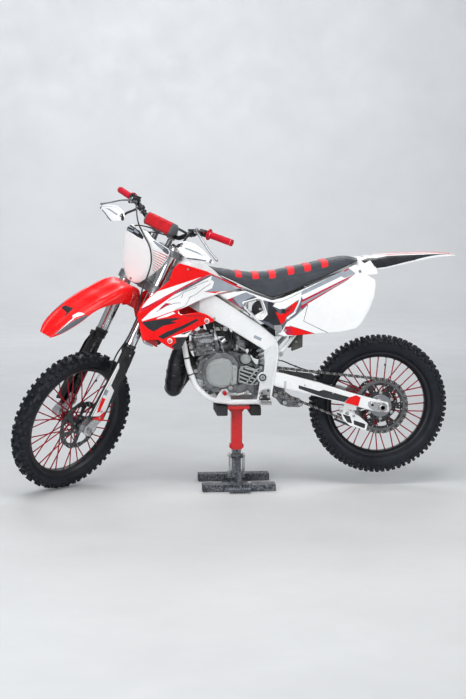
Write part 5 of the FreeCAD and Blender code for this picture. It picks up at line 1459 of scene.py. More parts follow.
def hand_guards_():
    m = Mesh()
    # wrapped shields below the levers: (|y|, t) outline, bowed back towards the bar's ends
    q = [(178, 950), (186, 971), (204, 984), (232, 992), (265, 994.5), (300, 989), (335, 979), (365, 966), (386, 955), (384, 951),
         (365, 945.5), (335, 935.5), (300, 925.5), (265, 919.5), (230, 924.5), (202, 934), (184, 943)]
    for s in (1, -1):
        poly = spline2([(s * a, b) for a, b in q], 3)

        def surf(y, t, d):
            k = (t - 956) / 38.0
            e = (abs(y) - 178) / 208.0
            return (119.6 - 36 * e * e + 3.2 * (1 - k * k) - d, y, t)
        lay = [([(s * 176, 956), (s * 200, 975), (s * 212, 972), (s * 192, 944), (s * 178, 946)], 2),
               ([(s * 250, 921), (s * 262, 919), (s * 352, 946), (s * 352, 951), (s * 300, 937)], 1),
               ([(s * 228, 962), (s * 300, 968), (s * 340, 962), (s * 298, 961), (s * 230, 956)], 3),
               ([(s * 366, 940), (s * 376, 940), (s * 376, 970), (s * 366, 972)], 1)]
        panel(m, poly, surf, th=3.0, layers=lay, base=0, step=10, flip=(s < 0), roll=(3, 2))
        # rib along the top edge, stay from the bar and its bolts
        m.tube([surf(s * a, b, -0.4) for a, b in ((196, 975), (230, 985), (265, 988), (300, 983), (335, 973), (362, 962))], 2.2, seg=8, mat=0)
        st = [tp(1035, 62, s * 176), tp(1012, 82, s * 181), tp(990, 102, s * 192), tp(966, 114, s * 202)]
        m.tube(st, [6.0, 5.6, 5.6, 6.0], seg=14, mat=4)
        m.pipe(tp(1031, 44, s * 170), tp(1039, 48.5, s * 181), 17, 11.4, seg=32, mat=4)
        x0 = surf(s * 205, 962, -0.4)
        m.bolt(x0, (1, 0, 0), 5.0, 2.6, mat=5, washer=1.2)
        m.rbox(tp(964, x0[0] - 7.0, s * 204), (6, 24, 22), 2, mat=4)
    m.make("hand_guard_shields", "steering", [WHITE, GREYFILM, BLACKP, LGREY, BLACKP, STEEL], M_ST, replaces="hand_guards", angle=40)


PLATE_F = [(712, 22, 104, 101, 30, 98), (735, 52, 112, 106, 62, 94), (779, 82, 131, 121, 94, 90), (828, 90, 155, 143, 112, 74),
           (872, 92, 176, 163, 124, 72), (915, 86, 196, 183, 129, 77), (931, 80, 202, 191, 126, 88), (955, 46, 209, 205, 120, 100)]


def plate():
    """Front number plate: upright face, wings wrapped back round the legs,
    drawn on its flat development (q across, t along the steering axis)."""
    def sec(t):
        t = min(955.0, max(712.0, t))
        i = 0
        while i < len(PLATE_F) - 2 and t > PLATE_F[i + 1][0]:
            i += 1
        a, b = PLATE_F[i], PLATE_F[i + 1]
        k = (t - a[0]) / (b[0] - a[0])
        return [a[j] + (b[j] - a[j]) * k for j in range(1, 6)]

    def raw(q, t, d):
        wf, pc, pf, wo, pe = sec(t)
        w = math.hypot(wo - wf, pf - pe)
        a, s = abs(q), (1 if q >= 0 else -1)
        if a <= wf:
            return (pc - (pc - pf) * (a / wf) ** 2.2 - d, q, t)
        k = (a - wf) / w
        return (pf + (pe - pf) * k - d * (wo - wf) / w, s * (wf + (wo - wf) * k - d * (pf - pe) / w), t)

    def width(t):
        wf, pc, pf, wo, pe = sec(t)
        return wf + math.hypot(wo - wf, pf - pe)

    def surf(q, t, d):
        h = 9.0
        lim = width(t)
        e = min(h, max(0.0, lim - abs(q)))
        a, b, c = raw(q - e, t, d), raw(q, t, d), raw(q + e, t, d)
        return tuple(0.27 * a[i] + 0.46 * b[i] + 0.27 * c[i] for i in range(3))
    half = [(24, 712), (50, 723), (width(735) - 4, 735), (width(757) - 3, 757), (width(779) - 2, 779), (width(803) - 2, 803), (width(828) - 2, 828),
            (width(850) - 2, 850), (width(872) - 2, 872), (width(895) - 2, 895), (width(910) - 4, 912), (width(918) - 16, 922), (150, 927), (112, 931),
            (84, 938), (66, 949), (50, 954), (30, 951), (14, 943)]
    out = half + [(0, 941)] + [(-q, t) for q, t in half[::-1]] + [(0, 711)]
    # where pixels fall on the plate
    net = []
    for i in range(-52, 53):
        for j in range(0, 62):
            q, t = i * 4.0, 712 + j * 4.0
            if abs(q) > width(t) + 2:
                continue
            net.append((q, t, Vector(surf(q, t, 0))))

    def px(X, Y, lo=-300, hi=300):
        u, v = 90 + X / 9.8, 180 + Y / 9.8
        d = (ST_INV.to_3x3() @ ray(u, v)).normalized()
        best = None
        for q, t, P in net:
            if q < lo or q > hi:
                continue
            w = P - CAM_ST
            dep = w.dot(d)
            e = (w - d * dep).length + 0.004 * dep
            if best is None or e < best[0]:
                best = (e, q, t)
        return (best[1], best[2])
    lay = []
    patch = [px(*a) for a in ((357, 488), (372, 455), (402, 432), (440, 440), (482, 486), (527, 562), (518, 580), (468, 560), (402, 512))]
    lay.append((patch, 1))
    for seg_ in (((392, 452), (430, 470), (424, 482), (388, 466)), ((440, 478), (478, 520), (468, 530), (430, 496)), ((398, 490), (424, 502), (420, 512), (396, 500))):
        lay.append(([px(*a) for a in seg_], 6))
    for s in (1, -1):
        lay.append(([(s * 92, 926), (s * 104, 930), (s * 150, 924), (s * 160, 914), (s * 146, 906), (s * 112, 916)], 6))
        lay.append(([(s * 150, 923), (s * 178, 919), (s * 190, 908), (s * 186, 896), (s * 160, 900), (s * 148, 907), (s * 160, 914)], 3))
        n = 10
        for k in range(n):
            f = k / (n - 1)
            t0 = 888 - 88 * f
            t1 = 888 - 100 * f
            q1 = width(t1) - 7
            q0 = 102 + 14 * f if k % 2 else 98 + 14 * f
            if q1 - q0 < 12:
                continue
            lay.append(([(s * q0, t0 + 0.7), (s * q1, t1 + 2.1), (s * q1, t1 - 2.1), (s * q0, t0 - 0.7)], 2))
    m = Mesh()
    panel(m, out, surf, th=2.8, layers=lay, base=0, step=11, flip=True, roll=(2.5, 1.5))
    for s in (1, -1):
        m.bolt(surf(s * (width(880) - 12), 880, 0), (0.4, s, 0), 4.6, 2.2, mat=5, washer=1.2)
        m.rbox((190, s * 40, 944), (20, 12, 4), 1.5, mat=4)
    m.bolt(surf(0, 724, 0), (1, 0, 0.2), 5.5, 2.4, mat=5, washer=1.2)
    m.cyl((60, 0, 738), (104, 0, 728), 7, seg=18, mat=4)
    # straps from the plate's back to the upper clamp
    for s in (1, -1):
        m.tube([(198, s * 44, 946), (160, s * 46, 960), (110, s * 48, 968), (60, s * 48, 972)], 3.0, seg=10, mat=4)
    # the plate is drawn in the brighter painted-light white
    m.make("front_number_plate", "steering", [PLATE_LIT_WHITE, BLKFILM, RED, GREYFILM, BLACKP, STEEL, LGREY], M_ST, replaces="number_plate", angle=44)


def pad():
    """Handlebar pad: cloth cover over foam, stitched ends."""
    a, b = -94, 94
    m = Mesh()
    rings = []
    prof = [(-26, -8), (-8, -22), (16, -20), (26, -8), (27, 22), (18, 31), (-24, 32), (-33, 24)]
    base = rnd([(66 + c, 1009 + q) for q, c in prof], 9, 4)
    n = 29
    cx, cz = sum(p[0] for p in base) / len(base), sum(p[1] for p in base) / len(base)
    for i in range(n):
        f = i / (n - 1)
        y = a + (b - a) * f
        k = 1.0 + 0.03 * math.sin(math.pi * f)
        if f < 0.08:
            k *= 0.72 + 0.28 * math.sin(math.pi / 2 * f / 0.08)
        if f > 0.92:
            k *= 0.72 + 0.28 * math.sin(math.pi / 2 * (1 - f) / 0.08)
        ring = []
        for j, (p, t) in enumerate(base):
            wr = 0.45 * math.sin(f * 23 + j * 0.7) + 0.3 * math.sin(f * 61 + j * 1.9)
            dd = Vector((p - cx, t - cz))
            dd = dd * k + dd.normalized() * wr
            ring.append((cx + dd.x, y, cz + dd.y))
        rings.append(ring)
    m.ring_loft(rings, 0)
    nb = len(base)
    for i, f in enumerate(m.f):
        pass
    # red front and top, grey ends and back
    for i in range((n - 1) * nb):
        r, j = i // nb, i % nb
        f = (r + 0.5) / (n - 1)
        p, t = base[j]
        if f < 0.06 or f > 0.94 or p < 56:
            m.m[i] = 1
    for i in range((n - 1) * nb, len(m.f)):
        m.m[i] = 1
    # raised seams along the edges
    def at(f, j, o=1.0):
        ring = rings[int(round(f * (n - 1)))]
        p = Vector(ring[j % nb])
        c = Vector((cx, p.y, cz))
        return p + (p - c).normalized() * o
    for fy in (0.07, 0.93):
        m.tube([tuple(at(fy, j, 0.5)) for j in range(nb)] + [tuple(at(fy, 0, 0.5))], 0.9, seg=6, mat=1, smooth=False)
    js = [int(nb * 0.02), int(nb * 0.27), int(nb * 0.52), int(nb * 0.77)]
    for j in js:
        m.tube([tuple(at(f / 14, j, 0.5)) for f in range(1, 14)], 0.9, seg=6, mat=0, smooth=False)
    ob = m.make("padded_bar_cover", "steering", [PADR, PADG], M_ST, replaces="bar_pad", angle=60, wn=False)
    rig.padded(ob, fill=0.6)


def fender():
    rows = [(600, 10, 44, 22), (682, 60, 60, 34), (697, 118, 78, 58), (694, 158, 87, 70), (676, 196, 90, 64),
            (650, 230, 90, 50), (621, 264, 88, 36), (592, 300, 86, 26), (562, 330, 84, 19), (530, 360, 83, 17),
            (496, 390, 82, 21), (458, 420, 77, 22), (418, 446, 69, 17), (386, 463, 58, 11), (354, 480, 34, 6)]
    # smooth path: (t, p, halfwidth, skirt) by a spline through the rows
    P = [Vector((r[1], r[0], r[2], r[3])) for r in rows]
    sub = 4
    path = []
    for i in range(len(P) - 1):
        p0, p1, p2, p3 = P[max(0, i - 1)], P[i], P[i + 1], P[min(len(P) - 1, i + 2)]
        for k in range(sub):
            t = k / sub
            path.append(0.5 * ((2 * p1) + (p2 - p0) * t + (2 * p0 - 5 * p1 + 4 * p2 - p3) * t * t + (3 * p1 - p0 - 3 * p2 + p3) * t ** 3))
    path.append(P[-1])
    n = len(path)
    nw = 16

    def sec(i, f, d=0.0):
        """Point at station i, f from -1 to 1 across, d below the surface."""
        a, b = path[max(0, i - 1)], path[min(n - 1, i + 1)]
        dx, dz = b.x - a.x, b.y - a.y
        q = math.hypot(dx, dz)
        dx, dz = dx / q, dz / q
        nx, nz = -dz, dx           # upward normal of the path
        if nz < 0 and i < n * 0.7:
            pass
        if nx * 0 + nz < 0:
            nx, nz = -nx, -nz
        w, sk = path[i].z, path[i].w
        e = abs(f)
        # flat crown, raised shoulder line, then skirt
        y = w * (0.70 * min(1.0, e / 0.62) if e < 0.62 else 0.70 + 0.30 * math.sin((e - 0.62) / 0.38 * math.pi / 2))
        drop = 1.2 * (e / 0.62) ** 2 if e < 0.62 else 1.2 + (sk - 1.2) * (1 - math.cos((e - 0.62) / 0.38 * math.pi / 2))
        ridge = 2.0 * math.exp(-((e - 0.60) / 0.07) ** 2) - 1.6 * math.exp(-((e - 0.30) / 0.2) ** 2)
        drop = drop - ridge + d
        return (path[i].x - nx * drop, math.copysign(y, f), path[i].y - nz * drop)
    m = Mesh()
    fs = [-1 + 2 * j / (2 * nw) for j in range(2 * nw + 1)]
    rows_ = [[sec(i, f) for f in fs] for i in range(n)]
    under = [[sec(i, f, 3.2) for f in fs[::-1]] for i in range(n)]
    for i in range(n):
        # front lip narrows to a rounded end
        rows_[i] = rows_[i] + under[i]
    m.ring_loft(rows_, 0)
    nr = len(rows_[0])
    # crisp film regions are carried on separate thin skins
    def film(quad_pts, mat, lift=0.45):
        """Skin from polygon in (station, across) on the fender's top."""
        poly = quad_pts
        vs, tris, _l = cdt(poly, step=0.0, extra=())
        # refine: points along a grid inside the polygon
        gx = []
        xs = [q[0] for q in poly]
        ys = [q[1] for q in poly]
        ext = []
        for a in range(int(min(xs)) + 1, int(max(xs)) + 1):
            ext.append([(a, min(ys) - 0.01), (a, max(ys) + 0.01)])
        for b in range(-nw, nw + 1):
            v = b / nw
            if min(ys) < v < max(ys):
                ext.append([(min(xs) - 0.01, v), (max(xs) + 0.01, v)])
        vs, tris, _l = cdt(poly, extra=ext)

        def at(s, f, d):
            i = max(0, min(n - 2, int(s)))
            k = s - i
            a, b = sec(i, f, d), sec(i + 1, f, d)
            return tuple(a[j] + (b[j] - a[j]) * k for j in range(3))
        nv = len(vs)
        bd = boundary(tris)
        verts = [at(s, f, -lift) for s, f in vs] + [at(s, f, 0.6) for s, f in vs]
        faces = [t for t in tris] + [(b, a, a + nv, b + nv) for a, b in bd]
        m.add(verts, faces, mat)

    # station of a pixel on the near (left) upper face, found by search
    def station(X, Y):
        u, v = 30 + X / 14.25, 260 + Y / 14.25
        d = (ST_INV.to_3x3() @ ray(u, v)).normalized()
        best = None
        for i2 in range(0, (n - 1) * 2 + 1):
            s = i2 / 2.0
            i = min(n - 2, int(s))
            k = s - i
            for f in [q / 24.0 for q in range(-24, 25)]:
                a, b = sec(i, f), sec(i + 1, f)
                p = Vector((a[0] + (b[0] - a[0]) * k, a[1] + (b[1] - a[1]) * k, a[2] + (b[2] - a[2]) * k))
                w = p - CAM_ST
                e = (w - d * w.dot(d)).length
                depth = w.dot(d)
                sc_ = e + 0.004 * depth
                if best is None or sc_ < best[0]:
                    best = (sc_, s, f, e)
        return (best[1], best[2])
    pts = {}
    for key, lst in (("chev", [(455, 665), (500, 650), (610, 690), (490, 820), (520, 750), (460, 700)]),
                     ("white", [(600, 800), (690, 740), (775, 770), (620, 830)]),
                     ("grey", [(340, 1060), (430, 1055), (810, 815), (820, 780), (770, 790), (560, 900)]),
                     ("line", [(620, 830), (340, 1060), (352, 1052), (632, 834)]),
                     ("far", [(175, 880), (330, 740), (480, 610), (470, 604), (320, 730)])):
        pts[key] = [station(*q) for q in lst]
    print("FENDER", {k: [(round(a, 1), round(b, 2)) for a, b in v] for k, v in pts.items()})
    FP = pts
    for key, mat in (("chev", 2), ("white", 1), ("grey", 3), ("line", 1), ("far", 3)):
        try:
            film(pts[key], mat)
        except Exception as e:
            print("film", key, e)
    # bolts to the lower clamp, stiffening ribs below
    for p, y in ((44, 24), (44, -24), (96, 24), (96, -24)):
        s = min(range(n), key=lambda i: abs(path[i].x - p))
        q = sec(s, y / 62.0, 0)
        m.bolt((q[0], y, q[2] - 0.6), (0, 0, 1), 5.2, 2.6, mat=4, washer=2)
    for y in (-20, 0, 20):
        m.tube([tuple(Vector(sec(i, y / 60.0, 3.4))) for i in range(8, n - 10, 3)], 2.0, seg=6, mat=0, smooth=False)
    m.make("front_mudguard", "steering", [RED, WFILM, BLKFILM, GREYFILM, STEEL], M_ST, replaces="front_fender", angle=42)


def front_brake():
    m = Mesh()
    body = [(-34, 44), (-44, 112), (-10, 134), (22, 104), (2, 60)]
    m.prism(rnd([(p, t) for p, t in body], 9), 59.0, 72, ch=2.2, mat=0)
    m.prism(rnd([(p, t) for p, t in body], 9), 38, 45.5, ch=1.6, mat=0)
    # bridge over the disc's edge
    m.rbox((-34, 55, 80), (12, 20, 46), 4, mat=0, R=Matrix.Rotation(math.radians(8), 3, "Y"))
    m.rbox((-20, 55, 121), (30, 18, 10), 4, mat=0, R=Matrix.Rotation(math.radians(-38), 3, "Y"))
    for t, p in ((70, -16), (100, -14)):
        m.cyl((p, 71, t), (p, 74.5, t), 13.5, seg=36, ch=1.2, mat=0)
        m.cyl((p, 74, t), (p, 75.6, t), 6.0, seg=6, ch=0.4, mat=1)
    m.rbox((0, 75, 90), (30, 8, 46), 3, mat=0)
    for t in (70, 112):
        m.bolt((10, 78.5, t), (0, 1, 0), 5.5, 4.0, "hex", mat=1)
    m.bolt((-24, 70, 128), (0, 0.3, 1), 5.2, 5, "hex", mat=1)
    m.cyl((-22, 66, 126), (-22, 66, 136), 7.0, seg=20, mat=1)
    # pads each side of the disc
    for y0, y1 in ((45.2, 49.4), (54.8, 59.2)):
        m.prism(rnd([(-26, 62), (-30, 108), (-8, 116), (8, 100), (-2, 70)], 5), y0, y1, ch=0.5, mat=2)
    m.make("front_brake_caliper", "steering", [CAST, STEEL, DARKMET], M_ST, replaces="front_caliper", angle=34)
    a = Mesh()
    a.cyl((OFFSET, -122, AXLE_T), (OFFSET, 119, AXLE_T), 10.0, seg=36, mat=0)
    a.pipe((OFFSET, -130, AXLE_T), (OFFSET, -118.5, AXLE_T), 15, 8.5, seg=36, ch=1.2, mat=0)
    a.ring_loft([[(OFFSET + q[0], y, AXLE_T + q[1]) for q in circle2(0, 0, r, 6)] for y, r in
                 ((118.3, 15), (128.5, 15), (130, 13.4))] + [[(OFFSET + q[0], y, AXLE_T + q[1]) for q in circle2(0, 0, r, 6)]
                                                             for y, r in ((130, 8.2), (124, 7.6))], 0)
    for s, e in ((1, 1), (-1, 1)):
        a.pipe((OFFSET, s * 60.5, AXLE_T), (OFFSET, s * 77.6, AXLE_T), 15.5, 10.1, seg=32, mat=1)
    a.make("front_axle_shaft", "steering", [STEEL, ALLOY], M_ST, replaces="front_axle", angle=32)


fork()
guards()
clamps()
bars()
controls_()
hand_guards_()
plate()
pad()
fender()
front_brake()


# ---------------------------------------------------------------- bodywork
SHROUD = [(286.7, 1076.6), (154.4, 1036.6), (135.6, 1027.0), (-13.5, 956.4), (97.2, 934.0), (173.2, 913.2),
          (249.1, 879.7), (290.7, 858.9), (282.9, 845.5), (264.1, 841.7), (229.8, 849.3), (191.8, 851.0),
          (161.5, 841.1), (119.6, 814.2), (127.0, 806.5), (191.7, 788.0), (237.4, 757.9), (248.9, 742.4),
          (279.1, 689.1), (286.4, 685.5), (317.1, 685.8), (351.0, 704.9), (388.9, 731.9), (457.3, 728.7),
          (472.2, 793.5), (481.6, 843.0), (467.9, 880.9), (437.8, 914.5), (388.7, 952.2), (332.2, 997.5),
          (313.1, 1050.3)]


def stripe(a, b, w0, w1=None):
    """Thin four-cornered strip between two points."""
    w1 = w0 if w1 is None else w1
    dx, dz = b[0] - a[0], b[1] - a[1]
    n = math.hypot(dx, dz) or 1.0
    nx, nz = -dz / n * 0.5, dx / n * 0.5
    return [(a[0] + nx * w0, a[1] + nz * w0), (b[0] + nx * w1, b[1] + nz * w1), (b[0] - nx * w1, b[1] - nz * w1),
            (a[0] - nx * w0, a[1] - nz * w0)]


def polyline(pts, w):
    """Strip of even width along points, mitred."""
    n = len(pts)
    L_, R_ = [], []
    for i in range(n):
        a, b = Vector(pts[max(0, i - 1)]), Vector(pts[min(n - 1, i + 1)])
        d = (b - a).normalized()
        nn = Vector((-d.y, d.x)) * (w / 2)
        p = Vector(pts[i])
        L_.append(tuple(p + nn))
        R_.append(tuple(p - nn))
    return L_ + R_[::-1]


def q27(X, Y):
    return on_plane(110 + X / 9.8, 250 + Y / 9.8, 220.0, 0.20, -0.12)


def q29(X, Y):
    return on_plane(220 + X / 9.8, 230 + Y / 9.8, 178.0, -0.035, -0.06)


def P27(pts):
    return [q27(*p) for p in pts]


def P29(pts):
    return [q29(*p) for p in pts]


def shrouds_():
    # colours: 0 red, 1 white, 2 crimson, 3 grey, 4 blue grey, 5 black, 6 dark red, 7 light grey
    lay = []
    lay.append((P27([(830, 287), (640, 350), (465, 408), (375, 482), (325, 545), (310, 575), (400, 528), (560, 440), (740, 345), (900, 262)]), 1))
    # long white field with its pointed tail
    lay.append((P27([(1005, 245), (870, 320), (760, 378), (640, 430), (540, 500), (400, 600), (310, 690), (320, 700), (460, 655), (640, 590),
                     (740, 558), (860, 500), (1010, 455), (1100, 440), (1040, 425), (920, 410), (1000, 375), (1020, 310), (990, 290)]), 1))
    lay.append((P27([(620, 605), (470, 662), (452, 678), (560, 655), (640, 622)]), 1))
    lay.append((P27([(985, 235), (900, 262), (740, 345), (560, 440), (400, 528), (310, 575), (300, 605), (420, 540), (570, 455), (745, 362),
                     (870, 300), (965, 250)]), 2))
    lay.append((P27([(1000, 240), (965, 250), (870, 300), (745, 362), (640, 420), (610, 440), (640, 432), (760, 377), (870, 320), (1005, 247)]), 3))
    # grey field behind, over the spar
    lay.append((P27([(1000, 250), (1060, 270), (1150, 320), (1290, 385), (1240, 405), (1130, 405), (920, 410), (1000, 375), (1020, 310), (990, 290)]), 4))
    lay.append((P27([(1325, 395), (1240, 408), (1130, 412), (1045, 432), (1100, 446), (1112, 464), (1180, 452)]), 0))
    lay.append((P27([(1090, 405), (1160, 402), (1060, 424), (1000, 432)]), 1))
    lay.append((P27([(1000, 240), (1060, 262), (1150, 312), (1325, 394), (1290, 385), (1150, 324), (1060, 273), (1000, 252)]), 2))
    # pinstripes inside the white field
    for pl in ([(565, 498), (660, 456), (690, 438), (720, 400), (850, 345), (960, 300)],
               [(700, 470), (718, 420), (735, 408), (850, 366)],
               [(770, 470), (850, 430), (905, 385), (985, 330)],
               [(640, 585), (740, 545), (765, 500), (790, 455)],
               [(455, 605), (560, 545), (640, 520), (695, 518)],
               [(700, 580), (860, 505), (1010, 462), (1090, 446)]):
        lay.append((polyline(P27(pl), 2.2), 7))
    lay.append((P27([(545, 520), (600, 525), (545, 550), (470, 600), (500, 560)]), 2))
    # dark flashes in the lower half
    lay.append((P27([(310, 712), (420, 690), (560, 672), (640, 665), (700, 672), (600, 700), (660, 712), (520, 745), (430, 800), (375, 775)]), 5))
    lay.append((P27([(470, 848), (560, 800), (700, 745), (850, 672), (870, 690), (740, 762), (620, 825), (520, 875)]), 5))
    lay.append((P27([(720, 640), (900, 640), (930, 652), (740, 652)]), 6))
    lay.append((P27([(600, 852), (800, 785), (775, 850), (640, 856)]), 1))
    lay.append((P27([(690, 825), (800, 787), (786, 800), (730, 828)]), 5))
    lay.append((P27([(640, 858), (772, 852), (705, 985), (640, 982), (600, 940), (650, 905)]), 8))
    lay.append((P27([(640, 982), (705, 985), (700, 1000), (610, 992), (545, 950), (560, 935)]), 0))
    lay.append((P27([(690, 590), (668, 602), (668, 622), (700, 640), (712, 632), (684, 618), (690, 604)]), 1))

    crease = P27([(300, 590), (560, 448), (745, 350), (985, 238)])

    def side_of(x, z):
        # height above the crease line, mm
        best = None
        for a, b in zip(crease, crease[1:]):
            dx, dz = b[0] - a[0], b[1] - a[1]
            l = math.hypot(dx, dz)
            t = ((x - a[0]) * dx + (z - a[1]) * dz) / (l * l)
            tt = max(0, min(1, t))
            d = math.hypot(x - a[0] - tt * dx, z - a[1] - tt * dz)
            sg = ((x - a[0]) * dz - (z - a[1]) * dx) / l
            if best is None or d < best[0]:
                best = (d, sg)
        return best[1] if abs(best[1]) < 1e9 else 0

    def relief(x, z):
        h = side_of(x, z)
        up = 1 / (1 + math.exp(-h / 2.2)) if abs(h) < 60 else (1.0 if h > 0 else 0.0)
        # upper field stands back; a long hollow runs through the lower half; front edge rolls in
        r = -3.4 * up
        r += 3.0 * math.exp(-((h + 10) / 20.0) ** 2)
        d2 = (z - (770 + 0.28 * (x - 300)))
        r -= 2.6 * math.exp(-(d2 / 24.0) ** 2)
        k = max(0.0, (x - 385) / 95.0)
        r -= 13.0 * k * k
        k = max(0.0, (z - 1010) / 66.0)
        r -= 7.0 * k * k
        return r

    for s, tag in ((1, "left"), (-1, "right")):
        m = Mesh()

        def surf(x, z, d, s=s):
            y = 220.0 + 0.20 * x - 0.12 * z + relief(x, z) - d
            # tail meets the tank and seat
            k = max(0.0, (70 - x) / 84.0)
            return (x, s * (y - 10 * k * k), z)
        panel(m, rnd(SHROUD, [8, 4, 4, 3, 3, 3, 3, 6, 6, 6, 4, 4, 6, 4, 4, 4, 4, 4, 8, 6, 6, 4, 6, 8, 4, 6, 6, 4, 4, 6, 8], 3),
              surf, th=3.2, layers=lay, base=0, back=0, step=13, roll=(3.0, 2.0), flip=(s > 0))
        # inward duct to the radiator: a lower scoop and louvres, below, in dark red as painted shade; first the fixing
        # bolts on their bosses
        for (X, Y), mt in (((585, 893), 1), ((948, 697), 1), ((765, 190), 0)):
            x, z = q27(X, Y)
            p = surf(x, z, 0)
            if mt:
                m.cyl((p[0], p[1] - s * 1.5, p[2]), (p[0], p[1] + s * 2.2, p[2]), 13, 11.5, seg=32, ch=0.8, mat=1)
                m.cyl((p[0], p[1] + s * 1.4, p[2]), (p[0], p[1] + s * 2.8, p[2]), 8.4, seg=28, ch=0.4, mat=0)
                m.bolt((p[0], p[1] + s * 2.6, p[2]), (0, s, 0), 5.0, 2.6, mat=9)
            else:
                m.cyl((p[0], p[1] - s * 0.5, p[2]), (p[0], p[1] + s * 0.8, p[2]), 11, seg=28, ch=0.4, mat=0)
                m.bolt((p[0], p[1] + s * 0.6, p[2]), (0, s, 0), 5.0, 2.4, mat=9)
        # forward scoop below the front edge, drawn in dark red as painted shade: a shaded copy of the red shell
        sc_ = [P27([(290, 735), (305, 760), (460, 870), (468, 962), (330, 890), (318, 870)])]
        ob_ = [q for q in sc_[0]]

        def surf2(x, z, d, s=s):
            k = max(0.0, (x - 385) / 95.0)
            return (x, s * (220.0 + 0.20 * x - 0.12 * z - 10 - 26 * k - d), z)
        panel(m, rnd(ob_, 4, 3), surf2, th=3.0, base=6, back=6, step=16, roll=(2.0, 1.4), flip=(s > 0))
        # louvres across the scoop, in the same dark red painted shade
        for k in range(3):
            f = 0.28 + 0.24 * k
            a = (ob_[1][0] + (ob_[4][0] - ob_[1][0]) * f, ob_[1][1] + (ob_[4][1] - ob_[1][1]) * f)
            b = (ob_[2][0] + (ob_[3][0] - ob_[2][0]) * f, ob_[2][1] + (ob_[3][1] - ob_[2][1]) * f)
            pa, pb = surf2(a[0] - 8, a[1], -0.6), surf2(b[0] + 6, b[1], -0.6)
            m.tube([pa, tuple((Vector(pa) + Vector(pb)) / 2 + Vector((0, s * 0.6, 0))), pb], 1.6, seg=8, mat=6)
        m.make(tag + "_radiator_shroud", "frame",
               [RED, WFILM, CRIMSON, GREYFILM, LGREY, BLKFILM, DARKRED, GREYFILM, BLKFILM, STEEL], replaces="shrouds", angle=40)


PANEL = [(-21.4, 946), (-75, 926), (-148.4, 900.8), (-200, 914), (-281.1, 948), (-416.4, 1008), (-537.7, 1068),
         (-566.6, 1032.8), (-629.5, 996.2), (-631.9, 967.8), (-623.8, 914.0), (-599.3, 853.3), (-564.2, 795.8),
         (-539.1, 771.1), (-467.0, 753.7), (-407.1, 749.9), (-348.3, 746.1), (-243.5, 738.4), (-201.8, 734.5),
         (-178.0, 745), (-160, 765), (-100, 801), (98.2, 930)]
VENT = [(-12.9, 890.9), (-80.7, 910.0), (-99.4, 904.4), (-121.4, 839.1), (-100.1, 816.0), (-72.1, 818.5), (-25.2, 862.9)]


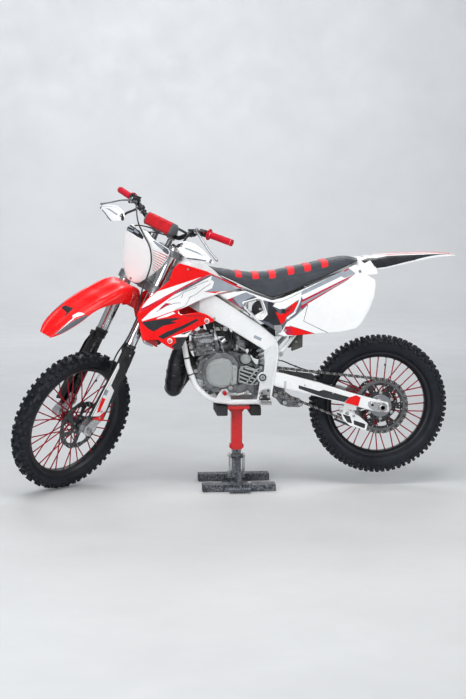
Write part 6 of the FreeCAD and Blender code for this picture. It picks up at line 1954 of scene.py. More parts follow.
def panels_():
    # 0 white, 1 grey, 2 light grey, 3 crimson, 4 black, 5 red, 6 dark red, 7 silver
    lay = []
    lay.append((P29([(60, 685), (130, 660), (255, 610), (430, 690), (540, 720), (520, 745), (580, 775), (640, 770), (760, 690), (800, 660),
                     (860, 735), (740, 850), (655, 905), (600, 1000), (560, 1018), (420, 925), (200, 780)]), 1))
    lay.append((P29([(130, 665), (255, 614), (340, 645), (240, 690), (228, 730), (235, 752), (195, 752)]), 2))
    lay.append((P29([(60, 685), (130, 662), (118, 700), (215, 765), (190, 768)]), 3))
    lay.append((P29([(470, 700), (540, 722), (510, 745), (560, 790), (600, 930), (560, 960), (470, 900), (410, 885), (450, 850), (470, 800)]), 4))
    lay.append((P29([(255, 605), (430, 682), (520, 702), (560, 700), (660, 665), (795, 590), (800, 574), (640, 655), (560, 690), (475, 680),
                     (262, 592)]), 0))
    lay.append((polyline(P29([(430, 692), (520, 712), (600, 704), (700, 660), (790, 612)]), 2.2), 1))
    lay.append((P29([(520, 745), (580, 720), (660, 690), (770, 640), (760, 690), (640, 760), (580, 775)]), 0))
    lay.append((P29([(545, 800), (600, 830), (660, 770), (740, 700), (765, 720), (720, 790), (650, 850), (640, 890), (600, 930), (570, 860)]), 5))
    lay.append((P29([(610, 770), (660, 790), (640, 820), (600, 812)]), 4))
    lay.append((P29([(640, 790), (700, 745), (710, 760), (660, 815)]), 6))
    lay.append((P29([(530, 935), (600, 930), (610, 990), (570, 1010), (535, 985)]), 7))
    lay.append((P29([(640, 945), (690, 945), (720, 1030), (660, 1030), (620, 985)]), 3))
    # bands up to the tail
    lay.append((P29([(800, 600), (1170, 418), (1205, 400), (1190, 455), (980, 555), (830, 625), (795, 640)]), 2))
    lay.append((P29([(1170, 425), (1205, 400), (1260, 372), (1330, 425), (1225, 470), (1195, 460)]), 2))
    lay.append((P29([(1215, 398), (1262, 374), (1262, 388), (1222, 410)]), 3))
    lay.append((P29([(795, 690), (1240, 470), (1330, 424), (1262, 480), (830, 742), (800, 745)]), 2))
    lay.append((P29([(795, 690), (1240, 470), (1330, 424), (1240, 485), (795, 712)]), 3))
    lay.append((P29([(790, 745), (870, 700), (1262, 480), (1258, 486), (862, 722), (790, 780)]), 3))
    lay.append((polyline(P29([(655, 868), (730, 812), (775, 720), (790, 655)]), 9.0), 0))
    lay.append((polyline(P29([(640, 880), (700, 870), (760, 830), (800, 775)]), 6.0), 2))
    lay.append((polyline(P29([(795, 650), (798, 680), (770, 745), (740, 800)]), 2.2), 4))
    lay.append((P29([(858, 735), (840, 790), (815, 895), (900, 1002), (700, 942), (650, 905), (740, 850)]), 0))
    lay.append((polyline(P29([(862, 728), (820, 893), (935, 950), (1055, 1006)]), 2.6), 4))
    lay.append((P29([(680, 940), (930, 1015), (720, 1038)]), 5))
    lay.append((P29([(720, 1000), (760, 975), (930, 1015), (720, 1038)]), 5))
    lay.append((polyline(P29([(684, 938), (930, 1015)]), 2.0), 4))
    lay.append((polyline(P29([(30, 672), (200, 790), (420, 935), (560, 1030), (630, 1045), (715, 1043)]), 5.0), 0))
    lay.append((polyline(P29([(40, 664), (255, 598)]), 5.0), 0))

    for s, tag in ((1, "left"), (-1, "right")):
        m = Mesh()

        def relief(x, z):
            r = 0.0
            # rear field swells; a step follows the band; edges fall away to the seat and below
            r += 3.0 * math.exp(-(((x + 470) / 130.0) ** 2 + ((z - 880) / 110.0) ** 2))
            h = z - (951 + (-x - 330) * 0.42)
            r -= 3.0 / (1 + math.exp(-h / 3.0)) * (1 if x < -60 else 0.3)
            k = max(0.0, (-x - 560) / 75.0)
            r -= 8 * k * k
            return r

        def surf(x, z, d, s=s):
            y = 178.0 - 0.035 * x - 0.06 * z + relief(x, z) - d
            return (x, s * y, z)
        out = rnd(PANEL, [5, 10, 10, 10, 10, 10, 8, 10, 14, 20, 20, 20, 20, 16, 16, 16, 16, 14, 12, 8, 8, 8, 4], 4)
        vent = rnd(VENT, [8, 8, 8, 8, 8, 8, 8], 4)
        if s < 0:
            # the silencer passes below this side's panel
            lim = lambda x: 818 + (-245 - x) * 0.2535 if x < -245 else (800 + (-150 - x) * 0.19 if x < -150 else 0)
            out2 = [(x, max(z, lim(x) + 1.0) if x < -150 else z) for x, z in out]
            o3 = []
            for p in out2:
                if not o3 or math.hypot(p[0] - o3[-1][0], p[1] - o3[-1][1]) > 1.5:
                    o3.append(p)
            out = [p for p in o3 if p[0] > -700]
        try:
            panel(m, out, surf, th=3.0, layers=[(l, c) for l, c in lay], holes=[vent], base=0, step=14, roll=(2.6, 1.8), flip=(s > 0))
        except Exception as e:
            print("panel", tag, e)
        # rim of the air opening, funnelling inwards
        rings = []
        for d, k in ((0.6, 1.13), (-1.6, 1.10), (-2.2, 1.04), (-1.4, 1.0), (4, 0.97), (16, 0.90), (26, 0.84), (26, 0.80), (14, 0.86),
                     (5.5, 0.94)):
            cx = sum(p[0] for p in vent) / len(vent)
            cz = sum(p[1] for p in vent) / len(vent)
            rings.append([surf(cx + (p[0] - cx) * k, cz + (p[1] - cz) * k, d) for p in vent])
        m.ring_loft(rings, 8, closed=False, cap=(False, False))
        # fixing bolts
        for X, Y in ((235, 735), (640, 985)) if s > 0 else ((235, 735),):
            x, z = q29(X, Y)
            p = surf(x, z, 0)
            m.bolt((p[0], p[1], p[2]), (0, s, 0), 4.6, 2.2, mat=9, washer=2.0)
        p = surf(-556, 1036, 0)
        m.bolt(p, (0, s, 0), 4.6, 2.2, mat=9, washer=2.0)
        m.make(tag + "_side_panel", "frame",
               [WHITE, GREYFILM, LGREY, CRIMSON, BLKFILM, RED, DARKRED, RADAL, WFILM, STEEL], replaces="side_panels", angle=40)


def tank_():
    rows = [(302, 900, 1046, 1090, 22, 58, 34), (270, 890, 1024, 1103, 30, 98, 54), (232, 880, 1002, 1105, 42, 116, 62),
            (190, 874, 974, 1087, 52, 116, 68), (150, 870, 948, 1062, 60, 112, 70), (110, 858, 920, 1032, 64, 100, 70),
            (70, 850, 896, 1000, 66, 82, 66), (15, 846, 872, 962, 62, 70, 60), (-40, 842, 850, 925, 58, 60, 52)]
    m = Mesh()
    P = []
    for i in range(len(rows) - 1):
        a, b = rows[i], rows[i + 1]
        for k in range(4):
            t = k / 4
            P.append([a[j] + (b[j] - a[j]) * t for j in range(7)])
    P.append(list(rows[-1]))
    rings = []
    for n_, (x, zb, zs, zt, a, b, c) in enumerate(P):
        sec = [(-a, zb), (a, zb), (a, zs - 6), (b, zs + 12), (b, zt - 30), (c, zt), (-c, zt), (-b, zt - 30), (-b, zs + 12), (-a, zs - 6)]
        sec = rnd(sec, [12, 12, 4, 10, 22, 26, 26, 22, 10, 4], 4)
        e = 0.0
        rings.append([(x, y, z) for y, z in sec])
    cx = lambda r: Vector((r[0][0], 0, sum(p[2] for p in r) / len(r)))
    r0, r1 = rings[0], rings[-1]
    c0, c1 = cx(r0), cx(r1)
    f0 = [tuple(c0 + (Vector(p) - c0) * 0.86 + Vector((7, 0, 0))) for p in r0]
    f1 = [tuple(c1 + (Vector(p) - c1) * 0.86 + Vector((-5, 0, 0))) for p in r1]
    m.ring_loft([f0] + rings + [f1], 0)
    nn = len(r0)
    for i in range(len(m.f)):
        k = i % nn
        z = sum(m.v[j][2] for j in m.f[i]) / len(m.f[i])
        x = sum(m.v[j][0] for j in m.f[i]) / len(m.f[i])
        zz = 1046 - (302 - x) * 0.62
        if z < min(1040, zz) and i < (len(rings) + 1) * nn:
            m.m[i] = 1
    # sump between the spars, left in the natural plastic
    m.prism(rnd([(36, 864), (42, 771), (59, 759), (107, 752), (114, 765), (118, 800), (146, 880)], [8, 8, 8, 8, 6, 8, 8]), -59.4, 59.4, mat=1, ch=5)
    # moulded seam round the upper shell, filler neck, ribbed cap and breather
    m.cyl((233, 0, 1096), (231.4, 0, 1107), 37, 34, seg=48, ch=2, mat=0)
    a, b = Vector((231.6, 0, 1104)), Vector((228.4, 0, 1121))
    d = (b - a).normalized()
    u = d.orthogonal().normalized()
    w = d.cross(u)

    def ring(x, r, lob):
        return [a + d * x + (u * math.cos(2 * math.pi * i / 72) + w * math.sin(2 * math.pi * i / 72)) *
                (r + (lob if i % 6 < 3 else 0)) for i in range(72)]
    L_ = (b - a).length
    m.ring_loft([ring(0, 27.5, 0), ring(1.5, 27.5, 1.8), ring(L_ - 3, 27.0, 1.8), ring(L_ - 1, 25.5, 0.6), ring(L_, 21, 0),
                 ring(L_, 12, 0), ring(L_ - 1.2, 11, 0)], 2)
    m.cyl(tuple(b - d * 0.5), tuple(b + d * 5), 5, 4, seg=20, mat=2)
    m.tube([tuple(b + d * 3), (226, 3, 1134), (238, 8, 1146), (262, 14, 1146), (290, 16, 1128), (316, 15, 1104)], 3.0, seg=10, mat=3)
    # tap under the left side and its lever
    m.cyl((60, 50, 848), (60, 50, 832), 8, seg=20, mat=2)
    m.cyl((60, 50, 838), (60, 68, 838), 5, seg=16, mat=2)
    m.make("fuel_tank_shell", "frame", [WHITE, NATURAL, BLACKP, HOSE], replaces="fuel_tank", angle=35)


REAR_ROWS = [(-556, 1094, 70, 1052), (-600, 1101, 75, 1044), (-640, 1106, 78, 1040), (-685, 1110, 77, 1045), (-730, 1112, 74, 1054),
             (-785, 1113.5, 70, 1066), (-839, 1114, 66, 1078), (-895, 1114.5, 61, 1089), (-949, 1114, 56, 1098), (-1000, 1109, 46, 1101),
             (-1026, 1105.5, 36, 1101), (-1034, 1104, 26, 1100.5)]


def rear_fender_():
    P = [Vector(r) if False else r for r in REAR_ROWS]

    def row(x):
        i = 0
        while i < len(P) - 2 and x < P[i + 1][0]:
            i += 1
        a, b = P[i], P[i + 1]
        k = max(0.0, min(1.0, (x - a[0]) / (b[0] - a[0])))
        return [a[j] + (b[j] - a[j]) * k for j in range(4)]

    def sec(x, f, d=0.0):
        _x, zc, w, ze = row(x)
        e = abs(f)
        if e < 0.6:
            y, z = w * 0.80 * e / 0.6, zc - (zc - ze) * 0.08 * (e / 0.6) ** 2
        else:
            k = (e - 0.6) / 0.4
            y = w * (0.80 + 0.20 * math.sin(min(1, k * 1.6) * math.pi / 2))
            z = zc - (zc - ze) * (0.08 + 0.92 * (k ** 1.25))
        z += 1.6 * math.exp(-((e - 0.56) / 0.06) ** 2) - 2.0 * math.exp(-(e / 0.18) ** 2)
        ny = (0 if e < 0.6 else min(1.0, (e - 0.6) / 0.18))
        return (x, math.copysign(max(0.0, y - d * ny), f), z - d * (1 - 0.75 * ny))
    xs = [-556 - (1034 - 556) * i / 44 for i in range(45)]
    nf = 15
    fs = [-1 + j / nf for j in range(2 * nf + 1)]
    m = Mesh()
    m.ring_loft([[sec(x, f) for f in fs] + [sec(x, f, 3.0) for f in fs[::-1]] for x in xs], 0)

    def film(poly, mat, lift=0.4):
        ext = []
        px = [q[0] for q in poly]
        pf = [q[1] for q in poly]
        for x in xs:
            if min(px) < x < max(px):
                ext.append([(x, min(pf) - 0.01), (x, max(pf) + 0.01)])
        for f in [-1 + j / 30 for j in range(61)]:
            if min(pf) < f < max(pf):
                ext.append([(min(px) - 1, f), (max(px) + 1, f)])
        sc_ = 200.0
        vs, tris, _l = cdt([(a, b * sc_) for a, b in poly], extra=[[(a, b * sc_) for a, b in e] for e in ext])
        n = len(vs)
        m.add([sec(a, b / sc_, -lift) for a, b in vs] + [sec(a, b / sc_, 0.8) for a, b in vs],
              list(tris) + [(b, a, a + n, b + n) for a, b in boundary(tris)], mat)
    for s in (1, -1):
        g = lambda pts: [(x, s * f) for x, f in pts]
        # black side flash, small front piece and the red line above
        film(g([(-610, 0.70), (-640, 0.97), (-700, 0.97), (-830, 0.93), (-1012, 0.70), (-860, 0.68), (-700, 0.64)]), 1)
        film(g([(-572, 0.74), (-600, 0.66), (-640, 0.66), (-604, 0.78), (-588, 0.84)]), 1)
        film(g([(-660, 0.40), (-1020, 0.42), (-1016, 0.60), (-700, 0.58)]), 2)
    # grab recess edge and screws to the subframe
    for x, y in ((-585, 34), (-585, -34), (-630, 22), (-630, -22)):
        p = sec(x, y / 95.0)
        m.bolt((x, y, p[2] - 1.0), (0, 0, 1), 5.2, 2.4, mat=3, washer=2.2)
    for y in (-26, 26):
        m.tube([tuple(sec(x, y / 95.0, 3.4)) for x in range(-590, -960, -24)], 2.2, seg=6, mat=0, smooth=False)
    # wings that join the fender to the side panels
    for s in (1, -1):
        rows2 = []
        for i in range(9):
            x = -548 - 11.5 * i
            y0 = row(x)[2]
            z0 = row(x)[3]
            tgt = s * (178.0 - 0.035 * x - 0.06 * 1010)
            line = []
            for j in range(9):
                k = j / 8
                y = s * (y0 - 1.0) + (tgt - 4 * s - s * (y0 - 1.0)) * k
                z = z0 + 14 - (14 + max(0, 30 - i * 2.0)) * k + 5 * math.sin(math.pi * k)
                line.append((x, y, z))
            rows2.append(line + [(p[0], p[1] - s * 0.3, p[2] - 2.6) for p in line[::-1]])
        m.ring_loft(rows2, 0)
    m.make("rear_mudguard", "frame", [WHITE, BLKFILM, RED, STEEL], replaces="rear_fender", angle=42)


shrouds_()
panels_()
tank_()
rear_fender_()


# ------------------------------------------------------------------ engine
def q28(X, Y, y=110.0):
    return on_plane(150 + X / 9.8, 320 + Y / 9.8, y)


def P28(pts, y=110.0):
    return [q28(a, b, y) for a, b in pts]


def engine_():
    m = Mesh()
    # crankcase halves with their joint line
    low = rnd([(-78, 478), (-78, 600), (-50, 634), (40, 660), (112, 654), (182, 612), (204, 550), (184, 492), (128, 460), (-58, 459)], 16)
    m.prism(low, -50, -0.6, mat=0, ch=2.5)
    m.prism(low, 0.6, 50, mat=0, ch=2.5)
    m.prism(inset(low, 2.0), -1.0, 1.0, mat=3, ch=0.2)
    # gearbox and ignition ends stand out further, clear of the chain
    fr = rnd([(16, 466), (4, 500), (2, 600), (30, 640), (60, 652), (110, 650), (166, 606), (176, 552), (160, 500), (120, 466)], 14)
    m.prism(fr, 48, 84, mat=0, ch=3)
    m.prism(rnd([(-74, 462), (-74, 506), (-30, 514), (6, 500), (20, 466), (10, 460)], 8), 48, 82, mat=0, ch=3)
    m.prism(rnd([(-78, 478), (-78, 600), (-50, 634), (40, 655), (112, 648), (160, 600), (170, 545), (150, 490), (110, 462), (-58, 462)], 16),
            -84, -48, mat=0, ch=3)
    # webs on the case's belly and front
    for x in (-30, 20, 70, 120):
        m.rbox((x, 0, 463), (5, 96, 12), 2, mat=0)
    for z in (520, 556, 592):
        m.rbox((196 - abs(z - 550) * 0.2, 0, z), (14, 84, 5), 2, mat=0)
    for x, z in low[::6]:
        pass
    for x, z in ((-66, 486), (-66, 592), (-20, 636), (60, 650), (150, 622), (190, 560), (172, 496), (110, 470), (20, 467)):
        for sg in (1, -1):
            m.cyl((x, sg * 22, z), (x, sg * 53, z), 7.0, seg=20, mat=0)
    for x, z in ((150, 622), (178, 560), (162, 500), (120, 472)):
        m.cyl((x, 50, z), (x, 62, z), 7.5, seg=20, mat=0)
        m.bolt((x, 62, z), (0, 1, 0), 4.6, 4, mat=2)
    # left: ignition cover, flat faced, with its bolts and the piece behind it
    cov = P28([(562, 486), (590, 432), (640, 402), (720, 388), (780, 402), (805, 440), (812, 520), (806, 596), (780, 640), (716, 662), (640, 648),
               (590, 622), (563, 578)], 125)
    big = [(x + (x - 95) * 0.05, z + (z - 562) * 0.05) for x, z in cov]
    m.prism(rnd(big, 16), 82, 112, mat=1, ch=2.5)
    m.prism(rnd(cov, 14), 111, 121, mat=1, ch=2.0)
    m.prism(rnd(inset(rnd(cov, 14), 6.0), 4), 119.5, 124.6, mat=1, ch=2.6)
    side = P28([(806, 452), (850, 446), (858, 470), (852, 600), (838, 632), (786, 640), (808, 590)], 118)
    m.prism(rnd(side, 5), 82, 115, mat=1, ch=2.2)
    n = len(cov)
    for x, z in P28([(590, 446), (700, 402), (798, 455), (798, 610), (690, 652), (590, 596)], 120):
        m.cyl((x, 100, z), (x, 117, z), 6.8, seg=20, mat=1)
        m.bolt((x, 117, z), (0, 1, 0), 4.4, 3.6, mat=2)
    for X, Y in ((846, 470), (838, 618)):
        x, z = q28(X, Y, 115)
        m.bolt((x, 115, z), (0, 1, 0), 4.4, 3.6, mat=2)
    # drive-sprocket cover: ribbed casting on legs
    sp = P28([(872, 490), (900, 458), (952, 450), (1040, 486), (1098, 462), (1106, 478), (1062, 522), (1050, 560), (1074, 606), (1040, 636),
              (990, 640), (900, 622), (866, 606)], 104)
    hol = [P28(h, 104) for h in ([(905, 500), (975, 505), (1000, 522), (925, 520)], [(895, 535), (960, 540), (985, 560), (905, 556)],
                                 [(890, 570), (930, 572), (950, 590), (892, 588)])]
    m.prism(rnd(sp, 6), 95, 100.5, mat=1, ch=1.4, holes=[rnd(h, 3) for h in hol])
    m.prism(rnd(sp, 6), 92, 95, mat=3, ch=0.4)
    m.prism(inset(rnd(sp, 6), 5), 100.3, 101.4, mat=3, ch=0.3)
    for a, b in (((880, 486), (1040, 540)), ((876, 520), (1030, 580)), ((876, 556), (1000, 606)), ((930, 470), (1060, 506)), ((876, 596), (960, 628)),
                 ((1030, 500), (940, 625)), ((1060, 560), (985, 640))):
        p, q = q28(*a, 106), q28(*b, 106)
        m.prism(rnd(stripe(p, q, 8.5, 6.5), 2), 98, 107.5, mat=1, ch=1.6)
    for X, Y in ((900, 475), (1090, 474), (1050, 622), (885, 606)):
        x, z = q28(X, Y, 106)
        m.cyl((x, 50, z), (x, 105, z), 7, seg=20, mat=1)
        m.bolt((x, 105, z), (0, 1, 0), 4.6, 4, mat=2)
    # gear-shift shaft boss, gear cluster end and oil screw
    m.cyl((-36, 48, 470), (-36, 92, 470), 12, seg=28, mat=0)
    m.cyl((40, 48, 488), (40, 90, 488), 15, seg=28, mat=0)
    m.bolt((40, 90, 488), (0, 1, 0), 8, 5, "hex", mat=2)
    # right: clutch cover with its lid, kick-start boss and water pump
    m.cyl((30, -84, 540), (30, -104, 540), 82, 80, seg=64, ch=3, mat=1)
    m.cyl((30, -103, 540), (30, -110.5, 540), 66, 62, seg=64, ch=2.5, mat=1)
    m.cyl((30, -109.5, 540), (30, -112.0, 540), 44, 40, seg=48, ch=1.2, mat=1)
    for k in range(6):
        a = 2 * math.pi * (k + 0.3) / 6
        x, z = 30 + 63 * math.cos(a), 540 + 63 * math.sin(a)
        m.cyl((x, -100, z), (x, -110, z), 6.5, seg=18, mat=1)
        m.bolt((x, -110, z), (0, -1, 0), 4.3, 3.4, mat=2)
    for k in range(9):
        a = 2 * math.pi * (k + 0.55) / 9
        x, z = 30 + 77 * math.cos(a), 540 + 77 * math.sin(a)
        m.bolt((x, -103, z), (0, -1, 0), 4.3, 3.6, mat=2)
    m.cyl((-52, -84, 590), (-52, -111, 590), 30, 24, seg=40, ch=2.5, mat=1)
    m.cyl((136, -56, 540), (136, -98, 540), 30, 28, seg=44, ch=2.5, mat=1)
    m.cyl((136, -97, 540), (136, -103, 540), 18, 16, seg=36, ch=1.5, mat=1)
    m.tube([(136, -88, 514), (150, -92, 500), (172, -92, 492), (190, -92, 500)], 11, seg=20, mat=1)
    for k in range(4):
        a = 2 * math.pi * (k + 0.5) / 4
        m.bolt((136 + 25 * math.cos(a), -98, 540 + 25 * math.sin(a)), (0, -1, 0), 4, 3.2, mat=2)
    # bolts and plates that carry the engine
    m.cyl((178, -64, 505), (178, 64, 505), 6, seg=16, mat=2)
    for s in (1, -1):
        m.prism(rnd([(168, 492), (196, 486), (214, 500), (212, 524), (190, 528), (166, 520)], 6), s * 58, s * 63, mat=4, ch=0.8)
        m.bolt((178, s * 63, 505), (0, s, 0), 8, 6, "hex", mat=2, washer=2)
        m.bolt((203, s * 63, 506), (0, s, 0), 7, 5, "hex", mat=2, washer=2)
    m.make("crankcase_and_covers", "frame", [CAST, COVER, STEEL, BLACKP, FRAMEG], replaces="engine_cases", angle=32)

    # ---------------------------------------------------------- cylinder
    c = Mesh()
    ax = Vector((14, 0, 100)).normalized()     # bore leans forwards
    ay = Vector((0, 1, 0))
    axx = ay.cross(ax)
    base = Vector((154, 0, 650))

    def B(a, b, h):
        return tuple(base + axx * a + ay * b + ax * h)

    def block(pts, h0, h1, mat, ch=1.5, r=8):
        pr = Mesh()
        pr.prism(rnd(pts, r), 0, h1 - h0, ch=ch)
        c.add([B(x, z, h0 + y) for x, y, z in pr.v], [tuple(f[::-1]) for f in pr.f], mat)
    block([(-52, -50), (52, -50), (52, 50), (-52, 50)], -10, 4, 0, r=14)
    block([(-47, -43), (46, -43), (46, 43), (-47, 43)], 3, 66, 0, r=20)
    for h in (14, 24, 34):
        block([(-50, -46), (49, -46), (49, 46), (-50, 46)], h, h + 3.2, 0, ch=1.0, r=20)
    block([(-53, -49), (53, -49), (53, 49), (-53, 49)], 60, 72, 0, r=18)
    # head: stepped, with nuts round a domed middle
    block([(-52, -48), (52, -48), (52, 48), (-52, 48)], 73, 84, 1, r=18)
    block([(-44, -40), (44, -40), (44, 40), (-44, 40)], 83, 96, 1, ch=4, r=18)
    c.cyl(B(0, 0, 94), B(0, 0, 104), 24, 19, seg=36, ch=2.5, mat=1)
    for k in range(6):
        a = 2 * math.pi * (k + 0.5) / 6
        p = B(44 * math.cos(a), 41 * math.sin(a), 84)
        c.cyl(B(44 * math.cos(a), 41 * math.sin(a), 80), p, 9, seg=20, mat=1)
        c.bolt(p, ax, 7, 8, "hex", mat=2, washer=1.5)
    # spark plug, cap and lead
    c.cyl(B(0, 0, 103), B(0, 0, 108), 10.5, seg=6, ch=0.6, mat=2)
    c.cyl(B(0, 0, 107), B(0, 0, 122), 6.5, seg=20, mat=5)
    c.cyl(B(0, 0, 112), B(-2, 0, 148), 10.5, 9.0, seg=24, ch=2, mat=3)
    c.cyl(B(-2, 0, 143), B(-24, 4, 150), 8, 5.5, seg=20, ch=2, mat=3)
    c.tube([B(-20, 3, 149), B(-44, 10, 152), B(-66, 26, 140), B(-84, 38, 118), B(-92, 40, 84)], 3.6, seg=10, mat=3)
    # head coolant outlets to both radiators
    c.cyl(B(30, 0, 88), B(64, 0, 104), 15, 13, seg=28, ch=1.5, mat=1)
    # left side: exhaust-valve cover with round end and its cable drum
    vc = P28([(428, 292), (470, 262), (548, 270), (566, 300), (540, 330), (462, 330), (432, 322)], 62)
    c.prism(rnd(vc, 6), 44, 58, mat=0, ch=2.2)
    c.prism(rnd(inset(rnd(vc, 6), 5), 3), 57, 62, mat=0, ch=1.8)
    for X, Y in ((440, 304), (480, 272), (548, 284), (540, 322), (470, 324)):
        x, z = q28(X, Y, 60)
        c.bolt((x, 60, z), (0, 1, 0), 3.6, 3, mat=2)
    hb = P28([(470, 196), (540, 178), (620, 182), (640, 200), (600, 226), (500, 228), (474, 216)], 56)
    c.prism(rnd(hb, 5), 40, 54, mat=1, ch=2.0)
    for X, Y in ((490, 206), (610, 196)):
        x, z = q28(X, Y, 56)
        c.bolt((x, 54, z), (0, 1, 0), 5, 4, "hex", mat=2)
    x, z = q28(560, 250, 60)
    c.cyl((x, 44, z), (x, 60, z), 14, 12, seg=32, ch=1.8, mat=0)
    c.bolt((x, 60, z), (0, 1, 0), 5, 3, mat=2)
    x, z = q28(620, 235, 56)
    c.cyl((x, 40, z), (x, 57, z), 9, 8, seg=28, ch=1.5, mat=0)
    for s in (1, -1):
        c.prism(rnd([(118, 665), (190, 655), (186, 676), (124, 682)], 5), s * 42, s * 54, mat=0, ch=1.5)
        for k in range(2):
            c.bolt((128 + 52 * k, s * 54, 672 - 6 * k), (0, s, 0), 4.2, 3.4, mat=2)
        for a in (-40, 40):
            c.bolt(B(a, s * 44, 4), ax, 6.5, 8, "hex", mat=2)
    c.prism(rnd([(124, 690), (150, 686), (206, 682), (204, 700), (132, 706)], 5), -60, -44, mat=0, ch=2)
    # exhaust port and its steel collar
    c.cyl((196, 0, 682), (214, 0, 679), 31, 27, seg=36, ch=1.5, mat=0)
    c.cyl((212, 0, 679), (230, 0, 676.4), 25.5, seg=36, ch=1.0, mat=2)
    # head steady plates up to the spars
    for s in (1, -1):
        c.prism(rnd([(112, 742), (138, 738), (150, 770), (140, 822), (118, 826), (106, 800), (120, 770)], 5), s * 40, s * 45, mat=6, ch=0.8)
        for x, z in ((126, 752), (126, 812)):
            c.bolt((x, s * 45, z), (0, s, 0), 6, 5, "hex", mat=2, washer=1.5)
    # reed block
    c.prism(rnd([(92, 640), (108, 644), (110, 700), (94, 702)], 4), -36, 36, mat=0, ch=1.5)
    c.make("cylinder_and_head", "frame", [CAST, ALLOY, STEEL, RUBBER, FRAMEG, WHITE, BLACKP], replaces="cylinder", angle=32)

    # -------------------------------------------------------- carburettor
    k = Mesh()
    a0, a1 = Vector((98, 0, 668)), Vector((-58, 0, 689))
    d = (a1 - a0).normalized()

    def along(x):
        return a0 + d * x
    u, w = Vector((0, 1, 0)), d.cross(Vector((0, 1, 0)))
    prof = [(0, 27), (1, 29.5), (26, 29.5), (27, 26), (29, 26), (30, 28.5), (44, 28.5), (45, 25), (98, 25), (99, 28), (104, 29.5), (124, 29.8),
            (126, 27), (156, 27), (157, 24)]
    seg = 36
    k.ring_loft([[along(x) + (u * math.cos(2 * math.pi * i / seg) + w * math.sin(2 * math.pi * i / seg)) * r for i in range(seg)] for x, r in prof], 0)
    for i, f in enumerate(k.f):
        r = i // seg
        if r < 3 or 11 <= r:
            k.m[i] = 3
    for x in (7, 20, 108, 118):
        p, q = along(x - 3.5), along(x + 3.5)
        k.cyl(p, q, 31, seg=36, ch=0.4, mat=2)
        k.cyl(tuple(p + Vector((2, 26, 20))), tuple(p + Vector((2, 38, 20))), 4, seg=12, mat=2)
    k.rbox((-8, 0, 676), (58, 60, 58), 8, mat=0)
    k.cyl((-8, 0, 700), (-2, 0, 748), 25, 24, seg=40, ch=2, mat=0)
    k.cyl((-2, 0, 746), (0, 0, 762), 26, 22, seg=28, ch=3, mat=1)
    k.cyl((0, 0, 760), (2, 0, 774), 7, 5, seg=20, mat=1)
    for i in range(16):
        a = 2 * math.pi * i / 16
        k.rbox((-2 + 25.5 * math.cos(a), 25.5 * math.sin(a), 753), (2.6, 2.6, 9), 0.8, mat=1)
    # float bowl with its plug
    bw = rnd([(-38, -27), (18, -27), (26, 0), (18, 27), (-38, 27), (-44, 0)], 12)
    pr = Mesh()
    pr.prism(bw, 0, 34, ch=4)
    k.add([(x, z, 614 + y) for x, y, z in pr.v], [tuple(f[::-1]) for f in pr.f], 0)
    k.cyl((-10, 0, 616), (-10, 0, 600), 14, 13, seg=6, ch=1.4, mat=4)
    for x, y in ((-34, 20), (14, 20), (-34, -20), (14, -20)):
        k.cyl((x, y, 618), (x, y, 652), 4.4, seg=14, mat=0)
        k.bolt((x, y, 618), (0, 0, -1), 3.4, 2.6, mat=2)
    # left face: round choke plunger boss, idle screw, link hoses
    xx, zz = q28(944, 396, 52)
    k.cyl((xx, 26, zz), (xx, 46, zz), 17, 16, seg=36, ch=1.6, mat=0)
    k.cyl((xx, 44, zz), (xx, 52, zz), 14.5, 12.5, seg=36, ch=2.2, mat=0)
    k.cyl((-30, 28, 690), (-36, 52, 694), 5, seg=18, mat=2)
    k.cyl((-36, 50, 694), (-37, 58, 695), 8, seg=18, mat=1)
    k.bolt((16, 30, 678), (0, 1, 0), 5, 7, mat=4)
    k.make("carburettor_body", "frame", [CAST, BLACKP, STEEL, RUBBER, BRASS], replaces="carburettor", angle=34)

    # small hoses and leads that fill the space behind the cylinder
    h = Mesh()
    h.tube([(-10, 34, 664), (-2, 46, 640), (-14, 58, 600), (-40, 62, 640), (-58, 56, 668)], 3.2, seg=10, mat=0)
    h.tube([(-26, 24, 622), (-46, 34, 600), (-64, 40, 560), (-70, 44, 500), (-72, 40, 470)], 3.0, seg=10, mat=0)
    h.tube([(10, 24, 622), (-10, 44, 598), (-44, 44, 566), (-66, 36, 520), (-70, 30, 466)], 3.0, seg=10, mat=0)
    h.tube([(60, 68, 838), (50, 76, 822), (30, 66, 780), (24, 52, 730), (14, 34, 690)], 4.0, seg=12, mat=0)
    h.tube([(60, 60, 652), (46, 70, 690), (62, 76, 730), (92, 70, 770), (100, 66, 800)], 2.6, seg=10, mat=0)
    h.tube([(84, 70, 600), (52, 62, 655), (34, 66, 700), (46, 72, 756), (84, 72, 800), (150, 64, 850)], 3.4, seg=10, mat=0)
    h.tube([(70, 64, 648), (84, 72, 700), (108, 74, 736), (120, 70, 790)], 2.4, seg=8, mat=1)
    h.rbox((96, 58, 792), (46, 26, 40), 4, mat=0)
    h.bolt((96, 71, 800), (0, 1, 0), 4.5, 4, "hex", mat=2)
    h.cyl((62, 66, 716), (82, 66, 700), 13, 11, seg=28, ch=2, mat=2)
    h.cyl((66, 74, 766), (66, 86, 766), 15, 13, seg=32, ch=2, mat=2)
    h.make("hoses_and_leads", "frame", [HOSE, LGREY, STEEL], angle=35)


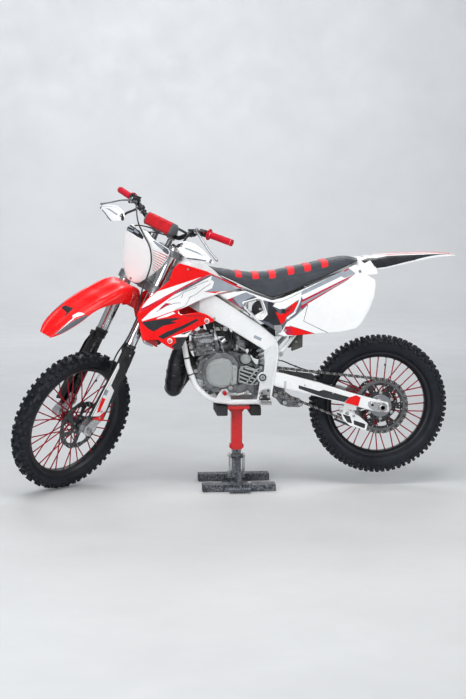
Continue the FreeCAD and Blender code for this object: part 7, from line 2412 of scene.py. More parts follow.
def radiators_():
    for s, tag in ((1, "left"), (-1, "right")):
        m = Mesh()
        y0, y1 = (46, 160) if s > 0 else (-160, -46)
        # tanks at top and bottom, core between, side plates
        def lb(c, sz, r=2, mat=0):
            m.rbox((c[1], c[2], c[0]), (sz[1], sz[2], sz[0]), r, mat=mat)
        yc = (y0 + y1) / 2
        lb((688, -108, yc), (24, 31.5, 113.5), 7)
        lb((492, -108, yc), (24, 31.5, 113.5), 7)
        for yy in (y0 + 1.5, y1 - 1.5):
            lb((590, -108, yy), (180, 30, 3), 0.8)
        for k in range(11):
            y = y0 + 8 + (y1 - y0 - 16) * k / 10
            lb((590, -108, y), (178, 24, 2.0), 0.6)
        for k in range(60):
            t = 502 + 176 * k / 59
            lb((t, -108, yc), (0.9, 27, 108), 0.0, mat=0)
        # guard louvres in front
        for k in range(11):
            t = 508 + 164 * k / 10
            m.rbox((-88, yc, t), (16, 106, 2.4), 0.8, mat=1, R=Matrix.Rotation(math.radians(-28), 3, "Y"))
        for yy in (y0 + 3, yc, y1 - 3):
            m.rbox((-88, yy, 590), (13, 4, 190), 1.2, mat=1)
        # filler cap on the right one, brackets and spouts
        if s < 0:
            m.cyl((-120, yc, 668), (-132, yc, 668), 15, seg=32, mat=2)
            m.cyl((-131, yc, 668), (-137, yc, 668), 19, 17.5, seg=32, ch=2, mat=2)
        for t, ya in ((690, y0 + s * 0 + 18), (492, y0 + 18)):
            m.cyl((-122, ya if s > 0 else -ya, t), (-142, ya if s > 0 else -ya, t), 11, seg=24, mat=0)
        for t in (520, 660):
            m.rbox((-108, s * 42, t), (14, 12, 16), 1.5, mat=0)
            m.bolt((-108, s * 44, t), (0, -s, 0), 4.5, 4, "hex", mat=2)
        m.make(tag + "_radiator", "frame", [RADAL, BLACKP, STEEL], columns(P_AX, Y_AX, S_AX, A0 * MM), replaces="radiators", angle=35)
    h = Mesh()
    L3 = lambda t, p, y: tuple(A0 + S_AX * t + P_AX * p + Y_AX * y)
    h.tube([(232, 0, 752), (262, 20, 784), L3(640, -132, 50), L3(672, -146, 58), L3(690, -143, 64)], [13, 13, 12.5, 12.5, 13], seg=20, mat=0)
    h.tube([(232, 0, 752), (262, -20, 784), L3(640, -132, -50), L3(672, -146, -58), L3(690, -143, -64)], [13, 13, 12.5, 12.5, 13], seg=20, mat=0)
    h.tube([L3(492, -140, 64), L3(500, -162, 56), L3(518, -178, 0), L3(500, -162, -56), L3(492, -140, -64)], 12.5, seg=20, mat=0)
    h.tube([L3(510, -174, -36), (330, -70, 702), (272, -96, 668), (222, -101, 600), (196, -97, 540), (190, -93, 501)], 12.5, seg=20, mat=0)
    for t, y in ((690, 64), (690, -64), (492, 64), (492, -64)):
        p, q = Vector(L3(t, -134, y)), Vector(L3(t, -142, y))
        h.cyl(p, q, 14.2, seg=24, ch=0.4, mat=1)
    h.make("coolant_hoses", "frame", [HOSE, STEEL], angle=35)


def exhaust_():
    st = [(233, 0, 676, 25), (258, -6, 668, 27), (276, -18, 640, 32), (281, -32, 598, 42), (283, -48, 548, 49), (290, -65, 500, 47),
          (296, -88, 466, 42), (290, -113, 461, 37), (270, -132, 480, 34), (238, -141, 518, 32), (198, -143, 562, 31), (158, -143, 602, 30),
          (112, -142, 640, 28), (62, -142, 670, 26), (10, -141, 698, 23), (-40, -138, 722, 19), (-90, -136, 738, 16), (-140, -134, 750, 14), (-200, -132, 762, 14), (-240, -131, 771, 14)]
    m = Mesh()
    m.tube([s[:3] for s in st], [s[3] for s in st], seg=40, sub=5, mat=0)
    # weld beads where the cones meet
    P = [Vector(s[:3]) for s in st]
    for i in (1, 2, 3, 4, 5, 6, 7, 8, 9, 11, 13, 15, 17):
        a, b = P[i - 1], P[min(len(P) - 1, i + 1)]
        d = (b - a).normalized()
        u = d.orthogonal().normalized()
        w = d.cross(u)
        r = st[i][3]
        ring = [tuple(P[i] + (u * math.cos(2 * math.pi * k / 40) + w * math.sin(2 * math.pi * k / 40)) *
                      (r + 0.4 + 0.35 * math.sin(k * 2.4))) for k in range(41)]
        m.tube(ring, 1.3, seg=6, mat=0, smooth=False)
    # springs at the port, fixing lug with its bolt, band at the silencer
    for s in (1, -1):
        n = 9
        pts = []
        for k in range(n * 10 + 1):
            a = 2 * math.pi * k / 10
            pts.append((214 + 28 * k / (n * 10) + 0.0, s * 31 + 3.6 * math.cos(a), 690 + 3.6 * math.sin(a) - 6 * k / (n * 10)))
        m.tube(pts, 1.0, seg=6, mat=1, smooth=False)
    m.rbox((252, -84, 560), (24, 12, 12), 3, mat=0)
    m.bolt((246, -90, 560), (0, -1, 0), 6, 5, "hex", mat=1, washer=2)
    m.rbox((-60, -118, 742), (22, 30, 6), 2, mat=0)
    m.make("expansion_chamber", "frame", [PIPEB, STEEL], replaces="exhaust_pipe", angle=40)
    s = Mesh()
    a, b = Vector((-245, -131, 772)), Vector((-600, -130, 862))
    d = (b - a)
    n = d.length
    d.normalize()
    u, w = Vector((0, 1, 0)), d.cross(Vector((0, 1, 0)))

    def ring(x, r, k1=1.0, k2=1.0, seg=56):
        return [a + d * x + (u * math.cos(2 * math.pi * i / seg) * k1 + w * math.sin(2 * math.pi * i / seg) * k2) * r for i in range(seg)]
    prof = [(0, 13.5), (0, 18), (3, 24), (12, 33), (20, 36.4), (24, 37), (27, 37), (28, 36.2), (n - 30, 36.2), (n - 29, 37), (n - 8, 37),
            (n - 3, 34.5), (n, 30), (n, 16), (n + 24, 16), (n + 26, 15.4), (n + 26, 12), (n + 22, 11), (n + 4, 11)]
    s.ring_loft([ring(x, r) for x, r in prof], 0)
    for x in (34, n - 38, 120, 250):
        s.ring_loft([ring(x - 5, 36.0), ring(x - 4.6, 37.0), ring(x + 4.6, 37.0), ring(x + 5, 36.0)], 1)
    for x in (27, n - 30):
        for k in range(10):
            an = 2 * math.pi * k / 10
            dd = (u * math.cos(an) + w * math.sin(an))
            s.cyl(tuple(a + d * x + dd * 36.4), tuple(a + d * x + dd * 38.2), 2.4, seg=12, ch=0.7, mat=1)
    s.pipe(tuple(a - d * 16), tuple(a + d * 6), 17.5, 14.6, seg=32, mat=2)
    # brackets to the subframe
    for x in (120, 250):
        c = a + d * x
        s.rbox((c.x, c.y + 42, c.z + 26), (16, 24, 12), 3, mat=1, R=Matrix.Rotation(math.radians(14), 3, "Y"))
        s.bolt((c.x, c.y + 36, c.z + 34), (0, 0, 1), 4.5, 4, "hex", mat=1)
    s.make("silencer_can", "frame", [ALLOY, STEEL, RUBBER], replaces="silencer", angle=32)


def airbox_():
    m = Mesh()
    secs = [(-176, 752, 880, 70, 70), (-200, 766, 884, 72, 72), (-260, 776, 902, 70, 68), (-320, 786, 918, 66, 62), (-345, 790, 925, 64, 58)]
    rings = []
    for x, z0, z1, w0, w1 in secs:
        rings.append([(x, y, z) for y, z in rnd([(-w0, z0), (w0, z0), (w1, z1), (-w1, z1)], 12, 4)])
    m.ring_loft(rings, 0)
    # duct round the left of the shock to the carburettor
    d1 = [(-58.6, -30, 659, 30, 719), (-84, 40, 668, 76, 728), (-120, 42, 684, 78, 752), (-160, 42, 700, 78, 780), (-178, 20, 745, 72, 846)]
    rr = []
    for x, ya, za, yb, zb in d1:
        rr.append([(x, y, z) for y, z in rnd([(ya, za), (yb, za), (yb, zb), (ya, zb)], 10, 4)])
    m.ring_loft(rr, 1)
    for x in (-196, -226, -258, -290):
        m.rbox((x, 70.5, 834), (5, 5, 92), 1.5, mat=0)
        m.rbox((x, -70.5, 834), (5, 5, 92), 1.5, mat=0)
    # filter seen through the side opening
    m.cyl((-96, 40, 858), (-96, 84, 858), 34, 38, seg=44, ch=5, mat=1)
    m.rbox((-98, 85.5, 858), (15, 5, 11), 2, mat=4)
    f = Mesh()
    m.rbox((-186, 76, 770), (22, 12, 30), 4, mat=0)
    m.bolt((-186, 82, 770), (0, 1, 0), 4.5, 3, mat=3)
    m.rbox((-190, 60, 742), (44, 40, 30), 8, mat=4)
    m.make("airbox_shell", "frame", [BLACKP, RUBBER, FOAM, STEEL, RADAL], replaces="airbox", angle=35)
    g = Mesh()
    cheek = [(-247, 653), (-299, 672), (-303, 791), (-263, 791)]
    for s_ in (1, -1):
        def side(x, z, d, s_=s_):
            return (x, s_ * (57.6 - d - 0.8 * math.sin((z - 653) / 138 * math.pi)), z)
        panel(g, rnd(cheek, 7), side, th=3.0, base=0, step=12, flip=s_ < 0)
        # moulded ribs and a rolled edge on each cheek
        for k in range(3):
            g.tube([(-258 - 11 * k, s_ * 57.4, 672 + 5 * k), (-268 - 10 * k, s_ * 57.0, 784)], 1.0, seg=6, mat=0, smooth=False)
        for z in (700, 776):
            g.bolt((-272, s_ * 57.0, z), (0, s_, 0), 4.2, 1.4, mat=1, washer=1)

    def back(y, t, d):
        return (-302.4 + d - 1.6 * (t / 120), y, 672 + t)
    panel(g, rnd([(-57, 0), (57, 0), (57, 119), (-57, 119)], 6), back, th=2.8, base=0, step=14, flip=True)
    g.make("rear_mud_flap", "frame", [FLAP, STEEL], replaces="mud_flap", angle=40)


engine_()
radiators_()
exhaust_()
airbox_()


# -------------------------------------------------------------------- rear
AXR = (-677.0, 391.7)
SPF = (-47.0, 560.0)
PIV = (-107.0, 540.0)


def q31(X, Y, y=110.0):
    return on_plane(270 + X / 12.06, 350 + Y / 12.06, y)


def swingarm_():
    top = [(-130, 572), (-212.4, 554.6), (-377.9, 509.8), (-528.4, 460.7), (-647.4, 427.9), (-707.7, 412)]
    bot = [(-712, 370), (-696.3, 366.1), (-628.6, 374.6), (-560.9, 394), (-497.2, 411), (-378.8, 442.9), (-201.2, 488.0), (-130, 505)]
    outl = [(-161, 566.2)] + top[1:] + bot[:-1] + [(-161, 498.8)]
    out = rnd(outl, 10, 5)
    slot = rnd([(AXR[0] - 16, AXR[1] - 13), (AXR[0] + 16, AXR[1] - 13), (AXR[0] + 16, AXR[1] + 13), (AXR[0] - 16, AXR[1] + 13)], 12, 6)
    for s, tag in ((1, "left"), (-1, "right")):
        m = Mesh()

        def surf(x, z, d, s=s):
            return (x, s * (110 - d), z)
        lay = []
        black = [(345, 425), (590, 495), (650, 480), (960, 570), (900, 630), (640, 570), (345, 465)]
        red = [(960, 570), (1040, 545), (1095, 570), (1065, 680), (900, 635)]
        lay.append(([q31(*a) for a in black], 1))
        lay.append(([q31(*a) for a in red], 2))
        lay.append(([q31(*a) for a in [(170, 372), (196, 378), (180, 520), (160, 512)]], 3))
        panel(m, out, surf, th=29, layers=lay, holes=[slot], step=0, base=0, back=0, flip=(s < 0), roll=(5.0, 3.6))
        # inner wall chamfer and the knuckle that holds the pivot bolt
        m.prism(rnd([(-140, 565), (-212, 552), (-212, 492), (-140, 510)], 5), s * 62, s * 83.5, mat=3, ch=2.0)
        m.pipe((PIV[0], s * 62.3, PIV[1]), (PIV[0], s * 83.7, PIV[1]), 26, 21.6, seg=56, ch=1.4, mat=3)
        # cast end, with the chain adjuster and its lock nut
        for x0 in (-700, ):
            m.cyl((-709, s * 95, 388), (-716, s * 95, 386.5), 8, seg=6, mat=5)
        m.prism(inset(slot, -4.5), s * 109.2, s * 111.6, mat=4, ch=0.8, holes=[slot])
        # bright end plate with its marks and a round boss
        m.prism(rnd([(-612, 422), (-648, 416), (-692, 404), (-700, 390), (-694, 375), (-640, 376), (-616, 388), (-609, 404)], 7), s * 109.4, s * 112.4, mat=4, ch=1.0, holes=[inset(slot, -3.5)])
        m.cyl((-630, s * 111.4, 403), (-630, s * 114.6, 403), 12.5, seg=40, ch=1.0, mat=4)
        m.cyl((-630, s * 114.2, 403), (-630, s * 115.6, 403), 6.5, seg=28, ch=0.5, mat=6)
        for k in range(5):
            m.rbox((-660 - 7 * k, s * 112.6, 410 - 1.6 * k), (1.4, 1.0, 6.0), 0.3, mat=6)
        # weld seams at the sleeve
        m.tube([q + (0,) if False else (q[0], s * 110.4, q[1]) for q in (q31(196, 378), q31(190, 440), q31(178, 520))], 1.5, seg=6, mat=3, smooth=False)
        # hose clips (right) and slider screws (left)
        if s > 0:
            for X, Y in ((420, 405), (760, 500)):
                x, z = q31(X, Y)
                m.bolt((x, 110, z - 8), (0, 1, 0), 4.0, 2.4, mat=5)
        else:
            for x, z in ((-300, 520), (-440, 476)):
                m.rbox((x, -98, z + 22), (12, 10, 12), 2, mat=6)
        m.make(tag + "_swingarm_leg", "frame", [FRAMEW, BLKFILM, RED, FRAMEG, ALLOY, STEEL, BLACKP], replaces=tag + "_swingarm", angle=36)
    b = Mesh()
    b.rbox((-223, 0, 523), (53, 123.6, 45.5), 6, mat=0)
    for y in (-40, 40):
        b.rbox((-223, y, 523), (54, 5, 46), 1.5, mat=0)
    # rubber chain slider over the pivot and along the arm
    b.make("swingarm_cross_box", "frame", [FRAMEG], replaces="swingarm_bridge", angle=40)
    c = Mesh()
    pts = [(-198, 559.0), (-212, 556), (-377, 511.5), (-500, 471.4)]
    c.prism(rnd([(-190, 560.5), (-212, 556.2), (-377.5, 511.4), (-505, 470.5), (-503, 463), (-377, 503), (-212, 549), (-190, 553)], 3), 56, 82.5,
            mat=0, ch=1.2)
    c.prism(rnd([(-188, 570), (-250, 562.5), (-345, 551.0), (-362, 536), (-352, 512), (-212, 545), (-188, 548)], 4), 76.4, 79.7, mat=0, ch=0.8)
    for x, z in ((-230, 552.6), (-330, 525.4), (-440, 492.0)):
        c.bolt((x, 69, z + 0.5), (0.26, 0, 1), 4, 1.6, mat=1)
    c.prism(rnd([(-196, 496), (-212, 492), (-330, 462), (-330, 456), (-212, 485), (-192, 490)], 2), 56, 79.5, mat=0, ch=1.0)
    # roller under the frame
    c.cyl((-150, 56, 470), (-150, 78, 470), 14, seg=40, ch=2, mat=0)
    c.cyl((-150, 52, 470), (-150, 86, 470), 5, seg=20, mat=1)
    c.make("chain_slider", "frame", [BLACKP, STEEL], angle=36)


def chain_():
    m = Mesh()
    g = 2 * math.pi / 52
    rr, rf = 127.0, 35.0
    dx, dz = SPF[0] - AXR[0], SPF[1] - AXR[1]
    L_ = math.hypot(dx, dz)
    base = math.atan2(dz, dx)
    off = math.acos((rr - rf) / L_)
    a0, a1 = base + off, base - off + 2 * math.pi
    k0, k1 = math.ceil(a0 / g), math.floor(a1 / g)
    P = [(AXR[0] + rr * math.cos(k * g), AXR[1] + rr * math.sin(k * g)) for k in range(k0, k1 + 1)]
    # remaining path: lower run, front sprocket, upper run
    path = []
    e0, e1 = (a1 - k1 * g), (k0 * g - a0)
    for i in range(9):
        a = k1 * g + e0 * i / 8
        path.append((AXR[0] + rr * math.cos(a), AXR[1] + rr * math.sin(a)))
    for i in range(41):
        a = (base - off) + 2 * off * i / 40
        path.append((SPF[0] + rf * math.cos(a), SPF[1] + rf * math.sin(a)))
    for i in range(9):
        a = a0 + e1 * i / 8
        path.append((AXR[0] + rr * math.cos(a), AXR[1] + rr * math.sin(a)))
    S = [0.0]
    for i in range(1, len(path)):
        S.append(S[-1] + math.dist(path[i - 1], path[i]))
    n = int(round(S[-1] / (rr * g)))
    if (n + len(P) - 1) % 2:
        n += 1 if S[-1] / (rr * g) > n else -1

    def at(s):
        i = 0
        while i < len(S) - 2 and S[i + 1] < s:
            i += 1
        k = (s - S[i]) / max(1e-9, S[i + 1] - S[i])
        return (path[i][0] + (path[i + 1][0] - path[i][0]) * k, path[i][1] + (path[i + 1][1] - path[i][1]) * k)
    for i in range(1, n):
        P.append(at(S[-1] * i / n))
    N = len(P)
    for i in range(N):
        a, b = P[i], P[(i + 1) % N]
        q = math.dist(a, b)
        ux, uz = (b[0] - a[0]) / q, (b[1] - a[1]) / q
        an = math.atan2(uz, ux)
        prof = []
        for k in range(7):
            t = an + math.pi / 2 + math.pi * k / 6
            prof.append((a[0] + 6.4 * math.cos(t), a[1] + 6.4 * math.sin(t)))
        mid = ((a[0] + b[0]) / 2, (a[1] + b[1]) / 2)
        prof.append((mid[0] + uz * 4.9, mid[1] - ux * 4.9))
        for k in range(7):
            t = an - math.pi / 2 + math.pi * k / 6
            prof.append((b[0] + 6.4 * math.cos(t), b[1] + 6.4 * math.sin(t)))
        prof.append((mid[0] - uz * 4.9, mid[1] + ux * 4.9))
        y0 = 5.6 if i % 2 else 3.6
        for s in (1, -1):
            m.prism(prof, 66 + s * y0, 66 + s * (y0 + 1.7), mat=0 if i % 2 else 1, ch=0.25)
        m.cyl((a[0], 58.2, a[1]), (a[0], 73.8, a[1]), 2.4, seg=8, ch=0.3, mat=1)
        m.cyl((a[0], 62.6, a[1]), (a[0], 69.4, a[1]), 4.4, seg=10, ch=0.3, mat=2)
    m.make("drive_chain_links", "frame", [CHAINM, STEEL, CHAINM], replaces="chain", angle=30, wn=False)
    # front sprocket, seen behind its cover
    t = Mesh()
    out = []
    nt = 14
    for k in range(nt * 8):
        a = 2 * math.pi * k / (nt * 8)
        out.append((SPF[0] + (32.0 + 4.2 * math.cos(a * nt)) * math.cos(a), SPF[1] + (32.0 + 4.2 * math.cos(a * nt)) * math.sin(a)))
    t.prism(out, 63.4, 68.6, mat=0, ch=0.6)
    t.cyl((SPF[0], 60, SPF[1]), (SPF[0], 78, SPF[1]), 14, seg=32, mat=0)
    t.cyl((SPF[0], 76, SPF[1]), (SPF[0], 82, SPF[1]), 8, seg=6, mat=0)
    t.make("output_sprocket", "frame", [DARKMET], angle=32)


def guide_():
    m = Mesh()
    P = lambda l, y=81.0: [q31(a, b, y) for a, b in l]
    side = P([(835, 690), (960, 730), (1080, 800), (1180, 890), (1160, 970), (960, 910), (880, 840)])
    h1 = P([(872, 772), (966, 800), (992, 888), (934, 872)])
    h2 = P([(1008, 846), (1150, 894), (1143, 948), (1014, 900)])
    h3 = P([(905, 752), (935, 760), (960, 786), (915, 776)])
    # keep clear of the chain's lower run
    for y0, y1 in ((77, 81), (51, 55)):
        m.prism(rnd(side, 6), y0, y1, mat=0, ch=1.1, holes=[rnd(h, 3) for h in (h1, h2, h3)])
    inn = inset(rnd(side, 6), 5)
    for h in (h1, h2, h3):
        m.prism(inset(rnd(h, 3), -1.6), 75.4, 77.2, mat=1, ch=0.3)
    # dark wear block seen through the windows: strips above and below the chain
    dx, dz = SPF[0] - AXR[0], SPF[1] - AXR[1]
    L_ = math.hypot(dx, dz)
    base, off = math.atan2(dz, dx), math.acos((127.0 - 35.0) / L_)
    p0 = Vector((AXR[0] + 127 * math.cos(base - off), 66, AXR[1] + 127 * math.sin(base - off)))
    u = Vector((math.cos(base - off + math.pi / 2), 0, math.sin(base - off + math.pi / 2)))
    nn = Vector((math.cos(base - off), 0, math.sin(base - off)))
    for d0, d1, x0, x1 in ((10.5, 20, 96, 178), (-17, -9.8, 100, 176)):
        c = [p0 + u * x0 + nn * d0, p0 + u * x1 + nn * d0, p0 + u * x1 + nn * d1, p0 + u * x0 + nn * d1]
        m.prism(rnd([(q.x, q.z) for q in c], 2), 55.2, 76.8, mat=1, ch=0.8)
    for X, Y in ((865, 735), (935, 755), (1010, 795)):
        x, z = q31(X, Y, 81)
        m.bolt((x, 81, z), (0, 1, 0), 5.2, 3.0, "hex", mat=2, washer=1.4)
    x, z = q31(865, 735, 81)
    m.prism(rnd([(-500, 412), (-560, 396), (-560, 372), (-500, 380)], 4), 76.6, 80.6, mat=0, ch=0.8)
    m.make("chain_guide_block", "frame", [WHITE, BLACKP, STEEL], replaces="chain_guide", angle=36)


def axle_():
    m = Mesh()
    m.cyl((AXR[0], -130, AXR[1]), (AXR[0], 128, AXR[1]), 12.4, seg=40, mat=1)
    for s in (1, -1):
        blk = rnd([(AXR[0] - 22, AXR[1] - 15), (AXR[0] + 22, AXR[1] - 16), (AXR[0] + 22, AXR[1] + 16), (AXR[0] - 22, AXR[1] + 15)], 5)
        m.prism(blk, s * 111.7, s * 118, mat=0, ch=1.4)
        for k in range(-2, 3):
            m.rbox((AXR[0] + k * 6, s * 111.6, AXR[1] + 21.5), (1.2, 1.2, 4.5), 0.2, mat=2)
        r = 19
        hexr = [[(AXR[0] + q[0], s * y, AXR[1] + q[1]) for q in circle2(0, 0, rr, 6, 0.3)] for y, rr in ((119, r), (131, r), (133, r - 2.5))]
        hexr += [[(AXR[0] + q[0], s * y, AXR[1] + q[1]) for q in circle2(0, 0, rr, 6, 0.3)] for y, rr in ((133, 11.5), (128, 11))]
        m.ring_loft(hexr if s > 0 else [h[::-1] for h in hexr], 1)
        m.pipe((AXR[0], s * 118, AXR[1]), (AXR[0], s * 120, AXR[1]), 21.5, 12.6, seg=44, ch=0.5, mat=1)
        # adjuster bolt to the end of the arm
        m.cyl((AXR[0] - 14, s * 95, AXR[1] - 1), (AXR[0] - 47, s * 95, AXR[1] - 7), 4, seg=14, mat=1)
        m.cyl((AXR[0] - 36, s * 95, AXR[1] - 5), (AXR[0] - 41, s * 95, AXR[1] - 6), 8.5, seg=6, mat=1)
        # spacer between arm and hub
        m.pipe((AXR[0], s * 74.6, AXR[1]), (AXR[0], s * 80.5, AXR[1]), 19, 12.5, seg=36, ch=0.6, mat=0)
    m.make("rear_axle_and_adjusters", "frame", [ALLOY, STEEL, DARKMET], replaces="rear_axle", angle=32)
    c = Mesh()
    prof = rnd([(-590, 400), (-545, 412), (-535, 452), (-560, 476), (-596, 462)], 8)
    c.prism(prof, -91, -75.2, mat=0, ch=2.2)
    c.prism(prof, -60.3, -51, mat=0, ch=1.8)
    c.rbox((-546, -67.7, 452), (18, 24, 34), 4, mat=0, R=Matrix.Rotation(math.radians(-20), 3, "Y"))
    c.cyl((-568, -90, 436), (-568, -93.5, 436), 14, seg=36, ch=1.2, mat=0)
    c.bolt((-552, -90, 462), (0, -1, 0), 5, 4, "hex", mat=1)
    c.bolt((-552, -90, 416), (0, -1, 0), 5, 4, "hex", mat=1)
    c.cyl((-560, -84, 474), (-560, -84, 480), 8, seg=20, mat=1)
    c.prism(rnd([(-586, 406), (-556, 412), (-548, 452), (-566, 468), (-590, 456)], 5), -74.8, -71.6, mat=2, ch=0.4)
    c.prism(rnd([(-586, 406), (-556, 412), (-548, 452), (-566, 468), (-590, 456)], 5), -63.6, -60.6, mat=2, ch=0.4)
    c.make("rear_brake_caliper", "frame", [CAST, STEEL, DARKMET], replaces="rear_caliper", angle=34)


def shock_():
    m = Mesh()
    a, b = Vector((-78, 0, 768)), Vector((-180, 0, 535))
    d = (b - a)
    n = d.length
    d.normalize()
    u = Vector((0, 1, 0))
    w = d.cross(u)

    def at(x):
        return a + d * x
    m.cyl(at(12), at(118), 26, 25, seg=44, ch=2.5, mat=0)
    for x in (30, 40, 50):
        m.cyl(at(x), at(x + 4), 27.2, seg=44, ch=0.6, mat=0)
    m.cyl(at(56), at(62), 37, seg=48, ch=1.2, mat=0)
    m.cyl(at(118), at(196), 8, seg=24, mat=2)
    m.cyl(at(206), at(213), 36, seg=48, ch=1.2, mat=0)
    m.cyl(at(200), at(n - 6), 12, 11, seg=28, ch=1, mat=0)
    pts = []
    turns = 6.3
    N = 230
    for i in range(N + 1):
        f = i / N
        an = 2 * math.pi * turns * f
        x = 66 + 136 * f
        pts.append(tuple(at(x) + (u * math.cos(an) + w * math.sin(an)) * 31.5))
    m.tube(pts, 6.0, seg=12, mat=1, smooth=False)
    m.cyl((a.x, -23, a.z), (a.x, 23, a.z), 21, seg=44, ch=2, mat=0)
    m.cyl((a.x, -30, a.z), (a.x, 30, a.z), 8, seg=6, ch=1, mat=2)
    m.cyl((b.x, -18, b.z), (b.x, 18, b.z), 13, seg=36, ch=1.5, mat=0)
    m.make("shock_absorber", "frame", [ALLOY, WHITE, STEEL], replaces="rear_shock", angle=32)
    k = Mesh()
    prof = [(-194, 540), (-166, 540), (-160, 470), (-158, 440), (-184, 424), (-206, 396), (-240, 384), (-296, 382),
            (-313, 396), (-304, 416), (-262, 430), (-232, 452), (-214, 486)]
    for y0, y1 in ((-26, -14), (14, 26)):
        k.prism(rnd(prof, 7), y0, y1, mat=0, ch=1.8)
    k.prism(rnd([(-190, 536), (-170, 536), (-165, 480), (-164, 446), (-190, 430), (-212, 402), (-240, 392), (-294, 390), (-298, 410),
                 (-250, 424), (-222, 458), (-208, 486)], 6), -15, 15, mat=0, ch=1.0)
    for s in (1, -1):
        # cast ribs, bosses and the bolts through them
        for a, b, r in (((-184, 516), (-170, 452), 3.2), ((-186, 438), (-214, 410), 3.4), ((-238, 398), (-288, 392), 3.0), ((-232, 420), (-284, 412), 2.6)):
            k.tube([(a[0], s * 26, a[1]), (b[0], s * 26, b[1])], r, seg=8, mat=0, smooth=False)
        for x, z in ((-178, 444), (-223, 407), (-296, 400)):
            k.cyl((x, s * 24, z), (x, s * 36, z), 14.5, seg=36, ch=1.8, mat=0)
            k.cyl((x, s * 35, z), (x, s * 38, z), 11.5, seg=32, ch=0.6, mat=2)
            k.bolt((x, s * 38, z), (0, s, 0), 8.5, 5.2, "hex", mat=1, washer=1.2)
    for x, z in ((-178, 444), (-223, 407), (-296, 400)):
        k.cyl((x, -42, z), (x, 42, z), 6, seg=24, mat=1)
    k.cyl((-180, -28, 535), (-180, 28, 535), 7, seg=6, mat=1)
    k.make("shock_linkage", "frame", [CAST, STEEL, DARKMET], replaces="suspension_linkage", angle=34)


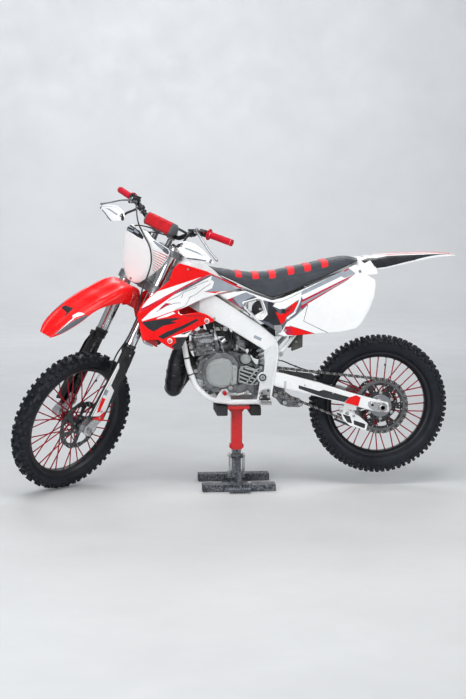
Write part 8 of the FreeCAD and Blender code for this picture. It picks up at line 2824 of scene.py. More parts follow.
def feet_():
    m = Mesh()
    for s in (1, -1):
        # open toothed tread
        y0, y1 = s * 122, s * 195
        c = (-116, (y0 + y1) / 2, 428)
        for x in (-140, -92):
            m.rbox((x, c[1], 427.5), (4.0, 73, 13), 1.2, mat=0)
        for k in range(4):
            y = s * (124 + 23 * k)
            m.rbox((-116, y, 427), (49, 3.6, 11), 1.0, mat=0)
        for k in range(7):
            y = s * (126 + 10.6 * k)
            for x in (-140, -92):
                m.add([(x - 1.8, y - 2.6, 433), (x + 1.8, y - 2.6, 433), (x + 1.8, y + 2.6, 433), (x - 1.8, y + 2.6, 433), (x, y - 0.7, 436.6), (x, y + 0.7, 436.6)],
                      [(3, 2, 1, 0), (0, 1, 4), (2, 3, 5), (1, 2, 5, 4), (3, 0, 4, 5)], 0)
        for k in range(3):
            y = s * (135.5 + 23 * k)
            for x in (-125, -107):
                m.add([(x - 2, y - 2, 430), (x + 2, y - 2, 430), (x + 2, y + 2, 430), (x - 2, y + 2, 430), (x, y, 436.2)],
                      [(3, 2, 1, 0), (0, 1, 4), (1, 2, 4), (2, 3, 4), (3, 0, 4)], 0)
            m.rbox((-116, y, 427), (42, 3.2, 8), 0.8, mat=0)
        m.rbox((-116, s * 119.6, 427), (30, 6, 13), 2.5, mat=0)
        m.cyl((-131, s * 121.8, 427), (-101, s * 121.8, 427), 5.5, seg=20, mat=0)
    m.make("toothed_footpegs", "frame", [STEEL], replaces="footpegs", angle=30)
    # bracket that carries each peg
    b = Mesh()
    for s in (1, -1):
        b.prism(rnd([(-92, 452), (-140, 458), (-146, 440), (-144, 421), (-130, 415), (-96, 413), (-88, 424)], 6), s * 112.0, s * 116.8, mat=0, ch=1.0)
        for x, z in ((-101, 443), (-134, 448)):
            b.bolt((x, s * 116.8, z), (0, s, 0), 6.2, 4.0, "hex", mat=1, washer=1.5)
        b.rbox((-116, s * 119.5, 440), (34, 8, 9), 2.5, mat=0)
        b.cyl((-140, s * 121.8, 427), (-134, s * 121.8, 427), 7.5, seg=24, ch=0.8, mat=1)
        b.cyl((-98, s * 121.8, 427), (-92, s * 121.8, 427), 7.5, seg=24, ch=0.8, mat=1)
    b.make("footpeg_brackets", "frame", [DARKMET, STEEL], angle=34)
    f = Mesh()
    f.tube([(-36, 116, 470), (0, 120, 462), (40, 124, 462), (72, 128, 470)], [6.0, 5.4, 5.2, 5.6], seg=18, mat=0)
    f.cyl((-36, 92, 470), (-36, 124, 470), 9.5, seg=28, mat=0)
    f.rbox((-27, 118, 468), (16, 12, 13), 3, mat=0)
    f.bolt((-27, 124, 468), (0, 1, 0), 3.6, 2, mat=0)
    f.cyl((72, 122, 470), (72, 152, 470), 8.6, seg=24, ch=1.2, mat=1)
    for k in range(6):
        f.cyl((72, 126 + 4 * k, 470), (72, 127.6 + 4 * k, 470), 9.0, seg=24, ch=0.3, mat=1)
    f.tube([(-118, -124, 457), (-60, -128, 450), (10, -128, 436), (70, -128, 452)], [7.5, 6.6, 6.2, 6.4], seg=18, mat=0)
    f.cyl((-118, -130, 457), (-118, -116, 457), 13.5, seg=36, ch=1.2, mat=0)
    f.bolt((-118, -130, 457), (0, -1, 0), 8, 0.0 + 2, "hex", mat=0)
    f.rbox((72, -129, 456), (40, 33, 7), 2.0, mat=0)
    for x in (58, 66, 74, 82):
        f.rbox((x, -129, 461.5), (2.4, 30, 4.6), 0.6, mat=0)
    f.tube([(-52, -122, 590), (-88, -132, 636), (-134, -136, 700)], [9.0, 7.6, 8.4], seg=20, mat=0)
    f.cyl((-52, -129.5, 590), (-52, -112, 590), 14, seg=36, ch=1.5, mat=0)
    f.bolt((-52, -129, 590), (0, -1, 0), 7, 1.0, mat=0)
    f.cyl((-132, -137, 700), (-85, -140, 704), 8.3, 7.6, seg=24, ch=1.5, mat=0)
    for k in range(6):
        f.cyl((-124 + 6 * k, -137.6 - 0.4 * k, 700.6 + 0.5 * k), (-122 + 6 * k, -137.7 - 0.4 * k, 700.8 + 0.5 * k), 8.5, seg=24, ch=0.3, mat=0)
    f.cyl((-197, -101, 563), (-197, -101, 623), 9, seg=28, ch=1.5, mat=2)
    f.cyl((-197, -101, 552), (-197, -101, 564), 4.5, seg=16, mat=0)
    f.rbox((-186, -101, 589), (14, 11, 33), 2, mat=2)
    for z in (580, 598):
        f.bolt((-185, -107, z), (0, -1, 0), 4.5, 3, "hex", mat=0)
    f.make("levers_and_master_cylinder", "frame", [STEEL, REDAN, ALLOY], replaces="foot_levers", angle=34)


def rear_hose_():
    H = [(-206.5, -101, 592), (-236, -102, 585), (-290, -100, 562), (-362, -98, 537), (-430, -95, 514), (-492, -92, 497), (-534, -88, 486), (-559, -86, 479)]
    m = Mesh()
    m.tube(H, 3.0, seg=12, mat=0)
    for a, b in ((0, 1), (-1, -2)):
        p, q = Vector(H[a]), Vector(H[b])
        d = (q - p).normalized()
        m.cyl(tuple(p - d * 1), tuple(p + d * 14), 4.6, seg=18, ch=0.6, mat=1)
    for i in (2, 4):
        p, q = Vector(H[i]), Vector(H[i + 1])
        d = (q - p).normalized()
        m.cyl(tuple(p), tuple(p + d * 9), 4.4, seg=18, ch=0.5, mat=2)
    m.make("rear_brake_line", "frame", [HOSE, STEEL, BLACKP], replaces="rear_brake_hose", angle=36)


swingarm_()
chain_()
guide_()
axle_()
shock_()
feet_()
rear_hose_()


# ------------------------------------------------------------------- frame
SPAR_TOP = [(190, 971), (94.4, 909.0), (-92.8, 788.2), (-142.3, 748.1), (-169.7, 724.5),
            (-183.7, 681.7), (-180.5, 619.2), (-171.1, 560.9), (-159.8, 502.0), (-148, 418)]
SPAR_BOT = [(-84.0, 409), (-93.8, 463.5), (-101.3, 522.4), (-120.2, 568.9), (-123.7, 607.9),
            (-119.5, 662.5), (-107.7, 672), (49.6, 769.6), (192.6, 847.7)]


def spars_():
    out = rnd(SPAR_TOP + SPAR_BOT, [0, 8, 8, 30, 30, 30, 20, 20, 20, 8, 8, 10, 12, 12, 12, 25, 25, 8, 0], 6)
    hole = [(PIVOT_[0] + 9 * math.cos(2 * math.pi * k / 40), PIVOT_[1] + 9 * math.sin(2 * math.pi * k / 40)) for k in range(40)]
    for s, name, node in ((1, "left_beam", "left_spar"), (-1, "right_beam", "right_spar")):
        m = Mesh()
        m.prism(out, s * 86, s * 116, mat=0, ch=5.0, holes=[hole])
        # lower casting: a raised skin that ends in a welded seam across the beam
        skin = rnd([(-112, 664), (-116, 612), (-113, 570), (-94, 522), (-87, 466), (-79, 415), (-143, 424), (-153, 502), (-164, 562),
                    (-173.5, 619), (-176.5, 680), (-168, 702), (-128, 676)], [6, 8, 10, 10, 8, 8, 8, 10, 10, 12, 12, 8, 8], 5)
        m.prism(skin, s * 112, s * 116.9, mat=1, ch=3.6, holes=[hole])
        # soft weld line where the casting meets the extrusion
        m.tube([(-109, s * 115.6, 669), (-126, s * 115.9, 678), (-150, s * 115.9, 693), (-168, s * 115.4, 704)], 1.8, seg=10, mat=0, sub=10)
        # pivot: boss, dark washer, bolt with a hollow head
        px, pz = PIVOT_
        m.pipe((px, s * 112, pz), (px, s * 119.0, pz), 24.5, 9.2, seg=56, ch=1.6, mat=1)
        m.pipe((px, s * 117, pz), (px, s * 120.4, pz), 18.0, 8.0, seg=48, ch=0.8, mat=2)
        m.pipe((px, s * 118, pz), (px, s * 123.0, pz), 11.6, 5.0, seg=6 if s < 0 else 44, ch=1.2, mat=3)
        m.cyl((px, s * 110, pz), (px, s * 120.4, pz), 5.4, seg=24, ch=0.6, mat=2)
        m.cyl((px, s * 119, pz), (px, s * 121.6, pz), 2.6, seg=16, ch=0.4, mat=3)
        # lower lug with its bolt, upper engine hanger
        # footpeg bracket: worn casting with its pinch bolt; under it a flat dark plate is painted shade for a recess
        m.prism(rnd([(-90, 468), (-104, 483), (-134, 490), (-145, 479), (-142, 457), (-118, 460), (-96, 452)], 5), s * 113, s * 119.4, mat=6, ch=2.0)
        m.cyl((-132, s * 116, 478), (-132, s * 121.4, 478), 9.2, seg=32, ch=1.4, mat=3)
        m.bolt((-132, s * 121.4, 478), (0, s, 0), 5.0, 3.6, "cap", mat=2)
        m.cyl((-104, s * 116, 466), (-104, s * 120.6, 466), 4.6, seg=24, ch=0.8, mat=2)
        # flat dark steel plate standing slightly proud of the casting: painted shade where a recess would be dark
        m.prism(rnd([(-92, 450), (-97, 453), (-118, 459), (-141.5, 456.5), (-141, 428), (-90, 426)], 3), s * 113, s * 118.2, mat=2, ch=1.2)
        m.cyl((-191, s * 92, 649), (-191, s * 112, 649), 14.5, seg=40, ch=1.8, mat=1)
        m.prism(rnd([(-168, 664), (-166, 632), (-196, 636), (-202, 656), (-190, 672)], 7), s * 94, s * 106, mat=1, ch=2.0)
        m.bolt((-191, s * 112, 649), (0, s, 0), 8.4, 5.0, "hex", mat=3, washer=1.4)
        # plain oval plate where the photo's bike carries a mark
        ang = math.atan2(-15.5, -33)
        R = Matrix.Rotation(math.radians(-25.0), 3, "Y")
        m.rbox((-82, s * 116.2, 726), (37, 2.4, 13.5), 1.0, mat=4, R=R)
        m.rbox((-82, s * 117.0, 726), (30, 1.6, 8.0), 0.6, mat=5, R=R)
        # rolled line along the beam's upper and lower edges
        for off, z0 in ((0, 0),):
            m.tube([(176, s * 115.6, 951), (94, s * 116.0, 898), (-88, s * 116.0, 779), (-132, s * 115.6, 742)], 1.1, seg=6, mat=0, smooth=False)
            m.tube([(176, s * 115.6, 853), (50, s * 116.0, 781), (-98, s * 116.0, 688)], 1.1, seg=6, mat=0, smooth=False)
        for x, z in ((166, 935), (120, 818)):
            m.bolt((x, s * 116.0, z), (0, s, 0), 4.6, 2.6, mat=3, washer=1.4)
        m.make(name, "frame", [FRAMEW, FRAMEC, DARKMET, STEEL, LGREY, BLUEG, BRKT], replaces=node, angle=50)


def cradle_details_():
    m = Mesh()
    for s in (1, -1):
        # lower engine plates with their bolts
        m.prism(rnd([(116, 430), (34, 428), (56, 484), (80, 482), (96, 462)], 6), s * 85.2, s * 89.2, mat=0, ch=1.0,
                holes=[circle2(70, 466, 5.2, 20)])
        m.bolt((70, s * 89.2, 466), (0, s, 0), 8.6, 5.0, "hex", mat=1, washer=1.6)
        m.prism(rnd([(148, 446), (136, 452), (112, 470), (98, 494), (106, 498), (122, 480), (146, 462)], 4), s * 60.5, s * 66, mat=2, ch=1.0)
        m.bolt((102, s * 66, 492), (0, s, 0), 6.0, 4.0, "hex", mat=1, washer=1)
        # front engine hangers from the down tubes
        m.prism(rnd([(246, 574), (242, 548), (200, 548), (192, 566), (210, 586)], 7), s * 60, s * 65, mat=2, ch=1.0)
        m.bolt((202, s * 65, 566), (0, s, 0), 7.4, 4.5, "hex", mat=1, washer=1.4)
        m.bolt((234, s * 65, 560), (0, s, 0), 6.4, 4.5, "hex", mat=1, washer=1.4)
        # bands round the tube
        for (x, z, y), (x2, z2, y2), r, w, mt in (((245.4, 631, 73.2), (244.2, 624.5, 73.8), 14.6, 6, 3), ((226, 555, 76), (223.8, 549.6, 76), 14.4, 5, 3)):
            m.cyl((x, s * y, z), (x2, s * y2, z2), r, seg=32, ch=0.8, mat=mt)
        m.cyl((-84, s * 76, 419), (-88, s * 76, 419), 15.4, seg=32, ch=1.6, mat=0)
        m.cyl((104, s * 66, 430), (96, s * 64, 430), 5, seg=16, ch=1, mat=0)
        m.tube([(-88, s * 78, 425), (-92, s * 84, 440), (-96, s * 87, 456)], 6.0, seg=14, mat=0)
    m.make("engine_plates_and_bands", "frame", [FRAMEW, STEEL, DARKMET, BLACKP], angle=34)


def head_details_():
    """Bearing cups and weld beads at the steering head, and the frame number plate."""
    m = Mesh()

    def L0(t, p, y=0.0):
        return tuple(A0 + S_AX * t + P_AX * p + Y_AX * y)
    m.pipe(L0(741, 0), L0(748.5, 0), 34.0, 17.4, seg=64, ch=1.6, mat=1)
    m.pipe(L0(886, 0), L0(892.0, 0), 34.0, 17.4, seg=64, ch=1.6, mat=1)
    for t in (752, 884):
        ring = []
        for k in range(73):
            a = 2 * math.pi * k / 72
            ring.append(L0(t + 0.4 * math.sin(9 * a), 32.6 * math.cos(a), 32.6 * math.sin(a)))
        m.tube(ring, 1.5, seg=8, mat=0, smooth=False)
    # frame number plate, blank
    m.rbox(L0(820, 31.5, 0), (2.4, 26, 40), 0.8, mat=2, R=Matrix.Rotation(-RAKE, 3, "Y"))
    m.make("head_bearings_and_welds", "frame", [FRAMEG, STEEL, RADAL], angle=34)


PIVOT_ = (-107.0, 540.0)
spars_()
cradle_details_()
head_details_()


def bay_():
    """Dark pieces that fill the engine bay: ignition box and coil under the
    tank, lower coolant hose, inner mudguard ahead of the shock absorber."""
    m = Mesh()
    m.rbox((72, -4, 737), (66, 84, 26), 5, mat=0)
    for k in range(7):
        m.rbox((46 + 9 * k, -4, 750), (3.2, 78, 4.5), 1.0, mat=0)
    m.rbox((72, 40, 735), (30, 8, 16), 2, mat=0)
    m.cyl((54, 44, 736), (54, 58, 736), 6.5, seg=24, mat=0)
    m.cyl((86, 44, 738), (86, 56, 738), 5.0, seg=24, mat=3)
    for i, (pts, r) in enumerate(((((54, 56, 736), (50, 66, 724), (38, 68, 706), (26, 66, 690), (18, 60, 672)), 3.2),
                                  (((60, 44, 730), (66, 62, 716), (78, 66, 700), (88, 62, 680), (92, 60, 668)), 2.6),
                                  (((86, 54, 738), (98, 60, 732), (108, 58, 748), (120, 50, 766)), 3.0),
                                  (((40, 40, 742), (30, 58, 744), (8, 66, 736), (-18, 66, 716), (-40, 60, 700)), 2.8))):
        m.tube(list(pts), r, seg=10, mat=1)
    # lower coolant hose and its clips
    H = [(152, -72, 552), (182, -62, 578), (208, -50, 606), (228, -46, 640), (234, -45, 690), (238, -50, 742), (244, -58, 790)]
    m.tube(H, 11.5, seg=20, mat=1)
    for i in (1, 5):
        p, q = Vector(H[i]), Vector(H[i + 1])
        d = (q - p).normalized()
        m.cyl(tuple(p), tuple(p + d * 8), 12.8, seg=32, ch=0.8, mat=2)
    m.make("ignition_box_and_lower_hose", "frame", [BLACKP, RUBBER, STEEL, DARKMET], angle=36)
    g = Mesh()
    out = rnd([(-54, 668), (-60, 642), (-82, 610), (-108, 602), (-112, 650), (-102, 716), (-70, 720)], 8)
    g.prism(out, -47, -43.5, mat=0, ch=0.8)
    g.prism(rnd([(-62, 655), (-84, 618), (-102, 612), (-104, 650), (-96, 704), (-74, 708)], 6), -43.8, -42.2, mat=0, ch=0.5)
    for x, z in ((-72, 702), (-98, 616), (-68, 650)):
        g.bolt((x, -42.6, z), (0, 1, 0), 4.4, 2.4, mat=1, washer=1.4)
    # round cap at the back of the cases and the clutch actuating arm
    g.cyl((-31, 78, 622), (-31, 90, 622), 25, 23, seg=56, ch=2.2, mat=2)
    g.cyl((-31, 89, 622), (-31, 92, 622), 13, seg=40, ch=1.0, mat=2)
    for k in range(3):
        an = 2 * math.pi * k / 3 + 0.4
        g.bolt((-31 + 18.5 * math.cos(an), 90, 622 + 18.5 * math.sin(an)), (0, 1, 0), 3.4, 2.6, mat=1)
    g.cyl((8, 60, 664), (8, 60, 690), 6.5, seg=24, ch=1, mat=1)
    g.prism(rnd([(12, 686), (2, 686), (-34, 664), (-30, 656), (-22, 660)], 3), 57, 62, mat=1, ch=0.8)
    g.make("inner_mudguard_and_rear_cap", "frame", [BLACKP, STEEL, COVER], angle=36)


bay_()

# ------------------------------------------------------------------- stand
SY = -22.0


def stand_():
    m = Mesh()
    # two box-section rails with plastic end caps
    for y0, y1 in ((SY + 95, SY + 152), (SY - 152, SY - 95)):
        sec = rnd([(y0, 0.6), (y1, 0.6), (y1, 36), (y0, 36)], 4.5, 5)
        m.ring_loft([[(x, y, z) for y, z in sec] for x in (-168, 169)], 0)
        for x, sgn in ((-168, -1), (169, 1)):
            s2 = rnd([(y0 + 0.2, 0.9), (y1 - 0.2, 0.9), (y1 - 0.2, 35.7), (y0 + 0.2, 35.7)], 4.5, 5)
            cy, cz = (y0 + y1) / 2, 18
            rings = [[(x + sgn * 0.01, y, z) for y, z in s2], [(x + sgn * 2.2, y, z) for y, z in s2],
                     [(x + sgn * 3.8, cy + (y - cy) * 0.93, cz + (z - cz) * 0.9) for y, z in s2]]
            m.ring_loft(rings, 1)
        # worn weld spatter line where the plate meets
        for x in (-62, 62):
            m.rbox((x, (y0 + y1) / 2, 4), (3, 40, 6), 1.2, mat=0)
    m.rbox((0, SY, 4), (124, 192, 8), 1.5, mat=0)
    m.rbox((0, SY, 20), (68, 190, 27), 3, mat=0)
    m.rbox((0, SY, 39), (80, 72, 10), 1.5, mat=0)
    # square inner post with drilled stops
    sec = rnd([(-21, SY - 21), (21, SY - 21), (21, SY + 21), (-21, SY + 21)], 3.5, 4)
    m.ring_loft([[(x, y, z) for x, y in sec] for z in (43, 215)], 2)
    for z in (60, 100, 172):
        m.cyl((0, SY + 20.6, z), (0, SY + 21.3, z), 5, seg=20, ch=0.2, mat=1)
    # plated side links with their bolts
    for s in (-1, 1):
        x = s * 31
        prof = rnd([(SY - 8, 50), (SY + 30, 46), (SY + 32, 80), (SY + 20, 108), (SY + 22, 160), (SY - 4, 163), (SY - 10, 110)], 8)
        pr = Mesh()
        pr.prism(prof, -2.0, 2.0, ch=0.6)
        m.add([(x + b, a, c) for a, b, c in pr.v], [tuple(f[::-1]) for f in pr.f], 3)
        for z in (150, 70):
            m.cyl((s * 21, SY + 8, z), (s * 38, SY + 8, z), 5.8, seg=20, mat=3)
            hx = [[(s * x2, SY + 8 + q[0], z + q[1]) for q in circle2(0, 0, r, 6)] for x2, r in ((33.4, 9), (40.5, 9), (42, 7.5))]
            m.ring_loft(hx if s < 0 else [h[::-1] for h in hx], 3)
        m.cyl((s * 36.5, SY + 27, 58), (s * 36.5, SY + 27, 150), 2.6, seg=12, mat=3)
        m.cyl((s * 33, SY + 27, 58), (s * 36.5, SY + 27, 58), 2.6, seg=12, mat=3)
        m.cyl((s * 33, SY + 27, 150), (s * 36.5, SY + 27, 150), 2.6, seg=12, mat=3)
    # silver clip on the near rail
    m.rbox((-50, SY + 112, 37.2), (16, 22, 2.4), 0.8, mat=3, R=Matrix.Rotation(math.radians(14), 3, "Z"))
    m.make("stand_foot", "frame", [STANDB, BLACKP, POSTG, STEEL], replaces="stand_base", angle=36)

    c = Mesh()
    o = rnd([(-26, SY - 26), (26, SY - 26), (26, SY + 26), (-26, SY + 26)], 4.5, 5)
    i = rnd([(-22, SY - 22), (22, SY - 22), (22, SY + 22), (-22, SY + 22)], 3.5, 5)
    rings = [[(x, y, z) for x, y in o] for z in (180, 179, 385)]
    rings = [[(x * 0.985, SY + (y - SY) * 0.985, 178.2) for x, y in o], [(x, y, 180) for x, y in o], [(x, y, 385) for x, y in o]]
    c.ring_loft(rings, 0, cap=(False, True))
    c.ring_loft([[(x * 0.985, SY + (y - SY) * 0.985, 178.2) for x, y in o], [(x, y, 178.2) for x, y in i], [(x, y, 214) for x, y in i]], 0, cap=(False, True))
    for s in (-1, 1):
        c.rbox((s * 29.5, SY, 193), (7, 38, 21), 2, mat=0)
        c.cyl((s * 31, SY, 193), (s * 36, SY, 193), 6, seg=6, ch=0.8, mat=1)
    c.rbox((0, 0, 393), (103, 183, 13.6), 2.0, mat=0)
    for x in (-74, 74):
        c.rbox((x, 0, 389), (58, 138, 5.6), 1.2, mat=0)
    # gusset wings from column to head plate
    for s in (-1, 1):
        c.prism(rnd([(s * 25, 387), (s * 50, 387), (s * 50, 382), (s * 25, 352)], 2), SY - 3, SY + 3, mat=0, ch=0.6)
    c.tube([(-26, SY + 26.4, 381), (26, SY + 26.4, 381)], 2.2, seg=8, mat=0, smooth=False)
    c.make("stand_mast", "frame", [STANDR, STEEL], replaces="stand_column", angle=36)

    p = Mesh()
    for x0, x1, mid in ((53, 105, 1), (-104, -54, -1)):
        # ribbed rubber blocks either side of the frame's lower rails
        for y0, y1 in ((-98, 98),):
            p.rbox(((x0 + x1) / 2, 0, 376), (x1 - x0 - 0.6, 195, 40), 5, mat=0)
            for k in range(13):
                y = -90 + 15 * k
                p.rbox(((x0 + x1) / 2, y, 397), (x1 - x0 - 3, 9, 7), 1.8, mat=0)
            for y in (-70, 0, 70):
                p.cyl(((x0 + x1) / 2, y, 359), ((x0 + x1) / 2, y, 356.2), 9, seg=24, ch=0.3, mat=1)
            for xx in (x0 + 1.5, x1 - 1.5):
                for z in (364, 374, 384):
                    p.rbox((xx, 0, z), (3.4, 186, 3.6), 1.0, mat=0)
    p.make("stand_rubber_blocks", "frame", [RUBBER, STEEL], replaces="stand_pads", angle=38)

    a = Mesh()
    prof = [(SY + 36, 158), (SY + 78, 132), (SY + 128, 92), (SY + 160, 55), (SY + 176, 22), (SY + 166, 20), (SY + 150, 48), (SY + 120, 80),
            (SY + 72, 119), (SY + 36, 144)]
    up = spline2(prof[:5], 5, closed=False)
    dn = spline2(prof[5:], 5, closed=False)
    pr = Mesh()
    pr.prism(up + dn, -10.8, 10.8, ch=2.0)
    a.add([(y, x, z) for x, y, z in pr.v], [tuple(f) for f in pr.f], 0)
    a.cyl((-28, SY + 40, 150), (28, SY + 40, 150), 11, seg=32, ch=1.2, mat=0)
    for s in (-1, 1):
        a.cyl((s * 28, SY + 40, 150), (s * 31.5, SY + 40, 150), 7, seg=6, ch=0.8, mat=1)
    a.rbox((1, SY + 181, 14), (101, 29.4, 14), 3, mat=0)
    for k in range(12):
        a.rbox((-46 + 8.6 * k, SY + 181, 21.2), (4.4, 27, 5.0), 1.4, mat=2)
    a.make("stand_foot_lever", "frame", [STANDB, STEEL, LGREY], replaces="stand_pedal", angle=36)


stand_()

# -------------------------------------------------------------------- seat
from mathutils.bvhtree import BVHTree

SEAT_ROWS = [(153, 1061, 30, 1040, 44), (106, 1050, 48, 1023, 74), (21, 1031, 62, 984, 98), (-65, 1022, 68, 942, 112),
             (-150, 1026, 72, 911, 118), (-236, 1044, 76, 938, 118), (-322, 1060, 80, 980, 114),
             (-408, 1080, 84, 1014, 108), (-524, 1104, 82, 1066, 98), (-556, 1096, 74, 1080, 90)]


def seat_row(x):
    r = SEAT_ROWS
    if x >= r[0][0]:
        return r[0][1:]
    for a, b in zip(r, r[1:]):
        if x >= b[0]:
            k = (x - a[0]) / (b[0] - a[0])
            return [a[i] + (b[i] - a[i]) * k for i in range(1, 5)]
    return r[-1][1:]


def seat_():
    src = NODES["seat"]
    me = src.data.copy()
    ob = bpy.data.objects.new("seat_cushion", me)
    bpy.context.scene.collection.objects.link(ob)
    me.materials.clear()
    bm = bmesh.new()
    bm.from_mesh(me)
    bmesh.ops.remove_doubles(bm, verts=bm.verts[:], dist=1e-5)
    bmesh.ops.recalc_face_normals(bm, faces=bm.faces[:])
    bm.to_mesh(me)
    bm.free()
    rm = ob.modifiers.new("remesh", "REMESH")
    rm.mode = "VOXEL"
    rm.voxel_size = 0.0055
    dg = bpy.context.evaluated_depsgraph_get()
    ev = ob.evaluated_get(dg)
    m2 = bpy.data.meshes.new_from_object(ev)
    ob.modifiers.remove(rm)
    ob.data = m2
    me = m2
    n = len(me.vertices)
    co = np.empty(n * 3)
    me.vertices.foreach_get("co", co)
    co = co.reshape(-1, 3)
    nr = np.empty(n * 3)
    me.vertices.foreach_get("normal", nr)
    nr = nr.reshape(-1, 3)
    # smooth the corners of the solid, then draw it in a little: the foam swells back
    bm = bmesh.new()
    bm.from_mesh(me)
    bm.verts.ensure_lookup_table()
    nb = [[e.other_vert(v).index for e in v.link_edges] for v in bm.verts]
    bm.free()
    low = np.zeros(n, bool)
    for i in range(n):
        x, y, z = co[i] * 1000.0
        zt, wt, zb, wb = seat_row(x)
        under = nr[i][2] < -0.35
        edge = z < zb + 9.0
        low[i] = under or edge
    p = co.copy()
    for it in range(5):
        q = p.copy()
        for i in range(n):
            if nb[i]:
                k = 0.5 if not low[i] else 0.25
                q[i] = p[i] * (1 - k) + p[nb[i]].mean(axis=0) * k
        p = q
    inset_ = np.where(low, 0.0006, 0.0045)[:, None]
    p = p - nr * inset_
    me.vertices.foreach_set("co", p.reshape(-1))
    me.update()
    rest = p.copy()
    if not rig.quick():
        vg = ob.vertex_groups.new(name="pan")
        vg.add([int(i) for i in np.nonzero(low)[0]], 1.0, "REPLACE")
        cl = ob.modifiers.new("cloth", "CLOTH")
        st = cl.settings
        st.quality = 4
        st.mass = 0.3
        st.vertex_group_mass = "pan"
        st.use_pressure = True
        st.uniform_pressure_force = 4.0
        st.effector_weights.gravity = 0.0
        st.tension_stiffness = 15.0
        st.compression_stiffness = 15.0
        st.shear_stiffness = 5.0
        st.bending_stiffness = 0.5
        cl.collision_settings.use_collision = False
        cl.point_cache.frame_start = 1
        cl.point_cache.frame_end = 20
        sc_ = bpy.context.scene
        for fr in range(1, 21):
            sc_.frame_set(fr)
        dg = bpy.context.evaluated_depsgraph_get()
        ev = ob.evaluated_get(dg)
        tmp = bpy.data.meshes.new_from_object(ev)
        c2 = np.empty(n * 3)
        tmp.vertices.foreach_get("co", c2)
        bpy.data.meshes.remove(tmp)
        c2 = c2.reshape(-1, 3)
        ob.modifiers.remove(cl)
        sc_.frame_set(1)
        d = c2 - rest
        L = np.linalg.norm(d, axis=1)[:, None]
        cap = 0.0062
        d = np.where(L > cap, d / np.maximum(L, 1e-9) * cap, d)
        bad = ~np.isfinite(d).all(axis=1)
        d[bad] = 0
        p = rest + d
        print("SEAT cloth moved mm: max %.1f mean %.1f" % (1000 * float(L[~bad].max()), 1000 * float(L[~bad].mean())))
    else:
        d = np.zeros_like(p)
        d[~low] = nr[~low] * 0.004
        p = rest + d
    # smooth what the voxels left, sides drawn in between top edge and pan
    for it in range(3):
        q = p.copy()
        for i in range(n):
            if nb[i] and not low[i]:
                q[i] = p[i] * 0.5 + p[nb[i]].mean(axis=0) * 0.5
        p = q
    # sewn channels: across the top beside each rib, and along each side below them
    ribs = [RIBX[k] for k in range(6)]
    for i in range(n):
        x, y, z = p[i] * 1000.0
        if low[i]:
            continue
        zt, wt, zb, wb = seat_row(x)
        dd = 0.0
        h = zt - z
        for rx in ribs:
            for e in (-19.5, 19.5):
                if h < 40:
                    dd += 1.5 * math.exp(-((x - rx - e) / 4.2) ** 2) * min(1.0, max(0.0, (42 - h) / 8.0))
        line = 40.0
        if x < 120 and zt - zb > 50:
            dd += 1.4 * math.exp(-((h - line) / 3.6) ** 2) * (1 if abs(y) > wt * 0.6 else 0)
        # small creases in the cover, running down from the ribs
        dd += 0.5 * math.sin(x * 0.085 + 1.3 * math.sin(z * 0.04)) * math.exp(-((h - 62) / 26.0) ** 2)
        p[i] = p[i] - nr[i] * dd * 0.001
    me.vertices.foreach_set("co", p.reshape(-1))
    me.update()
    me.materials.append(SEATC)
    for pl in me.polygons:
        pl.use_smooth = True
    md = ob.modifiers.new("sub", "SUBSURF")
    md.levels = md.render_levels = 1
    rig.ride(ob, "frame")
    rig.replaces(ob, "seat")
    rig.padded(ob, fill=0.85)

    # ribs and seams are laid on the finished cover
    vs = [Vector(c) for c in p]
    bvh = BVHTree.FromPolygons(vs, [tuple(f.vertices) for f in me.polygons])

    def hit(x, ang, lift):
        zt, wt, zb, wb = seat_row(x)
        zc = zt - 55.0
        c = Vector((x, 0, zc)) * MM
        d = Vector((0, math.sin(ang), math.cos(ang)))
        o = c + d * 0.4
        loc, nrm, idx, dist = bvh.ray_cast(o, -d)
        if loc is None:
            loc, nrm = c + d * 0.06, d
        if nrm.dot(d) < 0:
            nrm = -nrm
        return tuple((loc + nrm * lift * MM) * 1000.0)

    r = Mesh()
    for rx in ribs:
        zt, wt, zb, wb = seat_row(rx)
        am = math.atan2(wt + 8.0, 27.0)
        nx, na = 10, 34
        rows = []
        for j in range(na + 1):
            ang = -am + 2 * am * j / na
            row = []
            for i in range(nx + 1):
                f = -1 + 2 * i / nx
                hw = 17.0
                endk = max(0.0, (abs(j - na / 2) / (na / 2) - 0.9) / 0.1)
                hw = hw * (1 - 0.22 * endk * endk)
                e = max(abs(f), abs(j - na / 2) / (na / 2) * 0.999)
                lift = 2.4 * (1 - max(0.0, (abs(f) - 0.62) / 0.38) ** 2.2) - 0.9 * endk ** 2
                if abs(f) > 0.999 or j in (0, na):
                    lift = -0.8
                row.append(hit(rx + f * hw, ang, lift))
            rows.append(row)
        grid_surf(r, rows, 0)
    for s in (1, -1):
        # seam along each side; the welt along the pan follows below
        for off_, rad, mt in ((0.0, 0.8, 1),):
            pts = []
            for k in range(60):
                x = 112 - 560 * k / 59
                zt, wt, zb, wb = seat_row(x)
                if zt - zb < 52:
                    continue
                ang = s * math.atan2(wt + 10.0, 55.0 - 40.0)
                pts.append(hit(x, ang, -0.2))
            if len(pts) > 3:
                r.tube(pts, rad, seg=6, mat=mt, sub=2)
    r.make("seat_ribs_and_seams", "frame", [SEATR, SEATC], angle=50, wn=False)
    w = Mesh()
    for s in (1, -1):
        pts = []
        for k in range(80):
            x = 140 - 690 * k / 79
            zt, wt, zb, wb = seat_row(x)
            z = zb + 7.0
            o = Vector((x, s * 200, z)) * MM
            loc, nrm, idx, dist = bvh.ray_cast(o, Vector((0, -s, 0)))
            if loc is None:
                continue
            pts.append(tuple(Vector(loc) * 1000.0 + Vector((0, s * 0.9, 0))))
        w.tube(pts, 2.0, seg=8, mat=0, sub=2)
    w.make("seat_welt", "frame", [BLACKP], angle=50, wn=False)


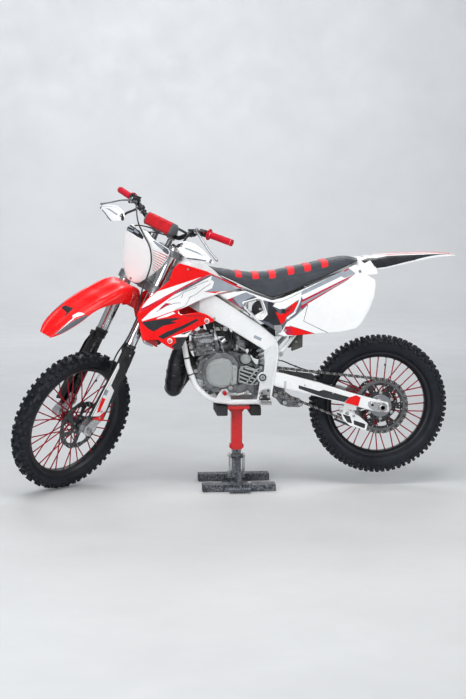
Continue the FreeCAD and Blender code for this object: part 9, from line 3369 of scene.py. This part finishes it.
def q45(X, Y, y=78.0):
    return on_plane(195 + X / 9.22, 240 + Y / 9.22, y)


RIBX = [q45(405, 330)[0], q45(562, 340)[0], q45(718, 325)[0], q45(888, 290)[0], q45(1040, 252)[0], q45(1197, 214)[0]]
print("RIBS at x", [round(v) for v in RIBX])
seat_()


# ------------------------------------------------- CAD nodes shown as made
paint("steering_head", FRAMEG)
paint("frame_crossmembers", FRAMEG)
paint("frame_cradle", FRAMEW)
paint("subframe", FRAMEW)
paint("front_brake_hose", HOSE)


# ------------------------------------------------------------------- stage
FLOORM = material("studio_floor", (0.62, 0.63, 0.64), rough=0.55, var=0.04, vs=1.5, bump=0.05, bs=40, bd=0.5)


def stage():
    vs, fs = [], []
    prof = [(30.0, 0.0), (-7.2, 0.0)]
    for i in range(1, 13):
        a = math.pi / 2 * i / 12
        prof.append((-7.2 - 2.8 * math.sin(a), 2.8 - 2.8 * math.cos(a)))
    prof.append((-10.0, 9.0))
    for y, z in prof:
        vs += [(-30.0, y, z), (30.0, y, z)]
    for i in range(len(prof) - 1):
        fs.append((2 * i, 2 * i + 1, 2 * i + 3, 2 * i + 2))
    me = bpy.data.meshes.new("studio_sweep")
    me.from_pydata(vs, [], fs)
    me.materials.append(FLOORM)
    for p in me.polygons:
        p.use_smooth = True
    ob = bpy.data.objects.new("studio_sweep", me)
    bpy.context.scene.collection.objects.link(ob)
    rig.stage(ob)


stage()
sc = bpy.context.scene
w = bpy.data.worlds.new("studio")
sc.world = w
w.use_nodes = True
wn_ = w.node_tree
bg = wn_.nodes["Background"]
gr = wn_.nodes.new("ShaderNodeTexGradient")
tcw = wn_.nodes.new("ShaderNodeTexCoord")
mpw = wn_.nodes.new("ShaderNodeMapping")
mpw.inputs["Rotation"].default_value = (0, math.radians(90), 0)
rmp = wn_.nodes.new("ShaderNodeValToRGB")
wn_.links.new(tcw.outputs["Generated"], mpw.inputs["Vector"])
wn_.links.new(mpw.outputs["Vector"], gr.inputs["Vector"])
wn_.links.new(gr.outputs["Fac"], rmp.inputs["Fac"])
rmp.color_ramp.elements[0].color = (0.92, 0.95, 1.0, 1)
rmp.color_ramp.elements[1].color = (0.42, 0.44, 0.48, 1)
wn_.links.new(rmp.outputs["Color"], bg.inputs["Color"])
bg.inputs["Strength"].default_value = 0.44


def area(name, at, to, sx, sy, power, col=(1, 1, 1)):
    li = bpy.data.lights.new(name, "AREA")
    li.shape = "RECTANGLE"
    li.size, li.size_y = sx, sy
    li.energy = power
    li.color = col
    ob = bpy.data.objects.new(name, li)
    ob.location = at
    ob.rotation_euler = (Vector(to) - Vector(at)).to_track_quat("-Z", "Y").to_euler()
    sc.collection.objects.link(ob)
    return ob


area("key_top", (0.6, 1.6, 4.6), (0.0, 0.0, 0.5), 4.2, 2.2, 150, (1.0, 0.99, 0.97))
area("front_soft", (3.2, 5.6, 2.6), (0.2, 0.0, 0.6), 2.2, 2.0, 158, (0.97, 0.99, 1.0))
area("side_soft", (-4.2, 3.2, 2.2), (-0.2, 0.0, 0.6), 1.6, 2.2, 66, (1.0, 0.98, 0.95))
area("wall_wash", (0.0, -5.0, 4.6), (0.0, -9.4, 1.4), 9.0, 1.6, 300, (0.98, 0.99, 1.0))
area("back_rim", (0.0, -3.0, 3.6), (0.0, 0.0, 0.7), 4.0, 0.9, 60, (0.95, 0.98, 1.0))

cam = bpy.data.cameras.new("photo_camera")
cam.lens = 80.45
cam.sensor_width = 36.0
cam.sensor_fit = "AUTO"
cam.clip_end = 100.0
co_ = bpy.data.objects.new("photo_camera", cam)
sc.collection.objects.link(co_)
mw = Matrix.Identity(4)
for k in range(3):
    mw[k][0], mw[k][1], mw[k][2], mw[k][3] = CAM_R[k], CAM_U[k], -CAM_F[k], CAM_AT[k] * MM
co_.matrix_world = mw
sc.camera = co_
sc.view_settings.view_transform = "Standard"
sc.view_settings.exposure = 0.0

BOX1 = [list(v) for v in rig.bounds()]
with open("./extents.json", "w") as fh:
    json.dump({"cad": BOX0, "visual": BOX1}, fh)
